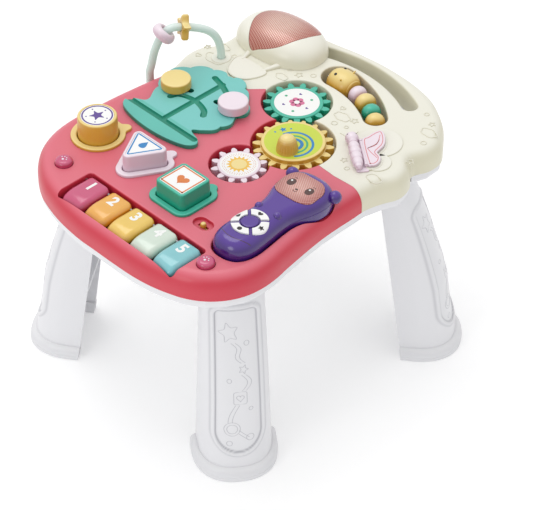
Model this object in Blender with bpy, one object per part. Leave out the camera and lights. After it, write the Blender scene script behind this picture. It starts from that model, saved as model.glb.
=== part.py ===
"""Baby activity table on four legs, with keys, gears, blocks, beads and a play handset.

Metres, +Z up. The origin is on the floor under the middle of the table top, +Y points to
the carrying handle and -Y to the row of keys. Places on the table top are shares of its
half width and half depth, and everything else follows the named sizes below.
"""
import math

import bmesh
import bpy
import numpy as np
from mathutils import Matrix, Vector

# Whole table
HALF_WIDTH = 0.163
HALF_DEPTH = 0.211
PANEL_TOP = 0.270
COVER_HEIGHT = 0.028
SHELL_HEIGHT = 0.012
WALL = 0.0025
GAP = 0.0003
RUNNING_GAP = 0.0006
OVERRUN = 0.002
LIP = 0.0016

# Rounded edges of the covers and of the lower shell
EDGE_ROUND_FRONT = 0.015
EDGE_ROUND_REAR = 0.012
EDGE_ROUND_HEIGHT = 0.019
SEAM_STEP = 0.001
SHELL_ROUND = 0.005
SEAM_HEIGHT = 0.003

# Wells in the covers
KEY_WELL_DEPTH = 0.020
GEAR_WELL_DEPTH = 0.0125
CRADLE_DEPTH = 0.009
BEAD_WELL_DEPTH = 0.0265
SWITCH_WELL_DEPTH = 0.004
WELL_MARGIN = 0.0035
KEY_WELL_SIDE = 0.0015
KEY_FRONT_GAP = 0.0007

# Piano keys
KEY_COUNT = 5
KEY_PITCH = 0.0348
KEY_SPACE = 0.0012
KEY_LENGTH = 0.0442
KEY_HEIGHT = 0.0112
KEY_PROUD = -0.0004
KEY_CROWN = 0.003
KEY_FRONT_ROUND = 0.012
KEY_PIVOT_IN = 0.004
KEY_ROD_RADIUS = 0.0015
KEY_ROD_OVERLAP = 0.0018
KEY_BORE_GAP = 0.0004
PAD_BASE = 0.0012
PAD_HEADROOM = 0.0026
PAD_DOME_RADIUS = 0.0042
PAD_WIDTH = 0.012

# Block seats and blocks
SEAT_RING = 0.0075
SEAT_HEIGHT = 0.0030
SEAT_DEPTH = 0.0050
SEAT_FLOOR = 0.0016
BLOCK_GAP = 0.0005
EAR_RADIUS = 0.0060
EAR_X = 0.013
EAR_Y = 0.0285
CIRCLE_BLOCK_RADIUS = 0.0220
CIRCLE_BLOCK_HEIGHT = 0.0270
TRIANGLE_CORNER = 0.0070
TRIANGLE_REACH = 0.0195
TRIANGLE_BLOCK_HEIGHT = 0.0220
SQUARE_BLOCK_HALF = 0.0215
SQUARE_CORNER = 0.0060
SQUARE_BLOCK_HEIGHT = 0.0220
BLOCK_WALL = 0.0022
BLOCK_EDGE = 0.0020
CAP_RIM = 0.0038
CAP_DEPTH = 0.0008
BLOCK_DRAFT = 0.0008

# Sliding knobs and the tree plate
TREE_HALF_WIDTH = 0.056
TREE_HALF_DEPTH = 0.066
TREE_THICKNESS = 0.0050
TREE_EDGE = 0.0012
TREE_SEAT = 0.0046
GROOVE_WIDTH = 0.0068
GROOVE_DEPTH = 0.0026
KNOB_RADIUS = 0.0166
KNOB_THICKNESS = 0.0110
KNOB_LIFT = 0.0012
KNOB_EDGE = 0.0022
STEM_RADIUS = 0.0031
SHOE_RADIUS = 0.0058
SHOE_THICKNESS = 0.0022
SCREW_CORE = 0.0013

# Gears
GEAR_MODULE = 0.00445
CRANK_TEETH = 18
FLOWER_TEETH = 15
SUN_TEETH = 12
GEAR_THICKNESS = 0.0085
GEAR_FLOOR_GAP = 0.0015
GEAR_ROUND = 0.0012
GEAR_DISC_SHARE = 0.86
CRANK_DISC_RISE = 0.0050
SMALL_DISC_RISE = 0.0010
GEAR_POST_RADIUS = 0.0050
GEAR_POST_HEIGHT = 0.0070
GEAR_BORE_GAP = 0.0004
FLOWER_GEAR_ANGLE = math.radians(132.5)
SUN_GEAR_ANGLE = math.radians(-102.7)
PRESSURE_ANGLE = math.radians(25.0)
TIP_CLEARANCE = 0.0012
CRANK_KNOB_RADIUS = 0.0118
CRANK_KNOB_NECK = 0.0092
CRANK_KNOB_HEIGHT = 0.0200
CRANK_KNOB_OFFSET = 0.0170
CRANK_KNOB_ANGLE = math.radians(-66.7)

# Push buttons and the power switch
BUTTON_RADIUS = 0.0094
BUTTON_RISE = 0.0060
BUTTON_FLANGE = 0.0011
BUTTON_HEADROOM = 0.0009
BUTTON_FLANGE_THICKNESS = 0.0018
BUTTON_TRAVEL = 0.0030
BUTTON_SKIRT = 0.0016
SPRING_WIRE = 0.0005
SPRING_RADIUS = 0.0034
SPRING_LENGTH = 0.0084
SPRING_TURNS = 3
POST_RADIUS = 0.0050
POST_PIN_RADIUS = 0.0016
POST_PIN_HEIGHT = 0.0030
SWITCH_HALF_LENGTH = 0.0120
SWITCH_HALF_WIDTH = 0.0080
SWITCH_SLOT_LENGTH = 0.0130
SWITCH_SLOT_WIDTH = 0.0046
SWITCH_KNOB_RADIUS = 0.0032
SWITCH_KNOB_RISE = 0.0052
SWITCH_TRAVEL = 0.0030
SWITCH_PLATE_LENGTH = 0.0220
SWITCH_PLATE_WIDTH = 0.0090
SWITCH_PLATE_THICKNESS = 0.0016

# Bead hoop
HOOP_RADIUS = 0.0045
HOOP_HEIGHT = 0.0520
HOOP_FOOT_DEPTH = 0.0280
HOOP_SOCKET_DEPTH = 0.0090
HOOP_SOCKET_WALL = 0.0040
RING_BEAD_RADIUS = 0.0135
RING_BEAD_THICKNESS = 0.0115
STAR_BEAD_RADIUS = 0.0150
STAR_BEAD_INNER_SHARE = 0.56
STAR_BEAD_THICKNESS = 0.0080
BEAD_BORE_GAP = 0.0007

# Inchworm beads on their bent wire
INCHWORM_WIRE_RADIUS = 0.0016
INCHWORM_SAG = 0.0055
INCHWORM_AXIS_DROP = 0.0070
INCHWORM_HEAD_RADIUS = 0.0168
INCHWORM_BORE_GAP = 0.0005
INCHWORM_SPACE = 0.0010
WIRE_ANCHOR = 0.0030
BEAD_HALF_LENGTHS = (0.0076, 0.0086, 0.0080, 0.0084)
BEAD_RADII = (0.0110, 0.0122, 0.0108, 0.0112)
BEAD_WELL_HEAD = 0.0190
BEAD_WELL_TAIL = 0.0135
BEAD_WELL_END = 0.0190

# Butterfly
BUTTERFLY_LENGTH = 0.050
BUTTERFLY_BODY_RADIUS = 0.0056
BUTTERFLY_HEAD_RADIUS = 0.0068
BUTTERFLY_ANGLE = math.radians(-36.9)
BUTTERFLY_BASE = 0.0014
WING_SPAN = 0.034
WING_THICKNESS = 0.0020
WING_AXIS_OUT = 0.0085
WING_AXIS_RISE = 0.0040
WING_BARREL_RADIUS = 0.0018
WING_PIN_RADIUS = 0.0010
WING_PIN_GAP = 0.0004
WING_EAR = 0.0030
WING_EAR_RADIUS = 0.0026

# Balloon dome and lens
DOME_HALF_WIDTH = 0.056
DOME_HALF_DEPTH = 0.038
DOME_RISE = 0.030
DOME_POWER = 2.3
DOME_TURN = math.radians(6.0)
DOME_WALL = 0.0025
LENS_GAP = 0.0004
BASKET_RISE = 0.0020

# Handset
HANDSET_HALF_LENGTH = 0.075
HANDSET_HALF_WIDTH = 0.0345
HANDSET_HEIGHT = 0.0265
HANDSET_BACK_HEIGHT = 0.0125
HANDSET_TILT = math.radians(3.5)
HANDSET_WALL = 0.0020
HANDSET_ROUND = 0.013
HANDSET_BACK_ROUND = 0.004
EAR_OUT = 0.026
EAR_ALONG = 0.063
EAR_REACH = 0.018
CRADLE_GAP = 0.0008
FACE_HALF_WIDTH = 0.0250
FACE_HALF_HEIGHT = 0.0205
FACE_CORNER = 0.0130
FACE_PLACE = 0.0420
FACE_PROUD = 0.0008
FACE_DEPTH = 0.0032
PAD_PLACE = -0.0330
PAD_RING_INNER = 0.0112
PAD_RING_OUTER = 0.0195
PAD_SPOKE = 0.0036
PAD_BUTTON_RADIUS = 0.0092
HANDSET_KEY_RISE = 0.0016
HANDSET_KEY_TRAVEL = 0.0012
HANDSET_KEY_DEPTH = 0.0050
HANDSET_KEY_GAP = 0.0004

# Legs
LEG_TOP_HALF_WIDTH = 0.0325
LEG_FOOT_HALF_WIDTH = 0.0405
LEG_SIDE_DEPTH = 0.0440
LEG_BULGE = 0.0130
LEG_WALL = 0.0032
LEG_LEAN_OUT = 0.0320
LEG_LEAN_SIDE = 0.0040
LEG_SHOULDER = 0.0160
LEG_TOP_PLATE = 0.0040
LEG_INNER = -0.0230
LEG_FRONT_ANGLE = math.radians(-36.0)
LEG_REAR_ANGLE = math.radians(36.0)
PLUG_HALF_WIDTH = 0.0200
PLUG_DEPTH = 0.0150
PLUG_HEIGHT = 0.0170
PLUG_WALL = 0.0024
SHOE_STEP = 0.0060
SHOE_HEIGHT = 0.0150
SHOE_FLOOR = 0.0030
WINDOW_HALF_WIDTH = 0.0255
WINDOW_DEPTH = 0.0016
WINDOW_TOP = 0.1960
WINDOW_BOTTOM = 0.0330
RIB_HEIGHT = 0.0900
RIB_THICKNESS = 0.0030

# Inside the lower shell
BATTERY_RADIUS = 0.00725
BATTERY_LENGTH = 0.0500
BATTERY_COUNT = 3
BATTERY_GAP = 0.0004
BAY_WALL = 0.0020
DOOR_MARGIN = 0.0040
DOOR_THICKNESS = 0.0020
SPEAKER_RADIUS = 0.0230
SPEAKER_DEPTH = 0.0140
SPEAKER_NECK_RADIUS = 0.0130
SPEAKER_RING = 0.0020
SPEAKER_RING_HEIGHT = 0.0035
GRILLE_HOLE = 0.0022
GRILLE_PITCH = 0.0080
SCREW_RADIUS = 0.0014
SCREW_HEAD_RADIUS = 0.0030
SCREW_HEAD_HEIGHT = 0.0018
SCREW_LENGTH = 0.0180
SCREW_GAP = 0.0004
PILLAR_RADIUS = 0.0040

# Carrying slot
SLOT_HALF_WIDTH = 0.0085
SLOT_SAG = 0.0140

outline_shares = (
    (0.000, -1.000), (0.258, -1.000), (0.442, -0.991), (0.589, -0.967), (0.718, -0.934),
    (0.822, -0.886), (0.896, -0.829), (0.957, -0.758), (0.991, -0.673), (1.000, -0.559),
    (0.975, -0.441), (0.951, -0.322), (0.923, -0.161), (0.914, -0.014), (0.914, 0.104),
    (0.914, 0.213), (0.963, 0.284), (0.982, 0.365), (0.954, 0.436), (0.896, 0.493),
    (0.877, 0.531), (0.914, 0.592), (0.929, 0.654), (0.902, 0.716), (0.859, 0.758),
    (0.804, 0.810), (0.742, 0.858), (0.656, 0.905), (0.558, 0.948), (0.442, 0.976),
    (0.313, 0.993), (0.190, 1.000), (0.049, 1.000), (-0.172, 0.983), (-0.374, 0.953),
    (-0.558, 0.929), (-0.656, 0.891), (-0.742, 0.844), (-0.816, 0.796), (-0.877, 0.744),
    (-0.926, 0.687), (-0.945, 0.630), (-0.926, 0.573), (-0.896, 0.531), (-0.933, 0.488),
    (-0.975, 0.436), (-1.000, 0.379), (-1.000, 0.322), (-0.994, 0.261), (-0.969, 0.213),
    (-0.945, 0.161), (-0.954, 0.071), (-0.966, -0.024), (-0.982, -0.142),
    (-0.994, -0.284), (-1.000, -0.450), (-0.988, -0.569), (-0.951, -0.673),
    (-0.890, -0.758), (-0.804, -0.829), (-0.693, -0.891), (-0.564, -0.938),
    (-0.350, -0.981), (-0.129, -1.000))

parting_shares = (
    (-1.080, 0.142), (-0.896, 0.147), (-0.840, 0.199), (-0.773, 0.239), (-0.675, 0.270),
    (-0.595, 0.284), (-0.491, 0.299), (-0.380, 0.313), (-0.301, 0.379), (-0.245, 0.341),
    (-0.123, 0.265), (0.025, 0.237), (0.245, 0.237), (0.405, 0.209), (0.515, 0.128),
    (0.675, 0.121), (0.914, 0.133), (1.080, 0.137))

place_shares = {
    "keys": (0.107, -0.733),
    "circle_seat": (-0.693, -0.498),
    "triangle_seat": (-0.282, -0.479),
    "square_seat": (0.153, -0.517),
    "left_button": (-0.626, -0.768),
    "right_button": (0.736, -0.787),
    "switch": (0.442, -0.592),
    "tree": (-0.515, 0.009),
    "crank_gear": (0.245, 0.164),
    "dome": (-0.583, 0.711),
    "hoop_outer": (-0.991, 0.057),
    "hoop_inner": (-0.767, 0.403),
    "handset": (0.718, -0.338),
    "inchworm_head": (-0.018, 0.727),
    "inchworm_tail": (0.417, 0.614),
    "butterfly": (0.509, 0.374),
    "batteries": (0.184, 0.081),
    "speaker": (-0.540, 0.024),
    "slot_left": (-0.330, 0.836),
    "slot_right": (0.490, 0.810),
    "leg_front": (0.847, -0.690),
    "leg_rear": (0.908, 0.664),
    "basket": (-0.552, 0.412)}

screw_shares = ((-0.074, -0.294), (0.429, -0.294), (-0.902, -0.213), (-0.380, 0.464),
                (0.420, 0.505), (-0.890, 0.322))

tree_shares = (
    (-0.643, -0.485), (-0.714, -0.288), (-0.893, -0.015), (-1.036, 0.318),
    (-0.893, 0.591), (-0.714, 0.758), (-0.464, 0.894), (-0.232, 0.939), (-0.107, 0.909),
    (0.071, 1.000), (0.304, 0.970), (0.518, 0.864), (0.661, 0.742), (0.875, 0.621),
    (1.000, 0.424), (0.964, 0.227), (1.036, 0.015), (0.982, -0.212), (0.821, -0.394),
    (0.679, -0.515), (0.964, -0.606), (1.054, -0.727), (0.911, -0.864),
    (0.518, -0.955), (0.054, -0.985), (-0.411, -0.955), (-0.804, -0.864),
    (-0.946, -0.727), (-0.857, -0.606))

# Grooves that draw the trunk and branches, and the two slots that the knobs run in
ground_groove_shares = ((-0.93, -0.66), (0.93, -0.66))
trunk_groove_shares = ((0.036, -0.66), (0.036, 0.68))
umbrella_groove_shares = ((-0.39, -0.15), (-0.30, -0.01), (0.036, 0.06), (0.37, -0.01),
                          (0.50, -0.12))
hook_groove_shares = ((-0.23, 0.72), (0.036, 0.66), (0.26, 0.58))
yellow_slot_shares = ((-0.536, 0.091), (-0.25, 0.19))
pink_slot_shares = ((0.750, 0.348), (0.36, 0.29))

lens_shares = ((-0.429, -0.743), (-0.054, -0.763), (0.304, -0.560), (0.589, 0.053),
               (0.640, 0.600), (0.340, 0.820), (-0.089, 0.830), (-0.500, 0.600),
               (-0.760, 0.184))

handset_shares = (
    (0.000, -1.000), (0.261, -0.980), (0.493, -0.907), (0.638, -0.787), (0.681, -0.640),
    (0.667, -0.453), (0.638, -0.267), (0.594, -0.067), (0.565, 0.107), (0.609, 0.240),
    (0.754, 0.373), (0.855, 0.507), (0.870, 0.667), (0.957, 0.733), (1.000, 0.840),
    (0.899, 0.927), (0.696, 0.947), (0.406, 0.980), (0.000, 1.000))

wing_shares = ((0.070, 0.180), (-0.030, 0.330), (-0.080, 0.588), (0.040, 0.912),
               (0.260, 1.000), (0.440, 0.794), (0.500, 0.560), (0.620, 0.640),
               (0.760, 0.588), (0.880, 0.412), (0.930, 0.270), (0.860, 0.180))

basket_shares = ((-1.0, 0.8), (-0.8, -0.5), (0.0, -1.0), (0.8, -0.5), (1.0, 0.8))

# The hoop's middle line: share of the way between its feet, and share of its height
hoop_shares = ((0.0, 0.00), (0.025, 0.14), (0.080, 0.50), (0.180, 0.83), (0.310, 0.985),
               (0.500, 0.955), (0.720, 0.845), (0.865, 0.700), (0.955, 0.480),
               (0.995, 0.20), (1.0, 0.00))
ring_bead_share = 0.335
star_bead_share = 0.505

CORAL = (0.76, 0.17, 0.21)
CREAM = (0.87, 0.84, 0.71)
PALE_GREY = (0.78, 0.78, 0.78)
TEAL = (0.03, 0.37, 0.28)
LIGHT_TEAL = (0.12, 0.56, 0.54)
GOLD = (0.70, 0.44, 0.10)
YELLOW = (0.85, 0.66, 0.25)
PINK = (0.82, 0.70, 0.74)
MAGENTA = (0.66, 0.12, 0.24)
ORANGE = (0.85, 0.45, 0.10)
PALE_GREEN = (0.68, 0.80, 0.70)
AQUA = (0.27, 0.62, 0.66)
PURPLE = (0.11, 0.03, 0.30)
ROSE = (0.72, 0.42, 0.34)
WHITE = (0.85, 0.85, 0.84)
STEEL = (0.55, 0.55, 0.56)
BLACK = (0.03, 0.03, 0.03)
MINT = (0.74, 0.84, 0.79)

CIRCLE_SIDES = 18
SMALL_SIDES = 10


# Outlines are arrays of points, counter-clockwise

def place(name):
    """A named place on the table top."""
    share = place_shares[name]
    return np.array((share[0] * HALF_WIDTH, share[1] * HALF_DEPTH))


def on_shares(shares, half_x, half_y, centre=(0.0, 0.0)):
    """Points given as shares of two half sizes, about a centre."""
    points = np.array(shares, dtype=float)
    return points * (half_x, half_y) + centre


def smooth_loop(points, count):
    """A closed Catmull-Rom curve through the points, in steps of equal length."""
    p0 = np.roll(points, 1, axis=0)
    p2 = np.roll(points, -1, axis=0)
    p3 = np.roll(points, -2, axis=0)
    fine = []
    for t in np.linspace(0.0, 1.0, 9)[:-1]:
        fine.append(((2 * points) + (p2 - p0) * t + (2 * p0 - 5 * points + 4 * p2 - p3) * t ** 2
                     + (3 * points - p0 - 3 * p2 + p3) * t ** 3) / 2)
    curve = np.stack(fine, axis=1).reshape(-1, points.shape[1])
    closed = np.vstack((curve, curve[:1]))
    reach = np.concatenate(((0.0,), np.cumsum(np.linalg.norm(np.diff(closed, axis=0), axis=1))))
    at = np.linspace(0.0, reach[-1], count, endpoint=False)
    return np.stack([np.interp(at, reach, closed[:, k]) for k in range(points.shape[1])], axis=1)


def smooth_path(points, count):
    """An open Catmull-Rom curve through the points, in steps of equal length."""
    points = np.array(points, dtype=float)
    padded = np.vstack((2 * points[0] - points[1], points, 2 * points[-1] - points[-2]))
    fine = []
    for k in range(len(points) - 1):
        p0, p1, p2, p3 = padded[k:k + 4]
        for t in np.linspace(0.0, 1.0, 13)[:-1]:
            fine.append(((2 * p1) + (p2 - p0) * t + (2 * p0 - 5 * p1 + 4 * p2 - p3) * t ** 2
                         + (3 * p1 - p0 - 3 * p2 + p3) * t ** 3) / 2)
    fine.append(points[-1])
    curve = np.array(fine)
    reach = np.concatenate(((0.0,), np.cumsum(np.linalg.norm(np.diff(curve, axis=0), axis=1))))
    at = np.linspace(0.0, reach[-1], count)
    return np.stack([np.interp(at, reach, curve[:, k]) for k in range(points.shape[1])], axis=1)


def offset(points, distance):
    """The outline moved outwards by a distance, one for all points or one for each."""
    before = points - np.roll(points, 1, axis=0)
    after = np.roll(points, -1, axis=0) - points
    before /= np.linalg.norm(before, axis=1)[:, None]
    after /= np.linalg.norm(after, axis=1)[:, None]
    tangent = before + after
    tangent /= np.linalg.norm(tangent, axis=1)[:, None]
    normal = np.stack((tangent[:, 1], -tangent[:, 0]), axis=1)
    lean = np.clip(np.sum(tangent * after, axis=1), 0.6, 1.0)
    return points + normal * (np.broadcast_to(distance, len(points)) / lean)[:, None]


def turned(points, angle, centre=(0.0, 0.0)):
    """The outline turned about zero and moved to its centre."""
    c, s = math.cos(angle), math.sin(angle)
    return points @ np.array(((c, s), (-s, c))) + centre


def circle(radius, centre=(0.0, 0.0), sides=CIRCLE_SIDES):
    angles = np.linspace(0.0, 2 * math.pi, sides, endpoint=False)
    return np.stack((np.cos(angles), np.sin(angles)), axis=1) * radius + centre


def arc(centre, radius, start, end, steps):
    angles = np.linspace(start, end, steps)
    return np.stack((np.cos(angles), np.sin(angles)), axis=1) * radius + centre


def rounded_corners(corners, radius, steps=5):
    """An outline with round corners, whose arcs have the given middles."""
    corners = np.array(corners)
    parts = []
    for k in range(len(corners)):
        back = corners[k] - corners[k - 1]
        ahead = corners[(k + 1) % len(corners)] - corners[k]
        start = math.atan2(back[1], back[0]) - math.pi / 2
        turn = (math.atan2(ahead[1], ahead[0]) - math.atan2(back[1], back[0])) % (2 * math.pi)
        parts.append(arc(corners[k], radius, start, start + turn, steps))
    return np.vstack(parts)


def rectangle(half_x, half_y, corner, centre=(0.0, 0.0), steps=2):
    x, y = half_x - corner, half_y - corner
    return rounded_corners(((-x, -y), (x, -y), (x, y), (-x, y)), corner, steps) + centre


def capsule(start, end, radius, steps=6):
    """A straight slot with round ends."""
    return rounded_corners((start, end), radius, steps)


def band(path, half_widths, steps=3):
    """A curved slot along a path, with round ends."""
    path = np.array(path)
    tangent = np.gradient(path, axis=0)
    tangent /= np.linalg.norm(tangent, axis=1)[:, None]
    normal = np.stack((tangent[:, 1], -tangent[:, 0]), axis=1)
    widths = np.broadcast_to(half_widths, len(path))[:, None]
    right = path + normal * widths
    left = (path - normal * widths)[::-1]
    head = math.atan2(tangent[-1, 1], tangent[-1, 0])
    tail = math.atan2(-tangent[0, 1], -tangent[0, 0])
    nose = arc(path[-1], widths[-1, 0], head - math.pi / 2, head + math.pi / 2, steps + 2)[1:-1]
    heel = arc(path[0], widths[0, 0], tail - math.pi / 2, tail + math.pi / 2, steps + 2)[1:-1]
    return np.vstack((right, nose, left, heel))


# Solids

def mesh_object(name, vertices, faces):
    """An object from points and faces, with its faces turned outwards."""
    mesh = bpy.data.meshes.new(name)
    mesh.from_pydata([tuple(v) for v in vertices], [], faces)
    work = bmesh.new()
    work.from_mesh(mesh)
    bmesh.ops.recalc_face_normals(work, faces=work.faces)
    work.to_mesh(mesh)
    work.free()
    thing = bpy.data.objects.new(name, mesh)
    bpy.context.scene.collection.objects.link(thing)
    return thing


def from_rings(name, rings, wrap=False):
    """A solid whose rings are joined in order, its ends capped, or joined if it wraps."""
    count = len(rings[0])
    vertices = np.vstack(rings)
    faces = []
    last = len(rings) if wrap else len(rings) - 1
    for k in range(last):
        low, high = k * count, ((k + 1) % len(rings)) * count
        for j in range(count):
            nxt = (j + 1) % count
            faces.append((low + j, low + nxt, high + nxt, high + j))
    if not wrap:
        faces.append(tuple(range(count - 1, -1, -1)))
        faces.append(tuple(range((len(rings) - 1) * count, len(rings) * count)))
    return mesh_object(name, vertices, faces)


def at_height(outline, z):
    return np.column_stack((outline, np.broadcast_to(z, len(outline))))


def stack(name, outline, levels):
    """A solid of one outline at several levels, each an outward offset and a height."""
    return from_rings(name, [at_height(offset(outline, out), z) for out, z in levels])


def prism(name, outline, low, high):
    return from_rings(name, [at_height(outline, low), at_height(outline, high)])


def turned_solid(name, profile, sides=CIRCLE_SIDES, centre=(0.0, 0.0), hollow=False):
    """A profile of radius and height turned about a vertical axis."""
    rings = [at_height(circle(max(radius, GAP), centre, sides), z) for radius, z in profile]
    return from_rings(name, rings, hollow)


def frames_along(path):
    """Two directions square to the path at each of its points, without twist."""
    tangent = np.gradient(path, axis=0)
    tangent /= np.linalg.norm(tangent, axis=1)[:, None]
    first = np.cross(tangent[0], (0.0, 0.0, 1.0))
    if np.linalg.norm(first) < 0.1:
        first = np.cross(tangent[0], (1.0, 0.0, 0.0))
    side = [first / np.linalg.norm(first)]
    for k in range(1, len(path)):
        turned_side = side[-1] - tangent[k] * np.dot(side[-1], tangent[k])
        side.append(turned_side / np.linalg.norm(turned_side))
    side = np.array(side)
    return side, np.cross(tangent, side)


def tube(name, path, radius, sides=SMALL_SIDES):
    """A round tube along a path, one radius for all points or one for each."""
    path = np.array(path, dtype=float)
    side, up = frames_along(path)
    radii = np.broadcast_to(radius, len(path))
    rings = []
    angles = np.linspace(0.0, 2 * math.pi, sides, endpoint=False)
    for k, point in enumerate(path):
        rings.append(point + radii[k] * (np.cos(angles)[:, None] * side[k]
                                         + np.sin(angles)[:, None] * up[k]))
    return from_rings(name, rings)


def joined(name, things):
    """Several solids that don't touch, as one object."""
    work = bmesh.new()
    for thing in things:
        work.from_mesh(thing.data)
        bpy.data.objects.remove(thing)
    mesh = bpy.data.meshes.new(name)
    work.to_mesh(mesh)
    work.free()
    result = bpy.data.objects.new(name, mesh)
    bpy.context.scene.collection.objects.link(result)
    return result


def combine(thing, tool, operation):
    """A Boolean between two solids, applied at once, which uses up the tool."""
    modifier = thing.modifiers.new(operation.lower(), "BOOLEAN")
    modifier.operation = operation
    modifier.object = tool
    modifier.solver = "EXACT"
    graph = bpy.context.evaluated_depsgraph_get()
    graph.update()
    mesh = bpy.data.meshes.new_from_object(thing.evaluated_get(graph))
    thing.modifiers.clear()
    thing.data = mesh
    bpy.data.objects.remove(tool)
    return thing


def cut(thing, *tools):
    for tool in tools:
        combine(thing, tool, "DIFFERENCE")
    return thing


def fuse(thing, *tools):
    for tool in tools:
        combine(thing, tool, "UNION")
    return thing


def keep(thing, tool):
    return combine(thing, tool, "INTERSECT")


def copy_of(thing, name="copy"):
    double = bpy.data.objects.new(name, thing.data.copy())
    bpy.context.scene.collection.objects.link(double)
    return double


def moved(thing, shift=(0.0, 0.0, 0.0), angle=0.0):
    """The solid turned about the vertical axis through zero, then moved."""
    thing.data.transform(Matrix.Translation(Vector(shift)) @ Matrix.Rotation(angle, 4, "Z"))
    return thing


def well_cutter(name, outline, floor, lip=LIP):
    """A cutter for a well from the table top, with a bevelled lip."""
    return stack(name, outline, ((0.0, floor), (0.0, PANEL_TOP - lip), (lip * 2, PANEL_TOP + lip)))


def well_block(name, outline, floor):
    """The stock that is left round a well, under the top plate."""
    return prism(name, offset(outline, WALL), floor - WALL, PANEL_TOP - WALL / 2)


made_materials = {}


def material(name, colour, roughness=0.35, metallic=0.0):
    if name not in made_materials:
        made = bpy.data.materials.new(name)
        made.use_nodes = True
        shader = made.node_tree.nodes["Principled BSDF"]
        shader.inputs["Base Color"].default_value = (*colour, 1.0)
        shader.inputs["Roughness"].default_value = roughness
        shader.inputs["Metallic"].default_value = metallic
        made_materials[name] = made
    return made_materials[name]


def finished(thing, name, finish, origin=None):
    """Names the solid, gives it its material and sets its origin, on its axis if it moves."""
    thing.name = name
    thing.data.name = name
    thing.data.materials.clear()
    colour, roughness, metallic = finish
    thing.data.materials.append(material("mat_" + name, colour, roughness, metallic))
    if origin is not None:
        thing.data.transform(Matrix.Translation(-Vector(origin)))
        thing.location = Vector(origin)
    for polygon in thing.data.polygons:
        polygon.use_smooth = True
    thing.data.set_sharp_from_angle(angle=math.radians(38.0))
    return thing


def gloss(colour):
    return (colour, 0.22, 0.0)


def satin(colour):
    return (colour, 0.45, 0.0)


def metal(colour):
    return (colour, 0.3, 1.0)


# Levels that several pieces share
RIM = PANEL_TOP - COVER_HEIGHT
SHELL_BOTTOM = RIM - SHELL_HEIGHT
SHELL_FLOOR = SHELL_BOTTOM + WALL
PLATE_UNDER = PANEL_TOP - WALL
GEAR_FLOOR = PANEL_TOP - GEAR_WELL_DEPTH
KEY_FLOOR = PANEL_TOP - KEY_WELL_DEPTH
CRADLE_FLOOR = PANEL_TOP - CRADLE_DEPTH
BEAD_FLOOR = PANEL_TOP - BEAD_WELL_DEPTH
SWITCH_FLOOR = PANEL_TOP - SWITCH_WELL_DEPTH
DOOR_TOP = SHELL_BOTTOM + DOOR_THICKNESS

TABLE = smooth_loop(on_shares(outline_shares, HALF_WIDTH, HALF_DEPTH), 64)
TABLE_INSIDE = smooth_loop(on_shares(outline_shares, HALF_WIDTH, HALF_DEPTH), 44)


def edge_round(outline):
    """The width of the rounded edge, wide round the front and narrower round the rear."""
    start, end = parting_shares[0][1] * HALF_DEPTH, parting_shares[0][1] * 2 * HALF_DEPTH
    blend = np.clip((outline[:, 1] - start) / (end - start), 0.0, 1.0)
    blend = blend * blend * (3 - 2 * blend)
    return EDGE_ROUND_FRONT + (EDGE_ROUND_REAR - EDGE_ROUND_FRONT) * blend


# Gears

def pitch_radius(teeth):
    return teeth * GEAR_MODULE / 2


def involute(angle):
    return math.tan(angle) - angle


def gear_outline(teeth, turn=0.0):
    """Involute teeth: at each radius a tooth is as wide as its unwound base circle leaves it."""
    pitch = pitch_radius(teeth)
    base = pitch * math.cos(PRESSURE_ANGLE)
    tip = pitch + GEAR_MODULE * gear_tip_share
    root = pitch - GEAR_MODULE * gear_tip_share - TIP_CLEARANCE
    half_at_pitch = math.pi / (2 * teeth) * gear_width_share
    flank = []
    for radius in (max(base, root), pitch, tip):
        slope = math.acos(min(1.0, base / radius))
        flank.append((radius, half_at_pitch + involute(PRESSURE_ANGLE) - involute(slope)))
    if root < base:
        flank[0] = (root, flank[0][1])
    points = []
    for k in range(teeth):
        middle = turn + 2 * math.pi * k / teeth
        for radius, half in flank:
            points.append((radius * math.cos(middle - half), radius * math.sin(middle - half)))
        for radius, half in reversed(flank):
            points.append((radius * math.cos(middle + half), radius * math.sin(middle + half)))
    return np.array(points)


ear_round_share = 0.36
gear_tip_share = 0.80
gear_width_share = 0.90

CRANK_CENTRE = place("crank_gear")


def neighbour_centre(angle, teeth):
    reach = pitch_radius(CRANK_TEETH) + pitch_radius(teeth)
    return CRANK_CENTRE + reach * np.array((math.cos(angle), math.sin(angle)))


FLOWER_CENTRE = neighbour_centre(FLOWER_GEAR_ANGLE, FLOWER_TEETH)
SUN_CENTRE = neighbour_centre(SUN_GEAR_ANGLE, SUN_TEETH)


def gear_well_radius(teeth):
    return pitch_radius(teeth) + GEAR_MODULE * gear_tip_share + WELL_MARGIN / 2


def meshing_turn(angle, teeth):
    """The turn that puts a tooth gap of the neighbour on the crank gear's tooth."""
    tooth_step = 2 * math.pi / CRANK_TEETH
    phase = (angle / tooth_step) % 1.0
    return angle + math.pi + (phase + 0.5) * 2 * math.pi / teeth


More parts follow.
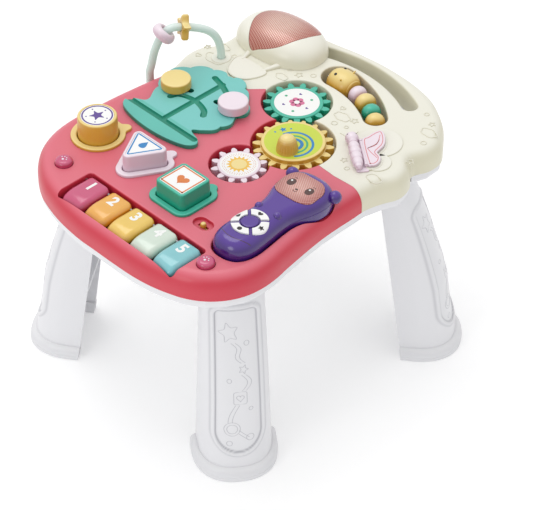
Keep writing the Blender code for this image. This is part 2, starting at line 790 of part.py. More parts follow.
def gear(name, teeth, centre, turn, disc_rise, finish):
    """A toothed wheel with a raised disc and a blind bore that turns on the well's post."""
    low = GEAR_FLOOR + GEAR_FLOOR_GAP
    high = low + GEAR_THICKNESS
    outline = gear_outline(teeth, turn)
    body = prism(name, outline, low, high)
    disc = pitch_radius(teeth) * GEAR_DISC_SHARE
    face = turned_solid("disc", ((disc, high - GEAR_ROUND), (disc, high + disc_rise - GEAR_ROUND),
                                 (disc - GEAR_ROUND, high + disc_rise)), CIRCLE_SIDES + 4)
    fuse(body, face)
    bore = turned_solid("bore", ((GEAR_POST_RADIUS + GEAR_BORE_GAP, low - OVERRUN),
                                 (GEAR_POST_RADIUS + GEAR_BORE_GAP,
                                  GEAR_FLOOR + GEAR_POST_HEIGHT + GAP)))
    cut(body, bore)
    if teeth == CRANK_TEETH:
        fuse(body, crank_knob(high + disc_rise))
    moved(body, (*centre, 0.0))
    return finished(body, name, finish, (*centre, low))


def crank_knob(seat):
    """The waisted finger knob that stands on the crank gear."""
    profile = ((CRANK_KNOB_RADIUS, seat - GEAR_ROUND), (CRANK_KNOB_NECK, seat + CRANK_KNOB_HEIGHT * 0.25),
               (CRANK_KNOB_RADIUS * 0.97, seat + CRANK_KNOB_HEIGHT * 0.62),
               (CRANK_KNOB_RADIUS, seat + CRANK_KNOB_HEIGHT * 0.80),
               (CRANK_KNOB_RADIUS * 0.78, seat + CRANK_KNOB_HEIGHT * 0.94),
               (CRANK_KNOB_RADIUS * 0.40, seat + CRANK_KNOB_HEIGHT))
    middle = CRANK_KNOB_OFFSET * np.array((math.cos(CRANK_KNOB_ANGLE), math.sin(CRANK_KNOB_ANGLE)))
    return turned_solid("knob", profile, 16, middle)


def build_gears():
    gear("crank_gear", CRANK_TEETH, CRANK_CENTRE, 0.0, CRANK_DISC_RISE, gloss(GOLD))
    gear("flower_gear", FLOWER_TEETH, FLOWER_CENTRE,
         meshing_turn(FLOWER_GEAR_ANGLE, FLOWER_TEETH), SMALL_DISC_RISE, gloss(TEAL))
    gear("sun_gear", SUN_TEETH, SUN_CENTRE,
         meshing_turn(SUN_GEAR_ANGLE, SUN_TEETH), SMALL_DISC_RISE, gloss(PINK))


# Block seats and blocks

def seat_outlines():
    reach = TRIANGLE_REACH
    side = reach * math.sqrt(3) / 2
    half = SQUARE_BLOCK_HALF - SQUARE_CORNER
    return {
        "circle": circle(CIRCLE_BLOCK_RADIUS),
        "triangle": rounded_corners(((0.0, -reach), (side, reach / 2), (-side, reach / 2)),
                                    TRIANGLE_CORNER, 5),
        "square": rounded_corners(((-half, -half), (half, -half), (half, half), (-half, half)),
                                  SQUARE_CORNER, 4)}


def build_seats_and_blocks():
    """Each seat is a cup with a raised ring and an ear; its block stands in it."""
    seat_top = PANEL_TOP + GAP + SEAT_HEIGHT
    cup_floor = PANEL_TOP - SEAT_DEPTH
    heights = {"circle": CIRCLE_BLOCK_HEIGHT, "triangle": TRIANGLE_BLOCK_HEIGHT,
               "square": SQUARE_BLOCK_HEIGHT}
    colours = {"circle": GOLD, "triangle": PINK, "square": TEAL}
    for kind, outline in seat_outlines().items():
        centre = place(kind + "_seat")
        ring = stack("ring", outline, ((SEAT_RING, PANEL_TOP + GAP),
                                       (SEAT_RING, seat_top - BLOCK_EDGE / 2),
                                       (SEAT_RING - BLOCK_EDGE / 2, seat_top)))
        ear = turned_solid("ear", ((EAR_RADIUS, PANEL_TOP + GAP), (EAR_RADIUS, seat_top - BLOCK_EDGE)),
                           SMALL_SIDES + 4, (EAR_X, EAR_Y))
        cup = stack("cup", outline, ((BLOCK_GAP + SEAT_FLOOR, cup_floor - SEAT_FLOOR),
                                     (BLOCK_GAP + SEAT_FLOOR, PANEL_TOP + SEAT_HEIGHT / 2)))
        fuse(ring, ear, cup)
        cut(ring, stack("hollow", outline, ((BLOCK_GAP, cup_floor),
                                            (BLOCK_GAP, seat_top - BLOCK_EDGE / 2),
                                            (BLOCK_GAP + BLOCK_EDGE, seat_top + BLOCK_EDGE / 2))))
        moved(ring, (*centre, 0.0))
        finished(ring, kind + "_seat", gloss(colours[kind]))
        foot = cup_floor + GAP
        top = PANEL_TOP + heights[kind]
        block = stack("block", outline, ((0.0, foot), (-BLOCK_DRAFT, top - BLOCK_EDGE),
                                         (-BLOCK_DRAFT - BLOCK_EDGE, top)))
        cut(block, stack("recess", outline, ((-CAP_RIM, top - CAP_DEPTH), (-CAP_RIM, top + OVERRUN))),
            stack("inside", outline, ((-BLOCK_WALL, foot - OVERRUN),
                                      (-BLOCK_WALL - BLOCK_DRAFT, top - BLOCK_WALL * 2))))
        moved(block, (*centre, 0.0))
        finished(block, kind + "_block", gloss(colours[kind]), (*centre, foot))


# Tree plate with its two sliding knobs

def tree_point(share):
    return place("tree") + np.array(share) * (TREE_HALF_WIDTH, TREE_HALF_DEPTH)


def tree_outline():
    shape = on_shares(tree_shares[::-1], TREE_HALF_WIDTH, TREE_HALF_DEPTH, place("tree"))
    return smooth_loop(shape, 46)


def build_tree():
    low = PANEL_TOP + GAP
    top = low + TREE_THICKNESS
    plate = stack("tree_plate", tree_outline(), ((0.0, low), (0.0, top - TREE_EDGE),
                                                 (-TREE_EDGE, top)))
    half = GROOVE_WIDTH / 2
    for shares in (ground_groove_shares, trunk_groove_shares, umbrella_groove_shares,
                   hook_groove_shares):
        points = [tree_point(share) for share in shares]
        path = smooth_path(points, 7) if len(points) > 2 else points
        cut(plate, prism("groove", band(path, half), top - GROOVE_DEPTH, top + OVERRUN))
    for name, shares, colour in (("yellow_knob", yellow_slot_shares, YELLOW),
                                 ("pink_knob", pink_slot_shares, PINK)):
        start, end = (tree_point(share) for share in shares)
        slot = capsule(start, end, STEM_RADIUS + RUNNING_GAP)
        cut(plate, prism("slot", slot, low - OVERRUN, top + OVERRUN))
        build_knob(name, start, top, colour)
    finished(plate, "tree_plate", gloss(LIGHT_TEAL))


def build_knob(name, centre, plate_top, colour):
    """A round knob whose stem passes through the plate and is screwed to a shoe below it."""
    under = plate_top + KNOB_LIFT
    top = under + KNOB_THICKNESS
    shoe_top = PANEL_TOP
    joint_level = (shoe_top + plate_top) / 2
    profile = ((STEM_RADIUS, joint_level), (STEM_RADIUS, plate_top + GAP),
               (STEM_RADIUS * 2, plate_top + GAP), (STEM_RADIUS * 2, under),
               (KNOB_RADIUS, under), (KNOB_RADIUS, top - KNOB_EDGE),
               (KNOB_RADIUS - KNOB_EDGE, top))
    knob = turned_solid(name, profile, CIRCLE_SIDES, centre)
    cut(knob, turned_solid("core", ((SCREW_CORE + GAP, joint_level - OVERRUN),
                                    (SCREW_CORE + GAP, under + KNOB_THICKNESS / 2)), SMALL_SIDES, centre))
    finished(knob, name, gloss(colour), (*centre, under))
    shoe = turned_solid("shoe", ((SHOE_RADIUS, shoe_top - SHOE_THICKNESS), (SHOE_RADIUS, shoe_top),
                                 (STEM_RADIUS, shoe_top), (STEM_RADIUS, joint_level - GAP),
                                 (SCREW_CORE, joint_level - GAP), (SCREW_CORE, under)),
                        SMALL_SIDES + 4, centre)
    finished(shoe, name + "_shoe", satin(WHITE), (*centre, shoe_top))


# Piano keys

def key_x(index):
    return place("keys")[0] + (index - (KEY_COUNT - 1) / 2) * KEY_PITCH


def key_back():
    return place("keys")[1]


def key_axis():
    return key_back() - KEY_PIVOT_IN, PANEL_TOP + KEY_PROUD - KEY_HEIGHT / 2


def key_well_outline():
    half = KEY_COUNT * KEY_PITCH / 2 + KEY_WELL_SIDE
    middle = place("keys")[0]
    back = key_back() + WELL_MARGIN
    front = key_back() - KEY_LENGTH - KEY_FRONT_GAP
    corner = WELL_MARGIN * 1.3
    points = rounded_corners(((middle - half + corner, front + corner),
                              (middle + half - corner, front + corner),
                              (middle + half - corner, back - corner),
                              (middle - half + corner, back - corner)), corner, 5)
    return points


def key_profile(inset):
    """The key seen from its side: flat on top, rounded down at the front."""
    back = key_back() - inset
    front = key_back() - KEY_LENGTH + inset
    top = PANEL_TOP + KEY_PROUD - inset
    bottom = PANEL_TOP + KEY_PROUD - KEY_HEIGHT + inset * 0.3
    drop = min(KEY_FRONT_ROUND, top - bottom - KEY_CROWN / 2)
    nose = arc((front + KEY_FRONT_ROUND, top - drop), 1.0, math.pi / 2, math.pi, 5)
    nose = (nose - (front + KEY_FRONT_ROUND, top - drop)) * (KEY_FRONT_ROUND, drop) \
        + (front + KEY_FRONT_ROUND, top - drop)
    return np.vstack(((back, bottom), (back, top - KEY_CROWN / 2), (back - KEY_CROWN / 2, top),
                      nose, (front, bottom)))


def build_keys():
    """Five keys on one steel rod, over a rubber strip with a dome under each key."""
    half = (KEY_PITCH - KEY_SPACE) / 2
    axis_y, axis_z = key_axis()
    colours = (MAGENTA, ORANGE, YELLOW, PALE_GREEN, AQUA)
    sections = ((-half, KEY_CROWN * 0.6), (-half + KEY_CROWN, 0.0), (half - KEY_CROWN, 0.0),
                (half, KEY_CROWN * 0.6))
    for k in range(KEY_COUNT):
        x = key_x(k)
        rings = []
        for side, inset in sections:
            profile = key_profile(inset)
            rings.append(np.column_stack((np.full(len(profile), x + side), profile)))
        key = from_rings("key", rings)
        bore = tube("bore", ((x - KEY_PITCH, axis_y, axis_z), (x + KEY_PITCH, axis_y, axis_z)),
                    KEY_ROD_RADIUS + KEY_BORE_GAP)
        cut(key, bore)
        finished(key, "key_%d" % (k + 1), gloss(colours[k % len(colours)]), (x, axis_y, axis_z))
    reach = KEY_COUNT * KEY_PITCH / 2 + KEY_WELL_SIDE + KEY_ROD_OVERLAP
    middle = place("keys")[0]
    rod = tube("rod", ((middle - reach, axis_y, axis_z), (middle + reach, axis_y, axis_z)),
               KEY_ROD_RADIUS)
    finished(rod, "key_rod", metal(STEEL))
    build_key_pad(middle)


def build_key_pad(middle):
    low = KEY_FLOOR + GAP
    y = key_back() - KEY_LENGTH * pad_place_share
    key_under = PANEL_TOP + KEY_PROUD - KEY_HEIGHT
    strip = prism("strip", rectangle(KEY_COUNT * KEY_PITCH / 2 - WELL_MARGIN, PAD_WIDTH / 2,
                                     PAD_BASE, (middle, y)), low, low + PAD_BASE)
    domes = []
    for k in range(KEY_COUNT):
        domes.append(turned_solid("dome", (
            (PAD_DOME_RADIUS, low + PAD_BASE / 2), (PAD_DOME_RADIUS, low + PAD_BASE),
            (PAD_DOME_RADIUS * 0.6, key_under - PAD_HEADROOM)), SMALL_SIDES, (key_x(k), y)))
    fuse(strip, joined("domes", domes))
    finished(strip, "key_pad_strip", satin(BLACK))


pad_place_share = 0.62


# Push buttons, their springs and the power switch

def button_levels():
    flange_top = PLATE_UNDER - BUTTON_HEADROOM
    flange_low = flange_top - BUTTON_FLANGE_THICKNESS
    return flange_low, flange_top


def spring_path(centre, low, length):
    """A helix that starts and ends with nearly level turns."""
    count = SPRING_TURNS * 8 + 1
    t = np.linspace(0.0, 1.0, count)
    angle = 2 * math.pi * SPRING_TURNS * t
    rise = low + SPRING_WIRE + (length - 2 * SPRING_WIRE) * t
    return np.column_stack((centre[0] + SPRING_RADIUS * np.cos(angle),
                            centre[1] + SPRING_RADIUS * np.sin(angle), rise))


def post_top():
    flange_low, _ = button_levels()
    return flange_low - GAP - SPRING_LENGTH


def build_buttons():
    flange_low, flange_top = button_levels()
    top = PANEL_TOP + BUTTON_RISE
    for name in ("left_button", "right_button"):
        centre = place(name)
        radius = BUTTON_RADIUS
        profile = ((SPRING_RADIUS - SPRING_WIRE * 2, flange_low),
                   (radius + BUTTON_FLANGE, flange_low), (radius + BUTTON_FLANGE, flange_top),
                   (radius, flange_top), (radius, top - BUTTON_RISE * 0.5),
                   (radius * 0.82, top - BUTTON_RISE * 0.16), (radius * 0.45, top))
        cap = turned_solid(name, profile, 14, centre)
        cut(cap, turned_solid("bore", ((POST_PIN_RADIUS + RUNNING_GAP, flange_low - OVERRUN),
                                       (POST_PIN_RADIUS + RUNNING_GAP,
                                        flange_low + BUTTON_TRAVEL + GAP)), SMALL_SIDES, centre))
        finished(cap, name, gloss(MAGENTA), (*centre, flange_low))
        spring = tube("spring", spring_path(centre, post_top() + GAP, SPRING_LENGTH - GAP),
                      SPRING_WIRE, 4)
        finished(spring, name + "_spring", metal(STEEL))


def build_switch():
    """The power switch's slider: a plate under the recess, a stem and a small knob."""
    centre = place("switch")
    under = SWITCH_FLOOR - WALL - GAP
    plate = prism("plate", rectangle(SWITCH_PLATE_LENGTH / 2, SWITCH_PLATE_WIDTH / 2,
                                     SWITCH_PLATE_THICKNESS, centre),
                  under - SWITCH_PLATE_THICKNESS, under)
    half_stem = SWITCH_SLOT_WIDTH / 2 - RUNNING_GAP
    stem = prism("stem", rectangle(half_stem, half_stem, half_stem / 4, centre, 2),
                 under - SWITCH_PLATE_THICKNESS / 2, SWITCH_FLOOR + GAP * 4)
    knob = turned_solid("knob", (
        (SWITCH_KNOB_RADIUS, SWITCH_FLOOR + GAP), (SWITCH_KNOB_RADIUS, SWITCH_FLOOR + SWITCH_KNOB_RISE / 2),
        (SWITCH_KNOB_RADIUS * 0.5, SWITCH_FLOOR + SWITCH_KNOB_RISE)), SMALL_SIDES + 4, centre)
    fuse(plate, stem, knob)
    finished(plate, "power_slider", gloss(YELLOW), (*centre, SWITCH_FLOOR))


# Bead hoop

def hoop_line():
    """The hoop's middle line, in the upright plane through its two feet."""
    start, end = place("hoop_outer"), place("hoop_inner")
    points = []
    for along, rise in hoop_shares:
        flat = start + (end - start) * along
        points.append((*flat, PANEL_TOP + HOOP_HEIGHT * rise))
    curve = smooth_path(points, 18)
    outer_foot = (*start, PANEL_TOP - HOOP_FOOT_DEPTH - HOOP_SOCKET_DEPTH / 2)
    inner_foot = (*end, PANEL_TOP - HOOP_SOCKET_DEPTH)
    return np.vstack((outer_foot, curve, inner_foot))


def hoop_station(share):
    """A point of the hoop and its direction there."""
    line = hoop_line()[1:-1]
    at = share * (len(line) - 1)
    k = int(at)
    point = line[k] + (line[k + 1] - line[k]) * (at - k)
    way = line[min(k + 2, len(line) - 1)] - line[max(k - 1, 0)]
    return point, way / np.linalg.norm(way)


def oriented(thing, point, way):
    """The solid with its vertical axis laid along a direction, at a point."""
    turn = Vector((0.0, 0.0, 1.0)).rotation_difference(Vector(way)).to_matrix().to_4x4()
    thing.data.transform(Matrix.Translation(Vector(point)) @ turn)
    return thing


def build_hoop():
    finished(tube("hoop", hoop_line(), HOOP_RADIUS, 8), "bead_hoop", gloss(MINT))
    bore = HOOP_RADIUS + BEAD_BORE_GAP
    point, way = hoop_station(ring_bead_share)
    half = RING_BEAD_THICKNESS / 2
    middle = (RING_BEAD_RADIUS + bore) / 2
    swell = (RING_BEAD_RADIUS - bore) / 2
    profile = []
    for angle in np.linspace(0.0, 2 * math.pi, 8, endpoint=False):
        profile.append((middle + swell * math.cos(angle), half * math.sin(angle)))
    ring = turned_solid("ring", profile, 16, (0.0, 0.0), True)
    finished(oriented(ring, point, way), "ring_bead", gloss(PINK), point)
    point, way = hoop_station(star_bead_share)
    half = STAR_BEAD_THICKNESS / 2
    corners = []
    for k in range(10):
        radius = STAR_BEAD_RADIUS * (1.0 if k % 2 == 0 else STAR_BEAD_INNER_SHARE)
        angle = math.pi / 2 + math.pi * k / 5
        corners.append((radius * math.cos(angle), radius * math.sin(angle)))
    star_line = smooth_loop(np.array(corners), 20)
    star = stack("star", star_line, ((-GAP * 3, -half), (0.0, -half + GAP * 3),
                                     (0.0, half - GAP * 3), (-GAP * 3, half)))
    cut(star, turned_solid("bore", ((bore, -half - OVERRUN), (bore, half + OVERRUN)), 14))
    finished(oriented(star, point, way), "star_bead", gloss(YELLOW), point)


# Inchworm

def inchworm_line(ahead=0.0, behind=0.0):
    """The wire's bend: an arc through head and tail that bows to the rear, and its length."""
    head, tail = place("inchworm_head"), place("inchworm_tail")
    chord = tail - head
    length = np.linalg.norm(chord)
    bow = np.array((-chord[1], chord[0])) / length
    radius = (length / 2) ** 2 / (2 * INCHWORM_SAG) + INCHWORM_SAG / 2
    centre = (head + tail) / 2 + bow * (INCHWORM_SAG - radius)
    start = math.atan2(*(head - centre)[::-1]) + behind / radius
    end = math.atan2(*(tail - centre)[::-1]) - ahead / radius
    return centre, radius, start, end


def inchworm_station(distance):
    """The point and direction at a distance along the wire from the head's middle."""
    centre, radius, start, _ = inchworm_line()
    angle = start - distance / radius
    z = PANEL_TOP - INCHWORM_AXIS_DROP
    point = (centre[0] + radius * math.cos(angle), centre[1] + radius * math.sin(angle), z)
    return point, (math.sin(angle), -math.cos(angle), 0.0)


def inchworm_places():
    places = [0.0]
    reach = INCHWORM_HEAD_RADIUS
    for half in BEAD_HALF_LENGTHS:
        places.append(reach + INCHWORM_SPACE + half)
        reach = places[-1] + half
    return places


def inchworm_wire(radius):
    end_places = inchworm_places()
    start = -(BEAD_WELL_END + WIRE_ANCHOR)
    stop = end_places[-1] + BEAD_WELL_TAIL + WIRE_ANCHOR
    path = [inchworm_station(d)[0] for d in np.linspace(start, stop, 13)]
    return tube("wire", path, radius, 8)


def bead(name, half_length, radius, finish, distance, sides=10):
    """A bead turned about the wire, with a bore."""
    bend_room = half_length ** 2 / (2 * inchworm_line()[1])
    bore = INCHWORM_WIRE_RADIUS + INCHWORM_BORE_GAP + bend_room
    profile = []
    for angle in np.linspace(0.0, math.pi, 6):
        width = max(radius * math.sin(angle), bore * 1.25)
        profile.append((width, -half_length * math.cos(angle)))
    profile.extend(((bore, half_length), (bore, -half_length)))
    solid = turned_solid(name, profile, sides, (0.0, 0.0), True)
    point, way = inchworm_station(distance)
    finished(oriented(solid, point, way), name, finish, point)


def build_inchworm():
    finished(inchworm_wire(INCHWORM_WIRE_RADIUS), "inchworm_wire", metal(STEEL))
    places = inchworm_places()
    bead("inchworm_head", INCHWORM_HEAD_RADIUS, INCHWORM_HEAD_RADIUS, gloss(GOLD), 0.0, 14)
    colours = (PINK, YELLOW, TEAL, GOLD)
    for k, half in enumerate(BEAD_HALF_LENGTHS):
        bead("inchworm_bead_%d" % (k + 1), half, BEAD_RADII[k], gloss(colours[k]), places[k + 1])


def bead_well_outline():
    places = inchworm_places()
    start, stop = -BEAD_WELL_END + BEAD_WELL_HEAD * 0.6, places[-1]
    distances = np.linspace(start, stop, 7)
    path = [inchworm_station(d)[0][:2] for d in distances]
    share = (distances - start) / (stop - start)
    widths = BEAD_WELL_HEAD + (BEAD_WELL_TAIL - BEAD_WELL_HEAD) * share
    return band(path, widths, 6)


# Butterfly

def butterfly_frame(points):
    """Points along and out from the butterfly's body, put on the table top."""
    return turned(np.array(points), BUTTERFLY_ANGLE, place("butterfly"))


def butterfly_point(along, out, z):
    flat = butterfly_frame(((along, out),))[0]
    return (flat[0], flat[1], z)


def wing_barrel_ends():
    return BUTTERFLY_LENGTH * wing_start_share, BUTTERFLY_LENGTH * wing_end_share


wing_start_share = 0.10
wing_end_share = 0.84


def build_butterfly():
    low = PANEL_TOP + GAP
    base = prism("base", butterfly_frame(rectangle(
        BUTTERFLY_LENGTH / 2 + WING_EAR, WING_AXIS_OUT / 2 + WING_EAR_RADIUS, WING_EAR_RADIUS,
        (BUTTERFLY_LENGTH * 0.47, WING_AXIS_OUT / 2))), low, low + BUTTERFLY_BASE)
    along = np.array((-0.10, -0.02, 0.06, 0.12, 0.20, 0.45, 0.70, 0.90, 1.00)) * BUTTERFLY_LENGTH
    radii = np.array((0.55, 1.18, 1.20, 0.85, 0.95, 1.08, 1.0, 0.78, 0.35)) * BUTTERFLY_BODY_RADIUS
    middle = low + BUTTERFLY_BODY_RADIUS * 0.9
    body = tube("body", [butterfly_point(d, 0.0, middle) for d in along], radii, 8)
    axis = low + WING_AXIS_RISE
    start, end = wing_barrel_ends()
    ears = []
    for near in (start - WING_EAR - GAP, end + GAP):
        shape = rectangle(WING_EAR / 2, WING_EAR_RADIUS, GAP, (near + WING_EAR / 2, WING_AXIS_OUT))
        ears.append(prism("ear", butterfly_frame(shape), low + BUTTERFLY_BASE / 2,
                          axis + WING_EAR_RADIUS * 0.8))
    cut(body, prism("floor", butterfly_frame(rectangle(BUTTERFLY_LENGTH * 2, BUTTERFLY_LENGTH, GAP)),
                    low - BUTTERFLY_BODY_RADIUS * 2, low + BUTTERFLY_BASE / 2))
    bore = tube("bore", (butterfly_point(start - WING_EAR * 2, WING_AXIS_OUT, axis),
                         butterfly_point(end + WING_EAR * 2, WING_AXIS_OUT, axis)),
                WING_PIN_RADIUS + WING_PIN_GAP, 8)
    ears = cut(joined("ears", ears), bore)
    fuse(base, body, ears)
    finished(base, "butterfly_body", gloss(PINK))
    build_wing(axis, start, end)


def build_wing(axis, start, end):
    """The wing turns on its barrel, whose pins sit in the ears beside the body."""
    barrel = tube("barrel", (butterfly_point(start, WING_AXIS_OUT, axis),
                             butterfly_point(end, WING_AXIS_OUT, axis)), WING_BARREL_RADIUS, 8)
    pin = tube("pin", (butterfly_point(start - WING_EAR, WING_AXIS_OUT, axis),
                       butterfly_point(end + WING_EAR, WING_AXIS_OUT, axis)), WING_PIN_RADIUS, 8)
    edge = WING_AXIS_OUT + WING_EAR_RADIUS
    shape = on_shares(wing_shares[::-1], BUTTERFLY_LENGTH, WING_SPAN)
    shape = smooth_loop(shape, 28)
    shape[:, 1] = np.maximum(shape[:, 1], 0.0) * (1 - edge / WING_SPAN) + edge
    low = axis - WING_THICKNESS / 2
    wing = prism("wing", butterfly_frame(shape), low, low + WING_THICKNESS)
    strap = prism("strap", butterfly_frame(rectangle(
        (end - start) * 0.36, edge / 2, GAP, ((start + end) / 2, WING_AXIS_OUT + edge / 2))),
        low, low + WING_THICKNESS)
    fuse(barrel, pin, strap, wing)
    finished(barrel, "butterfly_wing", gloss(PINK), butterfly_point(start, WING_AXIS_OUT, axis))


# Balloon dome

def dome_outline(count=24):
    angles = np.linspace(0.0, 2 * math.pi, count, endpoint=False)
    power = 2.0 / DOME_POWER
    shape = np.stack((np.sign(np.cos(angles)) * np.abs(np.cos(angles)) ** power * DOME_HALF_WIDTH,
                      np.sign(np.sin(angles)) * np.abs(np.sin(angles)) ** power * DOME_HALF_DEPTH),
                     axis=1)
    return turned(shape, DOME_TURN, place("dome"))


def dome_surface(inset, low, count=24):
    """Rings of a pillow: at each height the outline shrinks as a superellipse does."""
    outline = offset(dome_outline(count), -inset)
    centre = place("dome")
    rise = DOME_RISE - inset
    rings = []
    for angle in np.radians((0.0, 24.0, 46.0, 65.0, 80.0)):
        share = math.cos(angle) ** (2.0 / DOME_POWER)
        height = math.sin(angle) ** (2.0 / DOME_POWER)
        rings.append(at_height(centre + (outline - centre) * share, low + rise * height))
    return rings


def dome_shell(name):
    low = PANEL_TOP + GAP
    outer = dome_surface(0.0, low)
    inner = dome_surface(DOME_WALL, low)
    inner[0] = at_height(inner[0][:, :2], low - OVERRUN)
    shell = from_rings(name, outer)
    return cut(shell, from_rings("inside", inner))


def lens_prism(name, shrink):
    shape = smooth_loop(on_shares(lens_shares, DOME_HALF_WIDTH, DOME_HALF_DEPTH), 24)
    outline = offset(turned(shape, DOME_TURN, place("dome")), -shrink)
    return prism(name, outline, PANEL_TOP + DOME_RISE * lens_foot_share,
                 PANEL_TOP + DOME_RISE + OVERRUN)


lens_foot_share = 0.12


def build_dome():
    dome = cut(dome_shell("balloon_dome"), lens_prism("hole", 0.0))
    finished(dome, "balloon_dome", gloss(CREAM))
    lens = keep(dome_shell("balloon_lens"), lens_prism("plug", LENS_GAP))
    finished(lens, "balloon_lens", gloss(ROSE))


# Covers

def slot_outline():
    left, right = place("slot_left"), place("slot_right")
    chord = right - left
    length = np.linalg.norm(chord)
    bow = np.array((-chord[1], chord[0])) / length
    radius = (length / 2) ** 2 / (2 * SLOT_SAG) + SLOT_SAG / 2
    centre = (left + right) / 2 + bow * (SLOT_SAG - radius)
    start = math.atan2(*(left - centre)[::-1])
    end = math.atan2(*(right - centre)[::-1])
    return band(arc(centre, radius, start, end, 9), SLOT_HALF_WIDTH, 3)


def handset_outline(count=36):
    half = on_shares(handset_shares, HANDSET_HALF_WIDTH, HANDSET_HALF_LENGTH)
    left = half[1:-1][::-1] * (-1.0, 1.0)
    shape = smooth_loop(np.vstack((half, left)), count)
    return turned(shape, HANDSET_TILT, place("handset"))


def parting_prism(name, side):
    """All of the table in front of the parting line (side -1) or behind it (side 1)."""
    line = on_shares(parting_shares, HALF_WIDTH, HALF_DEPTH)
    step = np.gradient(line, axis=0)
    step /= np.linalg.norm(step, axis=1)[:, None]
    normal = np.stack((-step[:, 1], step[:, 0]), axis=1)
    line = line + normal * (side * GAP / 2)
    far = side * (HALF_DEPTH + EDGE_ROUND_FRONT)
    ends = np.array(((line[-1, 0], far), (line[0, 0], far)))
    outline = np.vstack((line, ends))
    if side < 0:
        outline = outline[::-1]
    return prism(name, outline, RIM - OVERRUN, PANEL_TOP + OVERRUN)


def cover_wells():
    """Each well's outline and floor."""
    return {
        "keys": (key_well_outline(), KEY_FLOOR),
        "crank": (circle(gear_well_radius(CRANK_TEETH), CRANK_CENTRE, 24), GEAR_FLOOR),
        "flower": (circle(gear_well_radius(FLOWER_TEETH), FLOWER_CENTRE, 22), GEAR_FLOOR),
        "sun": (circle(gear_well_radius(SUN_TEETH), SUN_CENTRE, 20), GEAR_FLOOR),
        "cradle": (offset(handset_outline(), CRADLE_GAP), CRADLE_FLOOR),
        "beads": (bead_well_outline(), BEAD_FLOOR),
        "switch": (capsule(place("switch") - (SWITCH_HALF_LENGTH - SWITCH_HALF_WIDTH, 0.0),
                           place("switch") + (SWITCH_HALF_LENGTH - SWITCH_HALF_WIDTH, 0.0),
                           SWITCH_HALF_WIDTH), SWITCH_FLOOR)}


def through_holes():
    """Cutters for the holes that go through the covers' top plate."""
    low = PLATE_UNDER - OVERRUN
    top = PANEL_TOP + OVERRUN
    holes = []
    for kind, outline in seat_outlines().items():
        hole = offset(outline, BLOCK_GAP + SEAT_FLOOR + GAP) + place(kind + "_seat")
        holes.append(prism("hole", hole, low, top))
    for name in ("left_button", "right_button"):
        holes.append(prism("hole", circle(BUTTON_RADIUS + RUNNING_GAP, place(name), 14), low, top))
    holes.append(prism("hole", offset(tree_outline(), -TREE_SEAT), low, top))
    holes.append(prism("hole", circle(HOOP_RADIUS + GAP, place("hoop_inner"), 10),
                       PANEL_TOP - HOOP_SOCKET_DEPTH - GAP, top))
    half_travel = SWITCH_SLOT_LENGTH / 2
    holes.append(prism("hole", rectangle(half_travel, SWITCH_SLOT_WIDTH / 2, SWITCH_SLOT_WIDTH / 4,
                                         place("switch"), 2), SWITCH_FLOOR - WALL - OVERRUN,
                       SWITCH_FLOOR + OVERRUN))
    for share in screw_shares:
        spot = np.array(share) * (HALF_WIDTH, HALF_DEPTH)
        holes.append(prism("hole", circle(SCREW_RADIUS + SCREW_GAP, spot, 6), RIM - OVERRUN,
                           SHELL_BOTTOM + SCREW_LENGTH + GAP))
    return joined("holes", holes)


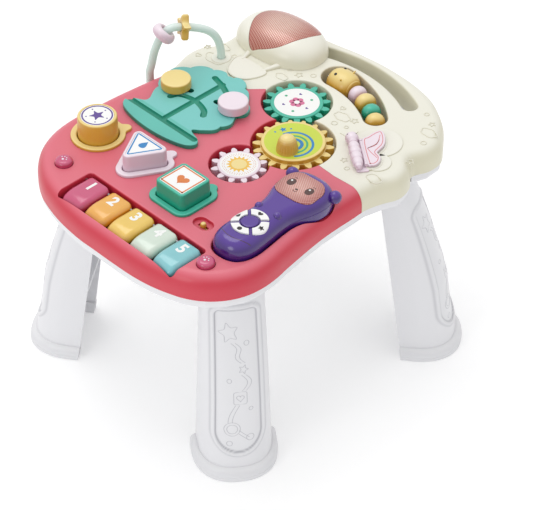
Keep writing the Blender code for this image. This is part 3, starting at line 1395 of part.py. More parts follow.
def build_covers():
    """Both covers are one shell with wells, parted along the line between the colours."""
    round_width = edge_round(TABLE)
    outer_rings = [at_height(TABLE, RIM)]
    for angle in np.radians((0.0, 34.0, 63.0, 90.0)):
        inset = round_width * (1 - math.cos(angle))
        z = PANEL_TOP - EDGE_ROUND_HEIGHT * (1 - math.sin(angle))
        outer_rings.append(at_height(offset(TABLE, -inset), z))
    cover = from_rings("cover", outer_rings)
    round_width = edge_round(TABLE_INSIDE)
    inner_rings = [at_height(offset(TABLE_INSIDE, -WALL), RIM - OVERRUN)]
    for angle in np.radians((0.0, 50.0, 72.0, 90.0)):
        inset = WALL + round_width * (1 - math.cos(angle))
        z = PLATE_UNDER - (EDGE_ROUND_HEIGHT - WALL) * (1 - math.sin(angle))
        inner_rings.append(at_height(offset(TABLE_INSIDE, -inset), z))
    cavity = from_rings("cavity", inner_rings)
    wells = cover_wells()
    pillars = []
    for share in screw_shares:
        spot = np.array(share) * (HALF_WIDTH, HALF_DEPTH)
        pillars.append(prism("pillar", circle(PILLAR_RADIUS, spot, 6), RIM - OVERRUN * 2, PANEL_TOP))
    cut(cavity, joined("pillars", pillars))
    for name in ("keys", "crank", "flower", "sun", "cradle", "beads", "switch"):
        outline, floor = wells[name]
        cut(cavity, well_block("stock", outline, floor))
    cut(cavity, prism("column", offset(slot_outline(), WALL), RIM - OVERRUN * 2, PANEL_TOP),
        prism("socket", circle(HOOP_RADIUS + HOOP_SOCKET_WALL, place("hoop_inner"), 16),
              PANEL_TOP - HOOP_SOCKET_DEPTH - WALL, PANEL_TOP))
    cut(cover, cavity)
    for name in ("keys", "cradle", "beads"):
        cut(cover, well_cutter("well", *wells[name]))
    gears = well_cutter("gears", *wells["crank"])
    fuse(gears, well_cutter("gears", *wells["flower"]), well_cutter("gears", *wells["sun"]))
    cut(cover, gears, well_cutter("well", *wells["switch"], LIP / 2), through_holes())
    cut(cover, stack("slot", slot_outline(), (
        (0.0, RIM - OVERRUN), (0.0, PANEL_TOP - LIP * 1.5), (LIP * 3, PANEL_TOP + LIP * 1.5))))
    posts = [turned_solid("post", ((GEAR_POST_RADIUS, GEAR_FLOOR - WALL / 2),
                                   (GEAR_POST_RADIUS, GEAR_FLOOR + GEAR_POST_HEIGHT)), 20, centre)
             for centre in (CRANK_CENTRE, FLOWER_CENTRE, SUN_CENTRE)]
    fuse(cover, joined("posts", posts))
    axis_y, axis_z = key_axis()
    reach = KEY_COUNT * KEY_PITCH / 2 + KEY_WELL_SIDE + KEY_ROD_OVERLAP + GAP
    middle = place("keys")[0]
    cut(cover, tube("rod_holes", ((middle - reach, axis_y, axis_z), (middle + reach, axis_y, axis_z)),
                    KEY_ROD_RADIUS + GAP), inchworm_wire(INCHWORM_WIRE_RADIUS + GAP))
    rear = copy_of(cover, "rear")
    keep(cover, parting_prism("front_half", -1))
    keep(rear, parting_prism("rear_half", 1))
    basket = on_shares(basket_shares, DOME_HALF_WIDTH * 0.36, DOME_HALF_DEPTH * 0.48, place("basket"))
    fuse(rear, stack("basket", basket, ((0.0, PANEL_TOP - WALL / 2), (0.0, PANEL_TOP + BASKET_RISE / 2),
                                        (-BASKET_RISE / 2, PANEL_TOP + BASKET_RISE))))
    finished(cover, "red_cover", gloss(CORAL))
    finished(rear, "cream_cover", gloss(CREAM))


# Legs

def leg_centre(name):
    front = name.startswith("front")
    centre = place("leg_front" if front else "leg_rear")
    if name.endswith("left"):
        centre = centre * (-1.0, 1.0)
    return centre


def leg_angle(name):
    angle = LEG_FRONT_ANGLE if name.startswith("front") else LEG_REAR_ANGLE
    return math.pi - angle if name.endswith("left") else angle


def leg_side(name):
    """Which way the leg's top leans along its own width: towards the table's middle."""
    return 1.0 if name in ("front_right", "rear_left") else -1.0


LEG_TOP = SHELL_BOTTOM - GAP
leg_names = ("front_right", "rear_right", "rear_left", "front_left")
shoulder_start_share = 0.40


def leg_half_width(z):
    share = z / LEG_TOP
    return LEG_FOOT_HALF_WIDTH + (LEG_TOP_HALF_WIDTH - LEG_FOOT_HALF_WIDTH) * share


def leg_lean(z, side):
    share = z / LEG_TOP
    return np.array((-LEG_LEAN_OUT * share, side * LEG_LEAN_SIDE * share))


def leg_face(across, z, side, inset=0.0):
    """How far out the leg's bowed face lies, as a superellipse of the place across it."""
    half = leg_half_width(z) - inset
    share = max(0.0, z / LEG_TOP - shoulder_start_share) / (1 - shoulder_start_share)
    depth = LEG_SIDE_DEPTH - LEG_SHOULDER * share ** 2
    side_depth = depth * leg_flat_share
    reach = depth - side_depth + LEG_BULGE * (1 - share) - inset
    left = np.clip(1 - np.abs(np.array(across) / half) ** leg_power, 0.0, 1.0)
    return LEG_INNER + side_depth + reach * left ** (1 / leg_power) + leg_lean(z, side)[0]


def leg_section(z, side, inset=0.0, straight=0.0):
    """The leg's outer line at a height: straight sides and a bowed outer face."""
    half = leg_half_width(z) - inset
    t = np.linspace(-math.pi / 2, math.pi / 2, 9)
    across = np.sign(t) * np.abs(np.sin(t)) ** (2 / leg_power) * half
    face = np.stack((leg_face(across, z, side, inset), across + leg_lean(z, side)[1]), axis=1)
    inner = LEG_INNER - straight
    ends = np.array(((inner, half), (inner, -half))) + leg_lean(z, side)
    return np.vstack((face, ends))


leg_power = 2.4
leg_flat_share = 0.20
window_taper_share = 0.14


def leg_mesh(side):
    """A leg in its own frame, +X outwards: a channel with a top plate, plug and cross rib."""
    low = SHOE_FLOOR + GAP
    levels = (low, LEG_TOP * shoulder_start_share, LEG_TOP * 0.7, LEG_TOP)
    leg = from_rings("leg", [at_height(leg_section(z, side), z) for z in levels])
    hollow_levels = (low - OVERRUN, levels[1], levels[2], LEG_TOP - LEG_TOP_PLATE)
    hollow = from_rings("hollow", [at_height(leg_section(z, side, LEG_WALL, LEG_WALL * 2), z)
                                   for z in hollow_levels])
    rib_at = leg_lean(RIB_HEIGHT, side)
    cut(hollow, prism("rib", rectangle(LEG_SIDE_DEPTH, LEG_FOOT_HALF_WIDTH * 2, GAP,
                                       rib_at + (LEG_INNER + LEG_SIDE_DEPTH + LEG_WALL * 3, 0.0)),
                      RIB_HEIGHT, RIB_HEIGHT + RIB_THICKNESS))
    cut(leg, hollow)
    cut(leg, window_cutter(side))
    plug_at = plug_centre(side)
    plug = prism("plug", rectangle(PLUG_DEPTH / 2, PLUG_HALF_WIDTH, PLUG_WALL, plug_at),
                 LEG_TOP - LEG_TOP_PLATE / 2, LEG_TOP + PLUG_HEIGHT)
    fuse(leg, plug)
    return leg


def plug_centre(side):
    return leg_lean(LEG_TOP, side) + (LEG_INNER + (LEG_SIDE_DEPTH - LEG_SHOULDER) / 2, 0.0)


def window_cutter(side):
    """The shallow sunk panel of the outer face, with a round lower end."""
    rings = []
    for share in (0.0, 0.04, 0.14, 0.40, 0.70, 1.0):
        z = WINDOW_BOTTOM + (WINDOW_TOP - WINDOW_BOTTOM) * share
        rise = min(1.0, (z - WINDOW_BOTTOM) / WINDOW_HALF_WIDTH)
        half = (WINDOW_HALF_WIDTH * (0.3 + 0.7 * math.sqrt(1 - (1 - rise) ** 2))
                * (1 - window_taper_share * share))
        across = np.linspace(-half, half, 5)
        face = leg_face(across, z, side) - WINDOW_DEPTH
        back = np.column_stack((face, across + leg_lean(z, side)[1]))
        front = back[::-1] + (LEG_BULGE * 2, 0.0)
        rings.append(at_height(np.vstack((back, front)), z))
    return from_rings("window", rings)


def shoe_mesh(side):
    """The wide cuff at a leg's foot, in the leg's frame: a sole round the channel's walls."""
    top = SHOE_HEIGHT
    shoe = from_rings("shoe", [at_height(offset(leg_section(z, side), out), z) for z, out in (
        (0.0, SHOE_STEP), (top - SHOE_STEP * 0.6, SHOE_STEP), (top, SHOE_STEP * 0.5))])
    pocket = from_rings("pocket", [
        at_height(offset(leg_section(z, side), GAP), z) for z in (SHOE_FLOOR, top + OVERRUN)])
    channel = from_rings("channel", [
        at_height(leg_section(z, side, LEG_WALL + WALL, SHOE_STEP * 2), z)
        for z in (-OVERRUN, top + OVERRUN)])
    return cut(shoe, pocket, channel)


def build_legs():
    """Four legs and shoes from two meshes of each, one the mirror image of the other."""
    for kind, make, finish in (("leg_", leg_mesh, gloss(PALE_GREY)),
                               ("shoe_", shoe_mesh, satin(PALE_GREY))):
        meshes = {side: make(side) for side in (1.0, -1.0)}
        for name in leg_names:
            piece = finished(copy_of(meshes[leg_side(name)]), kind + name, finish)
            piece.rotation_euler[2] = leg_angle(name)
            piece.location = (*leg_centre(name), 0.0)
        for source in meshes.values():
            bpy.data.objects.remove(source)


# Lower shell and what it holds

def leg_place(points, name):
    return turned(points, leg_angle(name), leg_centre(name))


def battery_bay():
    """Half sizes of the bay that holds the batteries side by side."""
    half_x = BATTERY_COUNT * (BATTERY_RADIUS + BATTERY_GAP) + BATTERY_GAP
    half_y = BATTERY_LENGTH / 2 + BATTERY_GAP * 4
    top = DOOR_TOP + GAP + 2 * BATTERY_RADIUS + BATTERY_GAP
    return half_x, half_y, top


def build_lower_shell():
    seam = RIM - GAP
    rings = [at_height(offset(TABLE, -out), z) for out, z in (
        (SEAM_STEP, seam), (SEAM_STEP, SHELL_BOTTOM + SHELL_ROUND),
        (SEAM_STEP + SHELL_ROUND * 0.3, SHELL_BOTTOM + SHELL_ROUND * 0.3),
        (SEAM_STEP + SHELL_ROUND, SHELL_BOTTOM))]
    shell = from_rings("shell", rings)
    inside = [at_height(offset(TABLE_INSIDE, -out), z) for out, z in (
        (SEAM_STEP + WALL, seam + OVERRUN), (SEAM_STEP + WALL, SHELL_BOTTOM + SHELL_ROUND),
        (SEAM_STEP + WALL + SHELL_ROUND, SHELL_FLOOR))]
    cavity = from_rings("cavity", inside)
    low = SHELL_BOTTOM + WALL / 2
    stands = [prism("stand", circle(PILLAR_RADIUS, np.array(share) * (HALF_WIDTH, HALF_DEPTH), 6),
                    low, seam + OVERRUN * 2) for share in screw_shares]
    cut(cavity, joined("stands", stands),
        prism("column", offset(slot_outline(), WALL), low, seam + OVERRUN * 2))
    cut(shell, cavity)
    half_x, half_y, bay_top = battery_bay()
    lump = []
    for name in ("left_button", "right_button"):
        lump.append(turned_solid("post", (
            (POST_RADIUS, low), (POST_RADIUS, post_top()), (POST_PIN_RADIUS, post_top()),
            (POST_PIN_RADIUS, post_top() + POST_PIN_HEIGHT)), SMALL_SIDES, place(name)))
    fuse(shell, joined("lumps", lump))
    ring = turned_solid("ring", (
        (SPEAKER_RADIUS + GAP, low), (SPEAKER_RADIUS + GAP, SHELL_FLOOR + SPEAKER_RING_HEIGHT),
        (SPEAKER_RADIUS + SPEAKER_RING, SHELL_FLOOR + SPEAKER_RING_HEIGHT),
        (SPEAKER_RADIUS + SPEAKER_RING, low)), CIRCLE_SIDES, place("speaker"), True)
    fuse(shell, ring)
    door = DOOR_MARGIN + BAY_WALL
    blocks = [prism("bay", rectangle(half_x + door, half_y + door, WALL, place("batteries")),
                    SHELL_BOTTOM, bay_top + BAY_WALL)]
    for name in leg_names:
        side = leg_side(name)
        shape = rectangle(PLUG_DEPTH / 2 + GAP + PLUG_WALL, PLUG_HALF_WIDTH + GAP + PLUG_WALL,
                          PLUG_WALL, plug_centre(side))
        blocks.append(prism("socket", leg_place(shape, name), SHELL_BOTTOM,
                            LEG_TOP + PLUG_HEIGHT + GAP + PLUG_WALL))
    ear = place("hoop_outer")
    blocks.append(prism("ear", circle(HOOP_RADIUS + HOOP_SOCKET_WALL, ear, 18),
                        SHELL_BOTTOM + SHELL_ROUND * 0.5, seam - GAP))
    for block in blocks:
        fuse(shell, block)
    cut(shell, lower_cutters(half_x, half_y, bay_top))
    finished(shell, "lower_shell", gloss(PALE_GREY))


def lower_cutters(half_x, half_y, bay_top):
    under = SHELL_BOTTOM - OVERRUN
    batteries = place("batteries")
    pocket = prism("pocket", rectangle(half_x, half_y, WALL / 2, batteries), DOOR_TOP - OVERRUN, bay_top)
    rebate = prism("rebate", rectangle(half_x + DOOR_MARGIN, half_y + DOOR_MARGIN, WALL, batteries),
                   under, DOOR_TOP + GAP)
    tools = [fuse(pocket, rebate)]
    for name in leg_names:
        shape = rectangle(PLUG_DEPTH / 2 + GAP, PLUG_HALF_WIDTH + GAP, PLUG_WALL,
                          plug_centre(leg_side(name)))
        tools.append(prism("pocket", leg_place(shape, name), under, LEG_TOP + PLUG_HEIGHT + GAP))
    tools.append(prism("hoop", circle(HOOP_RADIUS + GAP, place("hoop_outer"), 10),
                       PANEL_TOP - HOOP_FOOT_DEPTH - HOOP_SOCKET_DEPTH / 2 - GAP, PANEL_TOP))
    tools.append(prism("slot", slot_outline(), under, RIM + OVERRUN))
    for share in screw_shares:
        spot = np.array(share) * (HALF_WIDTH, HALF_DEPTH)
        tools.append(turned_solid("screw", (
            (SCREW_HEAD_RADIUS + SCREW_GAP, under),
            (SCREW_HEAD_RADIUS + SCREW_GAP, SHELL_BOTTOM + SCREW_HEAD_HEIGHT + GAP),
            (SCREW_RADIUS + SCREW_GAP, SHELL_BOTTOM + SCREW_HEAD_HEIGHT + GAP),
            (SCREW_RADIUS + SCREW_GAP, RIM + OVERRUN)), 6, spot))
    for ring, count in ((0, 1), (1, 6)):
        for k in range(count):
            angle = 2 * math.pi * k / count
            spot = place("speaker") + ring * GRILLE_PITCH * np.array((math.cos(angle), math.sin(angle)))
            tools.append(prism("grille", circle(GRILLE_HOLE, spot, 6), under, SHELL_FLOOR + OVERRUN / 2))
    return joined("cutters", tools)


def build_inside():
    """The battery door under the shell and the speaker over its grille."""
    half_x, half_y, _ = battery_bay()
    door = rectangle(half_x + DOOR_MARGIN - GAP, half_y + DOOR_MARGIN - GAP, WALL, place("batteries"))
    finished(prism("door", door, SHELL_BOTTOM, DOOR_TOP), "battery_door", gloss(PALE_GREY))
    low = SHELL_FLOOR + GAP
    speaker = turned_solid("speaker", (
        (SPEAKER_RADIUS, low), (SPEAKER_RADIUS, low + SPEAKER_RING_HEIGHT),
        (SPEAKER_NECK_RADIUS, low + SPEAKER_DEPTH * 0.6), (SPEAKER_NECK_RADIUS, low + SPEAKER_DEPTH)),
        CIRCLE_SIDES, place("speaker"))
    finished(speaker, "speaker", satin(BLACK))


# Handset

def handset_rings(levels):
    """The handset's outline at several levels, its edge less rounded round the two ears."""
    outline = handset_outline()
    rings = []
    for out, z in levels:
        share = np.ones(len(outline))
        for ear in (handset_spot(EAR_OUT, EAR_ALONG), handset_spot(-EAR_OUT, EAR_ALONG)):
            reach = np.linalg.norm(outline - ear, axis=1) / EAR_REACH
            share -= (1 - ear_round_share) * np.exp(-reach ** 4)
        share = np.clip(share, ear_round_share, 1.0) if out < -HANDSET_WALL else 1.0
        rings.append(at_height(offset(outline, out * share), z))
    return rings


HANDSET_LOW = CRADLE_FLOOR + GAP
HANDSET_TOP = HANDSET_LOW + HANDSET_HEIGHT
HANDSET_SEAM = HANDSET_LOW + HANDSET_BACK_HEIGHT


def handset_spot(x, y):
    return turned(np.array(((x, y),)), HANDSET_TILT, place("handset"))[0]


def face_outline():
    return turned(rectangle(FACE_HALF_WIDTH, FACE_HALF_HEIGHT, FACE_CORNER, (0.0, FACE_PLACE), 5),
                  HANDSET_TILT, place("handset"))


def pad_key_outline(index):
    """A quarter of the key ring, with a spoke's width taken off each end."""
    middle = math.pi / 2 * index
    half_inner = math.pi / 4 - PAD_SPOKE / 2 / PAD_RING_INNER
    half_outer = math.pi / 4 - PAD_SPOKE / 2 / PAD_RING_OUTER
    outer = arc((0.0, 0.0), PAD_RING_OUTER, middle - half_outer, middle + half_outer, 5)
    inner = arc((0.0, 0.0), PAD_RING_INNER, middle + half_inner, middle - half_inner, 3)
    return turned(np.vstack((outer, inner)) + (0.0, PAD_PLACE), HANDSET_TILT, place("handset"))


def handset_surface_cut(name, levels_out, rise):
    """The handset's upper surface, raised by a rise, as a solid to keep key tops flush."""
    return from_rings(name, handset_rings(((levels_out, HANDSET_SEAM - HANDSET_KEY_DEPTH),
                                           *handset_top_levels(rise))))


def handset_top_levels(rise=0.0):
    top = HANDSET_TOP + rise
    span = HANDSET_TOP - HANDSET_SEAM
    levels = [(0.0, HANDSET_SEAM + GAP)]
    for angle in np.radians((16.0, 46.0, 72.0)):
        levels.append((-HANDSET_ROUND * (1 - math.cos(angle)) + rise * 0.4,
                       top - span * (1 - math.sin(angle))))
    levels.append((-HANDSET_ROUND * 0.98, top))
    return levels


def build_handset():
    back_levels = ((-HANDSET_BACK_ROUND, HANDSET_LOW), (-HANDSET_BACK_ROUND * 0.3,
                   HANDSET_LOW + HANDSET_BACK_ROUND * 0.3), (0.0, HANDSET_LOW + HANDSET_BACK_ROUND),
                   (0.0, HANDSET_SEAM))
    back = from_rings("back", handset_rings(back_levels))
    cut(back, from_rings("inside", handset_rings((
        (-HANDSET_WALL - HANDSET_BACK_ROUND, HANDSET_LOW + HANDSET_WALL),
        (-HANDSET_WALL, HANDSET_LOW + HANDSET_BACK_ROUND + HANDSET_WALL),
        (-HANDSET_WALL, HANDSET_SEAM + OVERRUN)))))
    origin = (*place("handset"), HANDSET_LOW)
    finished(back, "handset_back", gloss(PURPLE), origin)
    levels = handset_top_levels()
    front = from_rings("front", handset_rings(levels))
    inner = [(out - HANDSET_WALL, z - HANDSET_WALL) for out, z in (levels[0], *levels[2:])]
    cut(front, from_rings("inside", handset_rings(inner)))
    face = face_outline()
    cut(front, prism("face_hole", face, HANDSET_TOP - HANDSET_WALL * 3, HANDSET_TOP + OVERRUN))
    holes = [prism("hole", offset(pad_key_outline(k), HANDSET_KEY_GAP), HANDSET_SEAM,
                   HANDSET_TOP + OVERRUN) for k in range(4)]
    centre = handset_spot(0.0, PAD_PLACE)
    holes.append(prism("hole", circle(PAD_BUTTON_RADIUS + HANDSET_KEY_GAP, centre, 20), HANDSET_SEAM,
                       HANDSET_TOP + OVERRUN))
    cut(front, joined("holes", holes))
    finished(front, "handset_front", gloss(PURPLE), origin)
    lens = prism("face", offset(face, -GAP), HANDSET_TOP - FACE_DEPTH, HANDSET_TOP + OVERRUN)
    keep(lens, handset_surface_cut("limit", 0.0, FACE_PROUD))
    finished(lens, "handset_face", gloss(ROSE), origin)
    build_handset_keys(centre, origin)


def build_handset_keys(centre, origin):
    flange_top = HANDSET_TOP - HANDSET_WALL - GAP
    names = ("right", "up", "left", "down")
    for k, name in enumerate(names):
        key = prism("key", pad_key_outline(k), HANDSET_TOP - HANDSET_KEY_DEPTH, HANDSET_TOP + OVERRUN)
        keep(key, handset_surface_cut("limit", 0.0, HANDSET_KEY_RISE))
        finished(key, "handset_key_" + name, gloss(WHITE), (*centre, flange_top))
    button = turned_solid("button", (
        (PAD_BUTTON_RADIUS, HANDSET_TOP - HANDSET_KEY_DEPTH),
        (PAD_BUTTON_RADIUS, HANDSET_TOP + HANDSET_KEY_RISE * 0.5),
        (PAD_BUTTON_RADIUS * 0.8, HANDSET_TOP + HANDSET_KEY_RISE * 1.1)), 20, centre)
    finished(button, "handset_key_centre", gloss(PURPLE), (*centre, flange_top))


def clear_scene():
    for thing in list(bpy.data.objects):
        bpy.data.objects.remove(thing)


def main():
    clear_scene()
    build_covers()
    build_lower_shell()
    build_inside()
    build_legs()
    build_dome()
    build_tree()
    build_seats_and_blocks()
    build_gears()
    build_keys()
    build_buttons()
    build_switch()
    build_hoop()
    build_inchworm()
    build_butterfly()
    build_handset()


main()
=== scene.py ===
import math

import bmesh
import bpy
import numpy as np
from mathutils import Matrix, Vector


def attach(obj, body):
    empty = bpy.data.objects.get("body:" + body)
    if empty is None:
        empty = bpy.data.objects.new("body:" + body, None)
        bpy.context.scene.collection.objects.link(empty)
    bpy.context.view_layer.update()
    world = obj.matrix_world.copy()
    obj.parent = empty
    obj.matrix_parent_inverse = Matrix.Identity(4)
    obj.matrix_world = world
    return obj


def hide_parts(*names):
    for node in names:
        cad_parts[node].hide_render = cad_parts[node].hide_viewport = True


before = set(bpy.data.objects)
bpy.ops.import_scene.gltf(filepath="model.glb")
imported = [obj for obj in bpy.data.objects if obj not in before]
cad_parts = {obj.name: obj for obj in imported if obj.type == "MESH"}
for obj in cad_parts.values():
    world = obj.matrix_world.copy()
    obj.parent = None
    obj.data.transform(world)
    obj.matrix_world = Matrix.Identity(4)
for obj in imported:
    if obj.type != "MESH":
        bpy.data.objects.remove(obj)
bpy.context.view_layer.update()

# The activity table's look: the same outlines as its solids, with finer curves, rounded
# edges, printed caps and discs, raised lines and moulded plastic. Metres, +Z up.

CIRCLE_SIDES = 72

HALF_WIDTH = 0.163
HALF_DEPTH = 0.211
PANEL_TOP = 0.270
COVER_HEIGHT = 0.028
SHELL_HEIGHT = 0.012
WALL = 0.0025
GAP = 0.0003
RUNNING_GAP = 0.0006
OVERRUN = 0.002
LIP = 0.0016
EDGE_ROUND_FRONT = 0.015
EDGE_ROUND_REAR = 0.012
EDGE_ROUND_HEIGHT = 0.019
KEY_WELL_DEPTH = 0.020
GEAR_WELL_DEPTH = 0.0125
CRADLE_DEPTH = 0.009
BEAD_WELL_DEPTH = 0.0265
SWITCH_WELL_DEPTH = 0.004
WELL_MARGIN = 0.0035
KEY_WELL_SIDE = 0.0015
KEY_FRONT_GAP = 0.0007
KEY_COUNT = 5
KEY_PITCH = 0.0348
KEY_SPACE = 0.0012
KEY_LENGTH = 0.0442
KEY_HEIGHT = 0.0112
KEY_PROUD = -0.0004
KEY_CROWN = 0.003
KEY_FRONT_ROUND = 0.012
SEAT_RING = 0.0075
SEAT_HEIGHT = 0.0030
SEAT_DEPTH = 0.0050
SEAT_FLOOR = 0.0016
BLOCK_GAP = 0.0005
EAR_RADIUS = 0.0060
EAR_X = 0.013
EAR_Y = 0.0285
CIRCLE_BLOCK_RADIUS = 0.0220
CIRCLE_BLOCK_HEIGHT = 0.0270
TRIANGLE_CORNER = 0.0070
TRIANGLE_REACH = 0.0195
TRIANGLE_BLOCK_HEIGHT = 0.0220
SQUARE_BLOCK_HALF = 0.0215
SQUARE_CORNER = 0.0060
SQUARE_BLOCK_HEIGHT = 0.0220
BLOCK_EDGE = 0.0020
CAP_RIM = 0.0038
CAP_DEPTH = 0.0008
BLOCK_DRAFT = 0.0008
TREE_HALF_WIDTH = 0.056
TREE_HALF_DEPTH = 0.066
TREE_THICKNESS = 0.0050
TREE_EDGE = 0.0012
TREE_SEAT = 0.0046
GROOVE_WIDTH = 0.0068
GROOVE_DEPTH = 0.0026
KNOB_RADIUS = 0.0166
KNOB_THICKNESS = 0.0110
KNOB_LIFT = 0.0012
KNOB_EDGE = 0.0022
STEM_RADIUS = 0.0031
GEAR_MODULE = 0.00445
CRANK_TEETH = 18
FLOWER_TEETH = 15
SUN_TEETH = 12
GEAR_THICKNESS = 0.0085
GEAR_FLOOR_GAP = 0.0015
GEAR_ROUND = 0.0012
GEAR_DISC_SHARE = 0.86
CRANK_DISC_RISE = 0.0050
SMALL_DISC_RISE = 0.0010
FLOWER_GEAR_ANGLE = math.radians(132.5)
SUN_GEAR_ANGLE = math.radians(-102.7)
PRESSURE_ANGLE = math.radians(25.0)
TIP_CLEARANCE = 0.0012
CRANK_KNOB_RADIUS = 0.0118
CRANK_KNOB_HEIGHT = 0.0200
CRANK_KNOB_OFFSET = 0.0170
CRANK_KNOB_ANGLE = math.radians(-66.7)
BUTTON_RADIUS = 0.0094
BUTTON_RISE = 0.0060
BUTTON_FLANGE = 0.0011
BUTTON_HEADROOM = 0.0009
BUTTON_FLANGE_THICKNESS = 0.0018
SWITCH_HALF_LENGTH = 0.0120
SWITCH_HALF_WIDTH = 0.0080
SWITCH_SLOT_LENGTH = 0.0130
SWITCH_SLOT_WIDTH = 0.0046
SWITCH_KNOB_RADIUS = 0.0032
SWITCH_KNOB_RISE = 0.0052
SWITCH_PLATE_LENGTH = 0.0220
SWITCH_PLATE_WIDTH = 0.0090
SWITCH_PLATE_THICKNESS = 0.0016
HOOP_RADIUS = 0.0045
HOOP_HEIGHT = 0.0520
HOOP_FOOT_DEPTH = 0.0280
HOOP_SOCKET_DEPTH = 0.0090
HOOP_SOCKET_WALL = 0.0040
RING_BEAD_RADIUS = 0.0135
RING_BEAD_THICKNESS = 0.0115
STAR_BEAD_RADIUS = 0.0150
STAR_BEAD_INNER_SHARE = 0.56
STAR_BEAD_THICKNESS = 0.0080
BEAD_BORE_GAP = 0.0007
INCHWORM_WIRE_RADIUS = 0.0016
INCHWORM_SAG = 0.0055
INCHWORM_AXIS_DROP = 0.0070
INCHWORM_HEAD_RADIUS = 0.0168
INCHWORM_BORE_GAP = 0.0005
INCHWORM_SPACE = 0.0010
BEAD_HALF_LENGTHS = (0.0076, 0.0086, 0.0080, 0.0084)
BEAD_RADII = (0.0110, 0.0122, 0.0108, 0.0112)
BEAD_WELL_HEAD = 0.0190
BEAD_WELL_TAIL = 0.0135
BEAD_WELL_END = 0.0190
BUTTERFLY_LENGTH = 0.050
BUTTERFLY_BODY_RADIUS = 0.0056
BUTTERFLY_ANGLE = math.radians(-36.9)
BUTTERFLY_BASE = 0.0014
WING_SPAN = 0.034
WING_THICKNESS = 0.0020
WING_AXIS_OUT = 0.0085
WING_AXIS_RISE = 0.0040
WING_BARREL_RADIUS = 0.0018
WING_EAR = 0.0030
WING_EAR_RADIUS = 0.0026
DOME_HALF_WIDTH = 0.056
DOME_HALF_DEPTH = 0.038
DOME_RISE = 0.030
DOME_POWER = 2.3
DOME_TURN = math.radians(6.0)
DOME_WALL = 0.0025
LENS_GAP = 0.0004
BASKET_RISE = 0.0020
HANDSET_HALF_LENGTH = 0.075
HANDSET_HALF_WIDTH = 0.0345
HANDSET_HEIGHT = 0.0265
HANDSET_BACK_HEIGHT = 0.0125
HANDSET_TILT = math.radians(3.5)
HANDSET_WALL = 0.0020
HANDSET_ROUND = 0.013
HANDSET_BACK_ROUND = 0.004
CRADLE_GAP = 0.0008
FACE_HALF_WIDTH = 0.0250
FACE_HALF_HEIGHT = 0.0205
FACE_CORNER = 0.0130
FACE_PLACE = 0.0420
FACE_PROUD = 0.0008
FACE_DEPTH = 0.0032
PAD_PLACE = -0.0330
PAD_RING_INNER = 0.0112
PAD_RING_OUTER = 0.0195
PAD_SPOKE = 0.0036
PAD_BUTTON_RADIUS = 0.0092
HANDSET_KEY_RISE = 0.0016
HANDSET_KEY_DEPTH = 0.0050
HANDSET_KEY_GAP = 0.0004
LEG_TOP_HALF_WIDTH = 0.0325
LEG_FOOT_HALF_WIDTH = 0.0405
LEG_SIDE_DEPTH = 0.0440
LEG_BULGE = 0.0130
LEG_WALL = 0.0032
LEG_LEAN_OUT = 0.0320
LEG_LEAN_SIDE = 0.0040
LEG_SHOULDER = 0.0160
LEG_TOP_PLATE = 0.0040
LEG_INNER = -0.0230
LEG_FRONT_ANGLE = math.radians(-36.0)
LEG_REAR_ANGLE = math.radians(36.0)
PLUG_HALF_WIDTH = 0.0200
PLUG_DEPTH = 0.0150
PLUG_HEIGHT = 0.0170
PLUG_WALL = 0.0024
SHOE_HEIGHT = 0.0150
SHOE_FLOOR = 0.0030
WINDOW_HALF_WIDTH = 0.0255
WINDOW_DEPTH = 0.0016
WINDOW_TOP = 0.1960
WINDOW_BOTTOM = 0.0330
RIB_HEIGHT = 0.0900
RIB_THICKNESS = 0.0030
SLOT_HALF_WIDTH = 0.0085
SLOT_SAG = 0.0140
ring_bead_share = 0.335
star_bead_share = 0.505
gear_tip_share = 0.80
gear_width_share = 0.90
wing_start_share = 0.10
wing_end_share = 0.84
lens_foot_share = 0.12
shoulder_start_share = 0.40
leg_power = 2.4
leg_flat_share = 0.20
window_taper_share = 0.14

outline_shares = (
    (0.000, -1.000), (0.258, -1.000), (0.442, -0.991), (0.589, -0.967), (0.718, -0.934),
    (0.822, -0.886), (0.896, -0.829), (0.957, -0.758), (0.991, -0.673), (1.000, -0.559),
    (0.975, -0.441), (0.951, -0.322), (0.923, -0.161), (0.914, -0.014), (0.914, 0.104),
    (0.914, 0.213), (0.963, 0.284), (0.982, 0.365), (0.954, 0.436), (0.896, 0.493),
    (0.877, 0.531), (0.914, 0.592), (0.929, 0.654), (0.902, 0.716), (0.859, 0.758),
    (0.804, 0.810), (0.742, 0.858), (0.656, 0.905), (0.558, 0.948), (0.442, 0.976),
    (0.313, 0.993), (0.190, 1.000), (0.049, 1.000), (-0.172, 0.983), (-0.374, 0.953),
    (-0.558, 0.929), (-0.656, 0.891), (-0.742, 0.844), (-0.816, 0.796), (-0.877, 0.744),
    (-0.926, 0.687), (-0.945, 0.630), (-0.926, 0.573), (-0.896, 0.531), (-0.933, 0.488),
    (-0.975, 0.436), (-1.000, 0.379), (-1.000, 0.322), (-0.994, 0.261), (-0.969, 0.213),
    (-0.945, 0.161), (-0.954, 0.071), (-0.966, -0.024), (-0.982, -0.142),
    (-0.994, -0.284), (-1.000, -0.450), (-0.988, -0.569), (-0.951, -0.673),
    (-0.890, -0.758), (-0.804, -0.829), (-0.693, -0.891), (-0.564, -0.938),
    (-0.350, -0.981), (-0.129, -1.000))

parting_shares = (
    (-1.080, 0.142), (-0.896, 0.147), (-0.840, 0.199), (-0.773, 0.239), (-0.675, 0.270),
    (-0.595, 0.284), (-0.491, 0.299), (-0.380, 0.313), (-0.301, 0.379), (-0.245, 0.341),
    (-0.123, 0.265), (0.025, 0.237), (0.245, 0.237), (0.405, 0.209), (0.515, 0.128),
    (0.675, 0.121), (0.914, 0.133), (1.080, 0.137))

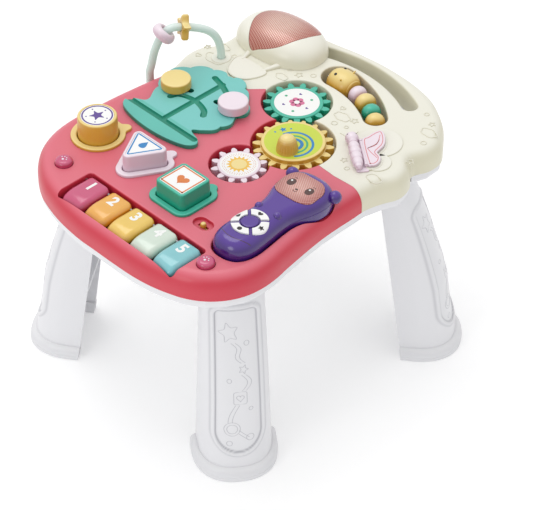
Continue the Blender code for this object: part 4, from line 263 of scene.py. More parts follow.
place_shares = {
    "keys": (0.107, -0.733),
    "circle_seat": (-0.693, -0.498),
    "triangle_seat": (-0.282, -0.479),
    "square_seat": (0.153, -0.517),
    "left_button": (-0.626, -0.768),
    "right_button": (0.736, -0.787),
    "switch": (0.442, -0.592),
    "tree": (-0.515, 0.009),
    "crank_gear": (0.245, 0.164),
    "dome": (-0.583, 0.711),
    "hoop_outer": (-0.991, 0.057),
    "hoop_inner": (-0.767, 0.403),
    "handset": (0.718, -0.338),
    "inchworm_head": (-0.018, 0.727),
    "inchworm_tail": (0.417, 0.614),
    "butterfly": (0.509, 0.374),
    "batteries": (0.184, 0.081),
    "speaker": (-0.540, 0.024),
    "slot_left": (-0.330, 0.836),
    "slot_right": (0.490, 0.810),
    "leg_front": (0.847, -0.690),
    "leg_rear": (0.908, 0.664),
    "basket": (-0.552, 0.412)}

tree_shares = (
    (-0.643, -0.485), (-0.714, -0.288), (-0.893, -0.015), (-1.036, 0.318),
    (-0.893, 0.591), (-0.714, 0.758), (-0.464, 0.894), (-0.232, 0.939), (-0.107, 0.909),
    (0.071, 1.000), (0.304, 0.970), (0.518, 0.864), (0.661, 0.742), (0.875, 0.621),
    (1.000, 0.424), (0.964, 0.227), (1.036, 0.015), (0.982, -0.212), (0.821, -0.394),
    (0.679, -0.515), (0.964, -0.606), (1.054, -0.727), (0.911, -0.864),
    (0.518, -0.955), (0.054, -0.985), (-0.411, -0.955), (-0.804, -0.864),
    (-0.946, -0.727), (-0.857, -0.606))

ground_groove_shares = ((-0.93, -0.66), (0.93, -0.66))

trunk_groove_shares = ((0.036, -0.66), (0.036, 0.68))

umbrella_groove_shares = ((-0.39, -0.15), (-0.30, -0.01), (0.036, 0.06), (0.37, -0.01),
                          (0.50, -0.12))

hook_groove_shares = ((-0.23, 0.72), (0.036, 0.66), (0.26, 0.58))

yellow_slot_shares = ((-0.536, 0.091), (-0.25, 0.19))

pink_slot_shares = ((0.750, 0.348), (0.36, 0.29))

basket_shares = ((-1.0, 0.8), (-0.8, -0.5), (0.0, -1.0), (0.8, -0.5), (1.0, 0.8))

hoop_shares = ((0.0, 0.00), (0.025, 0.14), (0.080, 0.50), (0.180, 0.83), (0.310, 0.985),
               (0.500, 0.955), (0.720, 0.845), (0.865, 0.700), (0.955, 0.480),
               (0.995, 0.20), (1.0, 0.00))

leg_names = ("front_right", "rear_right", "rear_left", "front_left")


def place(name):
    """A named place on the table top."""
    share = place_shares[name]
    return np.array((share[0] * HALF_WIDTH, share[1] * HALF_DEPTH))


def on_shares(shares, half_x, half_y, centre=(0.0, 0.0)):
    """Points given as shares of two half sizes, about a centre."""
    points = np.array(shares, dtype=float)
    return points * (half_x, half_y) + centre


def smooth_loop(points, count):
    """A closed Catmull-Rom curve through the points, in steps of equal length."""
    p0 = np.roll(points, 1, axis=0)
    p2 = np.roll(points, -1, axis=0)
    p3 = np.roll(points, -2, axis=0)
    fine = []
    for t in np.linspace(0.0, 1.0, 9)[:-1]:
        fine.append(((2 * points) + (p2 - p0) * t + (2 * p0 - 5 * points + 4 * p2 - p3) * t ** 2
                     + (3 * points - p0 - 3 * p2 + p3) * t ** 3) / 2)
    curve = np.stack(fine, axis=1).reshape(-1, points.shape[1])
    closed = np.vstack((curve, curve[:1]))
    reach = np.concatenate(((0.0,), np.cumsum(np.linalg.norm(np.diff(closed, axis=0), axis=1))))
    at = np.linspace(0.0, reach[-1], count, endpoint=False)
    return np.stack([np.interp(at, reach, closed[:, k]) for k in range(points.shape[1])], axis=1)


def smooth_path(points, count):
    """An open Catmull-Rom curve through the points, in steps of equal length."""
    points = np.array(points, dtype=float)
    padded = np.vstack((2 * points[0] - points[1], points, 2 * points[-1] - points[-2]))
    fine = []
    for k in range(len(points) - 1):
        p0, p1, p2, p3 = padded[k:k + 4]
        for t in np.linspace(0.0, 1.0, 13)[:-1]:
            fine.append(((2 * p1) + (p2 - p0) * t + (2 * p0 - 5 * p1 + 4 * p2 - p3) * t ** 2
                         + (3 * p1 - p0 - 3 * p2 + p3) * t ** 3) / 2)
    fine.append(points[-1])
    curve = np.array(fine)
    reach = np.concatenate(((0.0,), np.cumsum(np.linalg.norm(np.diff(curve, axis=0), axis=1))))
    at = np.linspace(0.0, reach[-1], count)
    return np.stack([np.interp(at, reach, curve[:, k]) for k in range(points.shape[1])], axis=1)


def offset(points, distance):
    """The outline moved outwards by a distance, one for all points or one for each."""
    before = points - np.roll(points, 1, axis=0)
    after = np.roll(points, -1, axis=0) - points
    before /= np.linalg.norm(before, axis=1)[:, None]
    after /= np.linalg.norm(after, axis=1)[:, None]
    tangent = before + after
    tangent /= np.linalg.norm(tangent, axis=1)[:, None]
    normal = np.stack((tangent[:, 1], -tangent[:, 0]), axis=1)
    lean = np.clip(np.sum(tangent * after, axis=1), 0.6, 1.0)
    return points + normal * (np.broadcast_to(distance, len(points)) / lean)[:, None]


def turned(points, angle, centre=(0.0, 0.0)):
    """The outline turned about zero and moved to its centre."""
    c, s = math.cos(angle), math.sin(angle)
    return points @ np.array(((c, s), (-s, c))) + centre


def circle(radius, centre=(0.0, 0.0), sides=CIRCLE_SIDES):
    angles = np.linspace(0.0, 2 * math.pi, sides, endpoint=False)
    return np.stack((np.cos(angles), np.sin(angles)), axis=1) * radius + centre


def arc(centre, radius, start, end, steps):
    angles = np.linspace(start, end, steps)
    return np.stack((np.cos(angles), np.sin(angles)), axis=1) * radius + centre


def rounded_corners(corners, radius, steps=5):
    """An outline with round corners, whose arcs have the given middles."""
    corners = np.array(corners)
    parts = []
    for k in range(len(corners)):
        back = corners[k] - corners[k - 1]
        ahead = corners[(k + 1) % len(corners)] - corners[k]
        start = math.atan2(back[1], back[0]) - math.pi / 2
        turn = (math.atan2(ahead[1], ahead[0]) - math.atan2(back[1], back[0])) % (2 * math.pi)
        parts.append(arc(corners[k], radius, start, start + turn, steps))
    return np.vstack(parts)


def rectangle(half_x, half_y, corner, centre=(0.0, 0.0), steps=2):
    x, y = half_x - corner, half_y - corner
    return rounded_corners(((-x, -y), (x, -y), (x, y), (-x, y)), corner, steps) + centre


def capsule(start, end, radius, steps=6):
    """A straight slot with round ends."""
    return rounded_corners((start, end), radius, steps)


def band(path, half_widths, steps=3):
    """A curved slot along a path, with round ends."""
    path = np.array(path)
    tangent = np.gradient(path, axis=0)
    tangent /= np.linalg.norm(tangent, axis=1)[:, None]
    normal = np.stack((tangent[:, 1], -tangent[:, 0]), axis=1)
    widths = np.broadcast_to(half_widths, len(path))[:, None]
    right = path + normal * widths
    left = (path - normal * widths)[::-1]
    head = math.atan2(tangent[-1, 1], tangent[-1, 0])
    tail = math.atan2(-tangent[0, 1], -tangent[0, 0])
    nose = arc(path[-1], widths[-1, 0], head - math.pi / 2, head + math.pi / 2, steps + 2)[1:-1]
    heel = arc(path[0], widths[0, 0], tail - math.pi / 2, tail + math.pi / 2, steps + 2)[1:-1]
    return np.vstack((right, nose, left, heel))


def at_height(outline, z):
    return np.column_stack((outline, np.broadcast_to(z, len(outline))))


def prism(name, outline, low, high):
    return from_rings(name, [at_height(outline, low), at_height(outline, high)])


def frames_along(path):
    """Two directions square to the path at each of its points, without twist."""
    tangent = np.gradient(path, axis=0)
    tangent /= np.linalg.norm(tangent, axis=1)[:, None]
    first = np.cross(tangent[0], (0.0, 0.0, 1.0))
    if np.linalg.norm(first) < 0.1:
        first = np.cross(tangent[0], (1.0, 0.0, 0.0))
    side = [first / np.linalg.norm(first)]
    for k in range(1, len(path)):
        turned_side = side[-1] - tangent[k] * np.dot(side[-1], tangent[k])
        side.append(turned_side / np.linalg.norm(turned_side))
    side = np.array(side)
    return side, np.cross(tangent, side)


def combine(thing, tool, operation):
    """A Boolean between two solids, applied at once, which uses up the tool."""
    modifier = thing.modifiers.new(operation.lower(), "BOOLEAN")
    modifier.operation = operation
    modifier.object = tool
    modifier.solver = "EXACT"
    graph = bpy.context.evaluated_depsgraph_get()
    graph.update()
    mesh = bpy.data.meshes.new_from_object(thing.evaluated_get(graph))
    thing.modifiers.clear()
    thing.data = mesh
    bpy.data.objects.remove(tool)
    return thing


def cut(thing, *tools):
    for tool in tools:
        combine(thing, tool, "DIFFERENCE")
    return thing


def fuse(thing, *tools):
    for tool in tools:
        combine(thing, tool, "UNION")
    return thing


def keep(thing, tool):
    return combine(thing, tool, "INTERSECT")


def copy_of(thing, name="copy"):
    double = bpy.data.objects.new(name, thing.data.copy())
    bpy.context.scene.collection.objects.link(double)
    return double


def well_block(name, outline, floor):
    """The stock that is left round a well, under the top plate."""
    return prism(name, offset(outline, WALL), floor - WALL, PANEL_TOP - WALL / 2)


def gloss(colour):
    return (colour, 0.22, 0.0)


RIM = PANEL_TOP - COVER_HEIGHT


SHELL_BOTTOM = RIM - SHELL_HEIGHT


PLATE_UNDER = PANEL_TOP - WALL


GEAR_FLOOR = PANEL_TOP - GEAR_WELL_DEPTH


KEY_FLOOR = PANEL_TOP - KEY_WELL_DEPTH


CRADLE_FLOOR = PANEL_TOP - CRADLE_DEPTH


BEAD_FLOOR = PANEL_TOP - BEAD_WELL_DEPTH


SWITCH_FLOOR = PANEL_TOP - SWITCH_WELL_DEPTH


TABLE = smooth_loop(on_shares(outline_shares, HALF_WIDTH, HALF_DEPTH), 64)


TABLE_INSIDE = smooth_loop(on_shares(outline_shares, HALF_WIDTH, HALF_DEPTH), 44)


def edge_round(outline):
    """The width of the rounded edge, wide round the front and narrower round the rear."""
    start, end = parting_shares[0][1] * HALF_DEPTH, parting_shares[0][1] * 2 * HALF_DEPTH
    blend = np.clip((outline[:, 1] - start) / (end - start), 0.0, 1.0)
    blend = blend * blend * (3 - 2 * blend)
    return EDGE_ROUND_FRONT + (EDGE_ROUND_REAR - EDGE_ROUND_FRONT) * blend


def pitch_radius(teeth):
    return teeth * GEAR_MODULE / 2


def involute(angle):
    return math.tan(angle) - angle


CRANK_CENTRE = place("crank_gear")


def neighbour_centre(angle, teeth):
    reach = pitch_radius(CRANK_TEETH) + pitch_radius(teeth)
    return CRANK_CENTRE + reach * np.array((math.cos(angle), math.sin(angle)))


FLOWER_CENTRE = neighbour_centre(FLOWER_GEAR_ANGLE, FLOWER_TEETH)


SUN_CENTRE = neighbour_centre(SUN_GEAR_ANGLE, SUN_TEETH)


def gear_well_radius(teeth):
    return pitch_radius(teeth) + GEAR_MODULE * gear_tip_share + WELL_MARGIN / 2


def meshing_turn(angle, teeth):
    """The turn that puts a tooth gap of the neighbour on the crank gear's tooth."""
    tooth_step = 2 * math.pi / CRANK_TEETH
    phase = (angle / tooth_step) % 1.0
    return angle + math.pi + (phase + 0.5) * 2 * math.pi / teeth


def tree_point(share):
    return place("tree") + np.array(share) * (TREE_HALF_WIDTH, TREE_HALF_DEPTH)


def key_x(index):
    return place("keys")[0] + (index - (KEY_COUNT - 1) / 2) * KEY_PITCH


def key_back():
    return place("keys")[1]


def button_levels():
    flange_top = PLATE_UNDER - BUTTON_HEADROOM
    flange_low = flange_top - BUTTON_FLANGE_THICKNESS
    return flange_low, flange_top


def hoop_line():
    """The hoop's middle line, in the upright plane through its two feet."""
    start, end = place("hoop_outer"), place("hoop_inner")
    points = []
    for along, rise in hoop_shares:
        flat = start + (end - start) * along
        points.append((*flat, PANEL_TOP + HOOP_HEIGHT * rise))
    curve = smooth_path(points, 18)
    outer_foot = (*start, PANEL_TOP - HOOP_FOOT_DEPTH - HOOP_SOCKET_DEPTH / 2)
    inner_foot = (*end, PANEL_TOP - HOOP_SOCKET_DEPTH)
    return np.vstack((outer_foot, curve, inner_foot))


def hoop_station(share):
    """A point of the hoop and its direction there."""
    line = hoop_line()[1:-1]
    at = share * (len(line) - 1)
    k = int(at)
    point = line[k] + (line[k + 1] - line[k]) * (at - k)
    way = line[min(k + 2, len(line) - 1)] - line[max(k - 1, 0)]
    return point, way / np.linalg.norm(way)


def oriented(thing, point, way):
    """The solid with its vertical axis laid along a direction, at a point."""
    turn = Vector((0.0, 0.0, 1.0)).rotation_difference(Vector(way)).to_matrix().to_4x4()
    thing.data.transform(Matrix.Translation(Vector(point)) @ turn)
    return thing


def inchworm_line(ahead=0.0, behind=0.0):
    """The wire's bend: an arc through head and tail that bows to the rear, and its length."""
    head, tail = place("inchworm_head"), place("inchworm_tail")
    chord = tail - head
    length = np.linalg.norm(chord)
    bow = np.array((-chord[1], chord[0])) / length
    radius = (length / 2) ** 2 / (2 * INCHWORM_SAG) + INCHWORM_SAG / 2
    centre = (head + tail) / 2 + bow * (INCHWORM_SAG - radius)
    start = math.atan2(*(head - centre)[::-1]) + behind / radius
    end = math.atan2(*(tail - centre)[::-1]) - ahead / radius
    return centre, radius, start, end


def inchworm_station(distance):
    """The point and direction at a distance along the wire from the head's middle."""
    centre, radius, start, _ = inchworm_line()
    angle = start - distance / radius
    z = PANEL_TOP - INCHWORM_AXIS_DROP
    point = (centre[0] + radius * math.cos(angle), centre[1] + radius * math.sin(angle), z)
    return point, (math.sin(angle), -math.cos(angle), 0.0)


def inchworm_places():
    places = [0.0]
    reach = INCHWORM_HEAD_RADIUS
    for half in BEAD_HALF_LENGTHS:
        places.append(reach + INCHWORM_SPACE + half)
        reach = places[-1] + half
    return places


def butterfly_frame(points):
    """Points along and out from the butterfly's body, put on the table top."""
    return turned(np.array(points), BUTTERFLY_ANGLE, place("butterfly"))


def butterfly_point(along, out, z):
    flat = butterfly_frame(((along, out),))[0]
    return (flat[0], flat[1], z)


def wing_barrel_ends():
    return BUTTERFLY_LENGTH * wing_start_share, BUTTERFLY_LENGTH * wing_end_share


def dome_outline(count=24):
    angles = np.linspace(0.0, 2 * math.pi, count, endpoint=False)
    power = 2.0 / DOME_POWER
    shape = np.stack((np.sign(np.cos(angles)) * np.abs(np.cos(angles)) ** power * DOME_HALF_WIDTH,
                      np.sign(np.sin(angles)) * np.abs(np.sin(angles)) ** power * DOME_HALF_DEPTH),
                     axis=1)
    return turned(shape, DOME_TURN, place("dome"))


def parting_prism(name, side):
    """All of the table in front of the parting line (side -1) or behind it (side 1)."""
    line = on_shares(parting_shares, HALF_WIDTH, HALF_DEPTH)
    step = np.gradient(line, axis=0)
    step /= np.linalg.norm(step, axis=1)[:, None]
    normal = np.stack((-step[:, 1], step[:, 0]), axis=1)
    line = line + normal * (side * GAP / 2)
    far = side * (HALF_DEPTH + EDGE_ROUND_FRONT)
    ends = np.array(((line[-1, 0], far), (line[0, 0], far)))
    outline = np.vstack((line, ends))
    if side < 0:
        outline = outline[::-1]
    return prism(name, outline, RIM - OVERRUN, PANEL_TOP + OVERRUN)


def leg_centre(name):
    front = name.startswith("front")
    centre = place("leg_front" if front else "leg_rear")
    if name.endswith("left"):
        centre = centre * (-1.0, 1.0)
    return centre


def leg_angle(name):
    angle = LEG_FRONT_ANGLE if name.startswith("front") else LEG_REAR_ANGLE
    return math.pi - angle if name.endswith("left") else angle


def leg_side(name):
    """Which way the leg's top leans along its own width: towards the table's middle."""
    return 1.0 if name in ("front_right", "rear_left") else -1.0


LEG_TOP = SHELL_BOTTOM - GAP


def leg_half_width(z):
    share = z / LEG_TOP
    return LEG_FOOT_HALF_WIDTH + (LEG_TOP_HALF_WIDTH - LEG_FOOT_HALF_WIDTH) * share


def leg_lean(z, side):
    share = z / LEG_TOP
    return np.array((-LEG_LEAN_OUT * share, side * LEG_LEAN_SIDE * share))


def leg_face(across, z, side, inset=0.0):
    """How far out the leg's bowed face lies, as a superellipse of the place across it."""
    half = leg_half_width(z) - inset
    share = max(0.0, z / LEG_TOP - shoulder_start_share) / (1 - shoulder_start_share)
    depth = LEG_SIDE_DEPTH - LEG_SHOULDER * share ** 2
    side_depth = depth * leg_flat_share
    reach = depth - side_depth + LEG_BULGE * (1 - share) - inset
    left = np.clip(1 - np.abs(np.array(across) / half) ** leg_power, 0.0, 1.0)
    return LEG_INNER + side_depth + reach * left ** (1 / leg_power) + leg_lean(z, side)[0]


def leg_section(z, side, inset=0.0, straight=0.0):
    """The leg's outer line at a height: straight sides and a bowed outer face."""
    half = leg_half_width(z) - inset
    t = np.linspace(-math.pi / 2, math.pi / 2, 9)
    across = np.sign(t) * np.abs(np.sin(t)) ** (2 / leg_power) * half
    face = np.stack((leg_face(across, z, side, inset), across + leg_lean(z, side)[1]), axis=1)
    inner = LEG_INNER - straight
    ends = np.array(((inner, half), (inner, -half))) + leg_lean(z, side)
    return np.vstack((face, ends))


def plug_centre(side):
    return leg_lean(LEG_TOP, side) + (LEG_INNER + (LEG_SIDE_DEPTH - LEG_SHOULDER) / 2, 0.0)


HANDSET_LOW = CRADLE_FLOOR + GAP


HANDSET_TOP = HANDSET_LOW + HANDSET_HEIGHT


HANDSET_SEAM = HANDSET_LOW + HANDSET_BACK_HEIGHT


def handset_spot(x, y):
    return turned(np.array(((x, y),)), HANDSET_TILT, place("handset"))[0]


# Colours as they look in white light, 0 to 255

def paint(red, green, blue):
    """A colour on screen as the light it reflects: the screen's curve taken off."""
    share = np.array((red, green, blue)) / 255.0
    linear = np.where(share <= 0.04045, share / 12.92, ((share + 0.055) / 1.055) ** 2.4)
    return (*linear.tolist(), 1.0)


# Meshes

def solid(name, *grids, ring=False):
    """One mesh of closed bodies, each a grid of points: row by row, closed outlines. Quads join
    point (k, j) to its neighbours; the first and last row are filled, or joined in a ring."""
    points, faces, first = [], [], 0
    for grid in grids:
        rows, columns = grid.shape[:2]
        index = first + np.arange(rows * columns).reshape(rows, columns)
        low = index if ring else index[:-1]
        high = np.roll(index, -1, axis=0) if ring else index[1:]
        quads = np.stack((low, np.roll(low, -1, axis=1), np.roll(high, -1, axis=1), high), axis=-1)
        faces += quads.reshape(-1, 4).tolist()
        if not ring:
            faces += [index[0, ::-1].tolist(), index[-1].tolist()]
        points.append(grid.reshape(-1, 3))
        first += rows * columns
    mesh = bpy.data.meshes.new(name)
    mesh.from_pydata(np.vstack(points).tolist(), [], faces)
    work = bmesh.new()
    work.from_mesh(mesh)
    bmesh.ops.recalc_face_normals(work, faces=work.faces)
    work.to_mesh(mesh)
    work.free()
    thing = bpy.data.objects.new(name, mesh)
    bpy.context.scene.collection.objects.link(thing)
    return thing


def from_rings(name, rings, wrap=False):
    """A body whose rings are joined in order."""
    return solid(name, np.stack(rings), ring=wrap)


def rows(outline, levels):
    """The outline at each level, moved outwards by the level's offset: the grid of a stack."""
    return np.stack([at_height(offset(outline, out), z) for out, z in levels])


def top_round(out, top, radius, steps=7):
    """Levels of a convex quarter circle from a wall at `out` to a flat at `top`."""
    t = np.linspace(0.0, math.pi / 2, steps)
    return list(zip(out - radius * (1 - np.cos(t)), top - radius * (1 - np.sin(t))))


def refine(points, steps):
    """A closed Catmull-Rom curve with the same number of new points on each side of the loop."""
    p0, p2, p3 = (np.roll(points, k, axis=0) for k in (1, -1, -2))
    fine = []
    for t in np.linspace(0.0, 1.0, steps, endpoint=False):
        fine.append((2 * points + (p2 - p0) * t + (2 * p0 - 5 * points + 4 * p2 - p3) * t ** 2
                     + (3 * points - p0 - 3 * p2 + p3) * t ** 3) / 2)
    return np.stack(fine, axis=1).reshape(-1, points.shape[1])


def turned_rows(profile, centre=(0.0, 0.0), sides=CIRCLE_SIDES):
    """A profile of radius and height turned about an upright axis."""
    return np.stack([at_height(circle(max(r, GAP / 3), centre, sides), z) for r, z in profile])


def tube_rows(path, radius, sides=24):
    """A circle carried along a path: centre plus radius times cosine and sine of two square
    directions that follow the path without twist."""
    path = np.array(path, dtype=float)
    side, up = frames_along(path)
    radii = np.broadcast_to(radius, len(path))[:, None, None]
    angles = np.linspace(0.0, 2 * math.pi, sides, endpoint=False)
    return path[:, None] + radii * (np.cos(angles)[None, :, None] * side[:, None]
                                    + np.sin(angles)[None, :, None] * up[:, None])


def raised_line(path, width, rise, closed=False, sides=10):
    """A rounded cord of a line: a flat ellipse carried along the path."""
    path = np.array(path, dtype=float)
    if closed:
        path = np.vstack((path, path[:1]))
    grid = tube_rows(path, 1.0, sides) - path[:, None]
    scaled = np.concatenate((grid[..., :2] * width / 2, grid[..., 2:] * rise), axis=2)
    return path[:, None] + scaled


def on_top(points, z):
    """Flat points with one height for all of them as the third number."""
    return np.column_stack((points, np.full(len(points), z)))


def shade_edges(mesh, angle):
    """Smooth shading that breaks where two faces meet by more than the angle, or where a level
    face meets one that isn't."""
    loops = len(mesh.loops)
    edge = np.empty(loops, dtype=np.int32)
    mesh.loops.foreach_get("edge_index", edge)
    total = np.empty(len(mesh.polygons), dtype=np.int32)
    mesh.polygons.foreach_get("loop_total", total)
    normal = np.empty(len(mesh.polygons) * 3, dtype=np.float32)
    mesh.polygons.foreach_get("normal", normal)
    normal = normal.reshape(-1, 3)
    face = np.repeat(np.arange(len(total)), total)
    order = np.argsort(edge, kind="stable")
    edge, face = edge[order], face[order]
    pair = np.flatnonzero(edge[1:] == edge[:-1])
    one, two = normal[face[pair]], normal[face[pair + 1]]
    flat = (np.abs(one[:, 2]) > 0.99995) != (np.abs(two[:, 2]) > 0.99995)
    sharp = np.zeros(len(mesh.edges), dtype=bool)
    sharp[edge[pair]] = flat | (np.sum(one * two, axis=1) < math.cos(angle))
    mesh.edges.foreach_set("use_edge_sharp", sharp)
    mesh.polygons.foreach_set("use_smooth", np.ones(len(total), dtype=bool))
    mesh.update()


def dress(thing, finish, body, *nodes, angle=36.0):
    """Gives a piece its finish, the body it rides on and the nodes it stands for."""
    thing.data.materials.clear()
    thing.data.materials.append(finish)
    shade_edges(thing.data, math.radians(angle))
    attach(thing, body)
    if nodes:
        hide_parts(*nodes)
    return thing


# Materials

def add(tree, kind, inputs=None, **settings):
    """A node with its settings, and its inputs set or linked."""
    made = tree.nodes.new(kind)
    for key, value in settings.items():
        setattr(made, key, value)
    for key, value in (inputs or {}).items():
        if isinstance(value, bpy.types.NodeSocket):
            tree.links.new(value, made.inputs[key])
        else:
            made.inputs[key].default_value = value
    return made


def group(name, inputs, outputs):
    tree = bpy.data.node_groups.new(name, "ShaderNodeTree")
    for socket, kind, value in inputs:
        made = tree.interface.new_socket(socket, in_out="INPUT", socket_type="NodeSocket" + kind)
        made.default_value = value
    for socket, kind in outputs:
        tree.interface.new_socket(socket, in_out="OUTPUT", socket_type="NodeSocket" + kind)
    return tree, tree.nodes.new("NodeGroupInput"), tree.nodes.new("NodeGroupOutput")


def moulding_and_painted_light_group():
    """Moulded plastic with painted light: a lighter tone painted on level faces above a height, as if lit from
    overhead, and a painted shade tone on all other faces; a soft flow of tone from the mould, and the fine grain of
    its surface."""
    tree, given, out = group("moulding_and_painted_light", (
        ("Painted Lit Tone", "Color", (1, 1, 1, 1)), ("Painted Shade Tone", "Color", (1, 1, 1, 1)),
        ("Low", "Float", -1.0), ("High", "Float", -0.9), ("Gloss", "Float", 0.3),
        ("Flow", "Float", 0.1), ("Flow Scale", "Float", 30.0)),
        (("Tone", "Color"), ("Roughness", "Float"), ("Grain", "Float")))
    place_at = add(tree, "ShaderNodeTexCoord").outputs["Object"]
    height = add(tree, "ShaderNodeSeparateXYZ", {0: place_at}).outputs["Z"]
    normal = add(tree, "ShaderNodeNewGeometry").outputs["Normal"]
    facing = add(tree, "ShaderNodeSeparateXYZ", {0: normal})
    # Painted light: level faces above the height take the lit tone, sloped and lower faces the shade tone.
    level = add(tree, "ShaderNodeMapRange", {"Value": facing.outputs["Z"], "From Min": 0.30,
                "From Max": 0.97}, interpolation_type="SMOOTHSTEP")
    above = add(tree, "ShaderNodeMapRange", {"Value": height, "From Min": given.outputs["Low"],
                "From Max": given.outputs["High"]}, interpolation_type="SMOOTHSTEP")
    painted_light_mask = add(tree, "ShaderNodeMath", {0: level.outputs[0], 1: above.outputs[0]}, operation="MULTIPLY")
    cloud = add(tree, "ShaderNodeTexNoise", {"Vector": place_at, "Scale": given.outputs["Flow Scale"],
                "Detail": 3.0})
    drift = add(tree, "ShaderNodeMath", {0: cloud.outputs["Fac"], 1: 0.5}, operation="SUBTRACT")
    share = add(tree, "ShaderNodeMath", {0: drift.outputs[0], 1: given.outputs["Flow"],
                2: painted_light_mask.outputs[0]}, operation="MULTIPLY_ADD", use_clamp=True)
    tone = add(tree, "ShaderNodeMixRGB", {
        "Fac": share.outputs[0], "Color1": given.outputs["Painted Shade Tone"],
        "Color2": given.outputs["Painted Lit Tone"]})
    fine = add(tree, "ShaderNodeTexNoise", {"Vector": place_at, "Scale": 700.0, "Detail": 2.0})
    rough = add(tree, "ShaderNodeMath", {0: fine.outputs["Fac"], 1: 0.10,
                2: given.outputs["Gloss"]}, operation="MULTIPLY_ADD")
    for socket, value in (("Tone", tone.outputs[0]), ("Roughness", rough.outputs[0]),
                          ("Grain", fine.outputs["Fac"])):
        tree.links.new(value, out.inputs[socket])
    return tree


def dots_group():
    """Rows of small studs seen through a clear lens: one soft dot in each cell of a square grid."""
    tree, given, out = group("stud_rows", (("Spacing", "Float", 0.002), ("Turn", "Float", 0.0)),
                             (("Dots", "Float"),))
    place_at = add(tree, "ShaderNodeTexCoord").outputs["Object"]
    turn = add(tree, "ShaderNodeVectorRotate", {"Vector": place_at, "Angle": given.outputs["Turn"]},
               rotation_type="Z_AXIS")
    step = add(tree, "ShaderNodeMath", {0: 2 * math.pi, 1: given.outputs["Spacing"]}, operation="DIVIDE")
    parts = add(tree, "ShaderNodeSeparateXYZ", {0: turn.outputs[0]})
    waves = []
    for axis in ("X", "Y"):
        scaled = add(tree, "ShaderNodeMath", {0: parts.outputs[axis], 1: step.outputs[0]},
                     operation="MULTIPLY")
        waves.append(add(tree, "ShaderNodeMath", {0: scaled.outputs[0]}, operation="SINE").outputs[0])
    total = add(tree, "ShaderNodeMath", {0: waves[0], 1: waves[1]}, operation="ADD")
    dots = add(tree, "ShaderNodeMapRange", {"Value": total.outputs[0], "From Min": -1.1,
               "From Max": 1.3}, interpolation_type="SMOOTHSTEP")
    tree.links.new(dots.outputs[0], out.inputs["Dots"])
    return tree


moulding_and_painted_light, stud_rows = moulding_and_painted_light_group(), dots_group()


def new_material(name):
    made = bpy.data.materials.new(name)
    made.use_nodes = True
    return made, made.node_tree, made.node_tree.nodes["Principled BSDF"]


def plastic(name, upper, lower, low=-1.0, high=-0.9, gloss=0.28, flow=0.12, scale=30.0,
            coat=0.25, grain=0.06, metallic=0.0, edge=None):
    """A moulded plastic or print with its two tones: a painted lit tone for level faces, a painted shade tone for
    the rest, and with an edge colour, painted shade in the creases that the mesh marks.
    """
    made, tree, shader = new_material(name)
    look = add(tree, "ShaderNodeGroup", node_tree=moulding_and_painted_light)
    # upper is the painted lit tone, lower the painted shade tone.
    for key, value in (("Painted Lit Tone", paint(*upper)), ("Painted Shade Tone", paint(*lower)), ("Low", low),
                       ("High", high), ("Gloss", gloss), ("Flow", flow), ("Flow Scale", scale)):
        look.inputs[key].default_value = value
    bump = add(tree, "ShaderNodeBump", {"Strength": grain, "Distance": 0.0003,
               "Height": look.outputs["Grain"]})
    tone = look.outputs["Tone"]
    # Painted shade: the edge colour darkens the creases marked on the mesh's points.
    if edge:
        near = add(tree, "ShaderNodeAttribute", attribute_name="panel_crease_shade")
        tone = add(tree, "ShaderNodeMixRGB", {"Fac": near.outputs["Fac"], "Color1": tone,
                   "Color2": paint(*edge)}).outputs[0]
    tree.links.new(tone, shader.inputs["Base Color"])
    tree.links.new(look.outputs["Roughness"], shader.inputs["Roughness"])
    tree.links.new(bump.outputs["Normal"], shader.inputs["Normal"])
    shader.inputs["Coat Weight"].default_value = coat
    shader.inputs["Coat Roughness"].default_value = 0.12
    shader.inputs["Metallic"].default_value = metallic
    return made


def lens_plastic(name, pale, deep, spacing, turn, centre, reach):
    """Tinted clear plastic over rows of studs: pale in the middle, deep towards its edge."""
    made, tree, shader = new_material(name)
    place_at = add(tree, "ShaderNodeTexCoord").outputs["Object"]
    near = add(tree, "ShaderNodeVectorMath", {0: place_at, 1: centre}, operation="DISTANCE")
    away = add(tree, "ShaderNodeMapRange", {"Value": near.outputs["Value"], "From Min": reach * 0.15,
               "From Max": reach}, interpolation_type="SMOOTHSTEP")
    dots = add(tree, "ShaderNodeGroup", node_tree=stud_rows)
    dots.inputs["Spacing"].default_value = spacing
    dots.inputs["Turn"].default_value = turn
    tint = add(tree, "ShaderNodeMixRGB", {"Fac": away.outputs[0], "Color1": paint(*pale),
               "Color2": paint(*deep)})
    darker = add(tree, "ShaderNodeMixRGB", {"Fac": 1.0, "Color1": tint.outputs[0],
                 "Color2": paint(186, 116, 104)}, blend_type="MULTIPLY")
    mixed = add(tree, "ShaderNodeMixRGB", {"Fac": dots.outputs[0], "Color1": darker.outputs[0],
                "Color2": tint.outputs[0]})
    rough = add(tree, "ShaderNodeMapRange", {"Value": dots.outputs[0], "To Min": 0.42, "To Max": 0.2})
    bump = add(tree, "ShaderNodeBump", {"Strength": 0.25, "Distance": 0.0006, "Height": dots.outputs[0]})
    tree.links.new(mixed.outputs[0], shader.inputs["Base Color"])
    tree.links.new(rough.outputs[0], shader.inputs["Roughness"])
    tree.links.new(bump.outputs["Normal"], shader.inputs["Normal"])
    shader.inputs["Coat Weight"].default_value = 0.5
    shader.inputs["Coat Roughness"].default_value = 0.08
    shader.inputs["Metallic"].default_value = 0.25
    return made


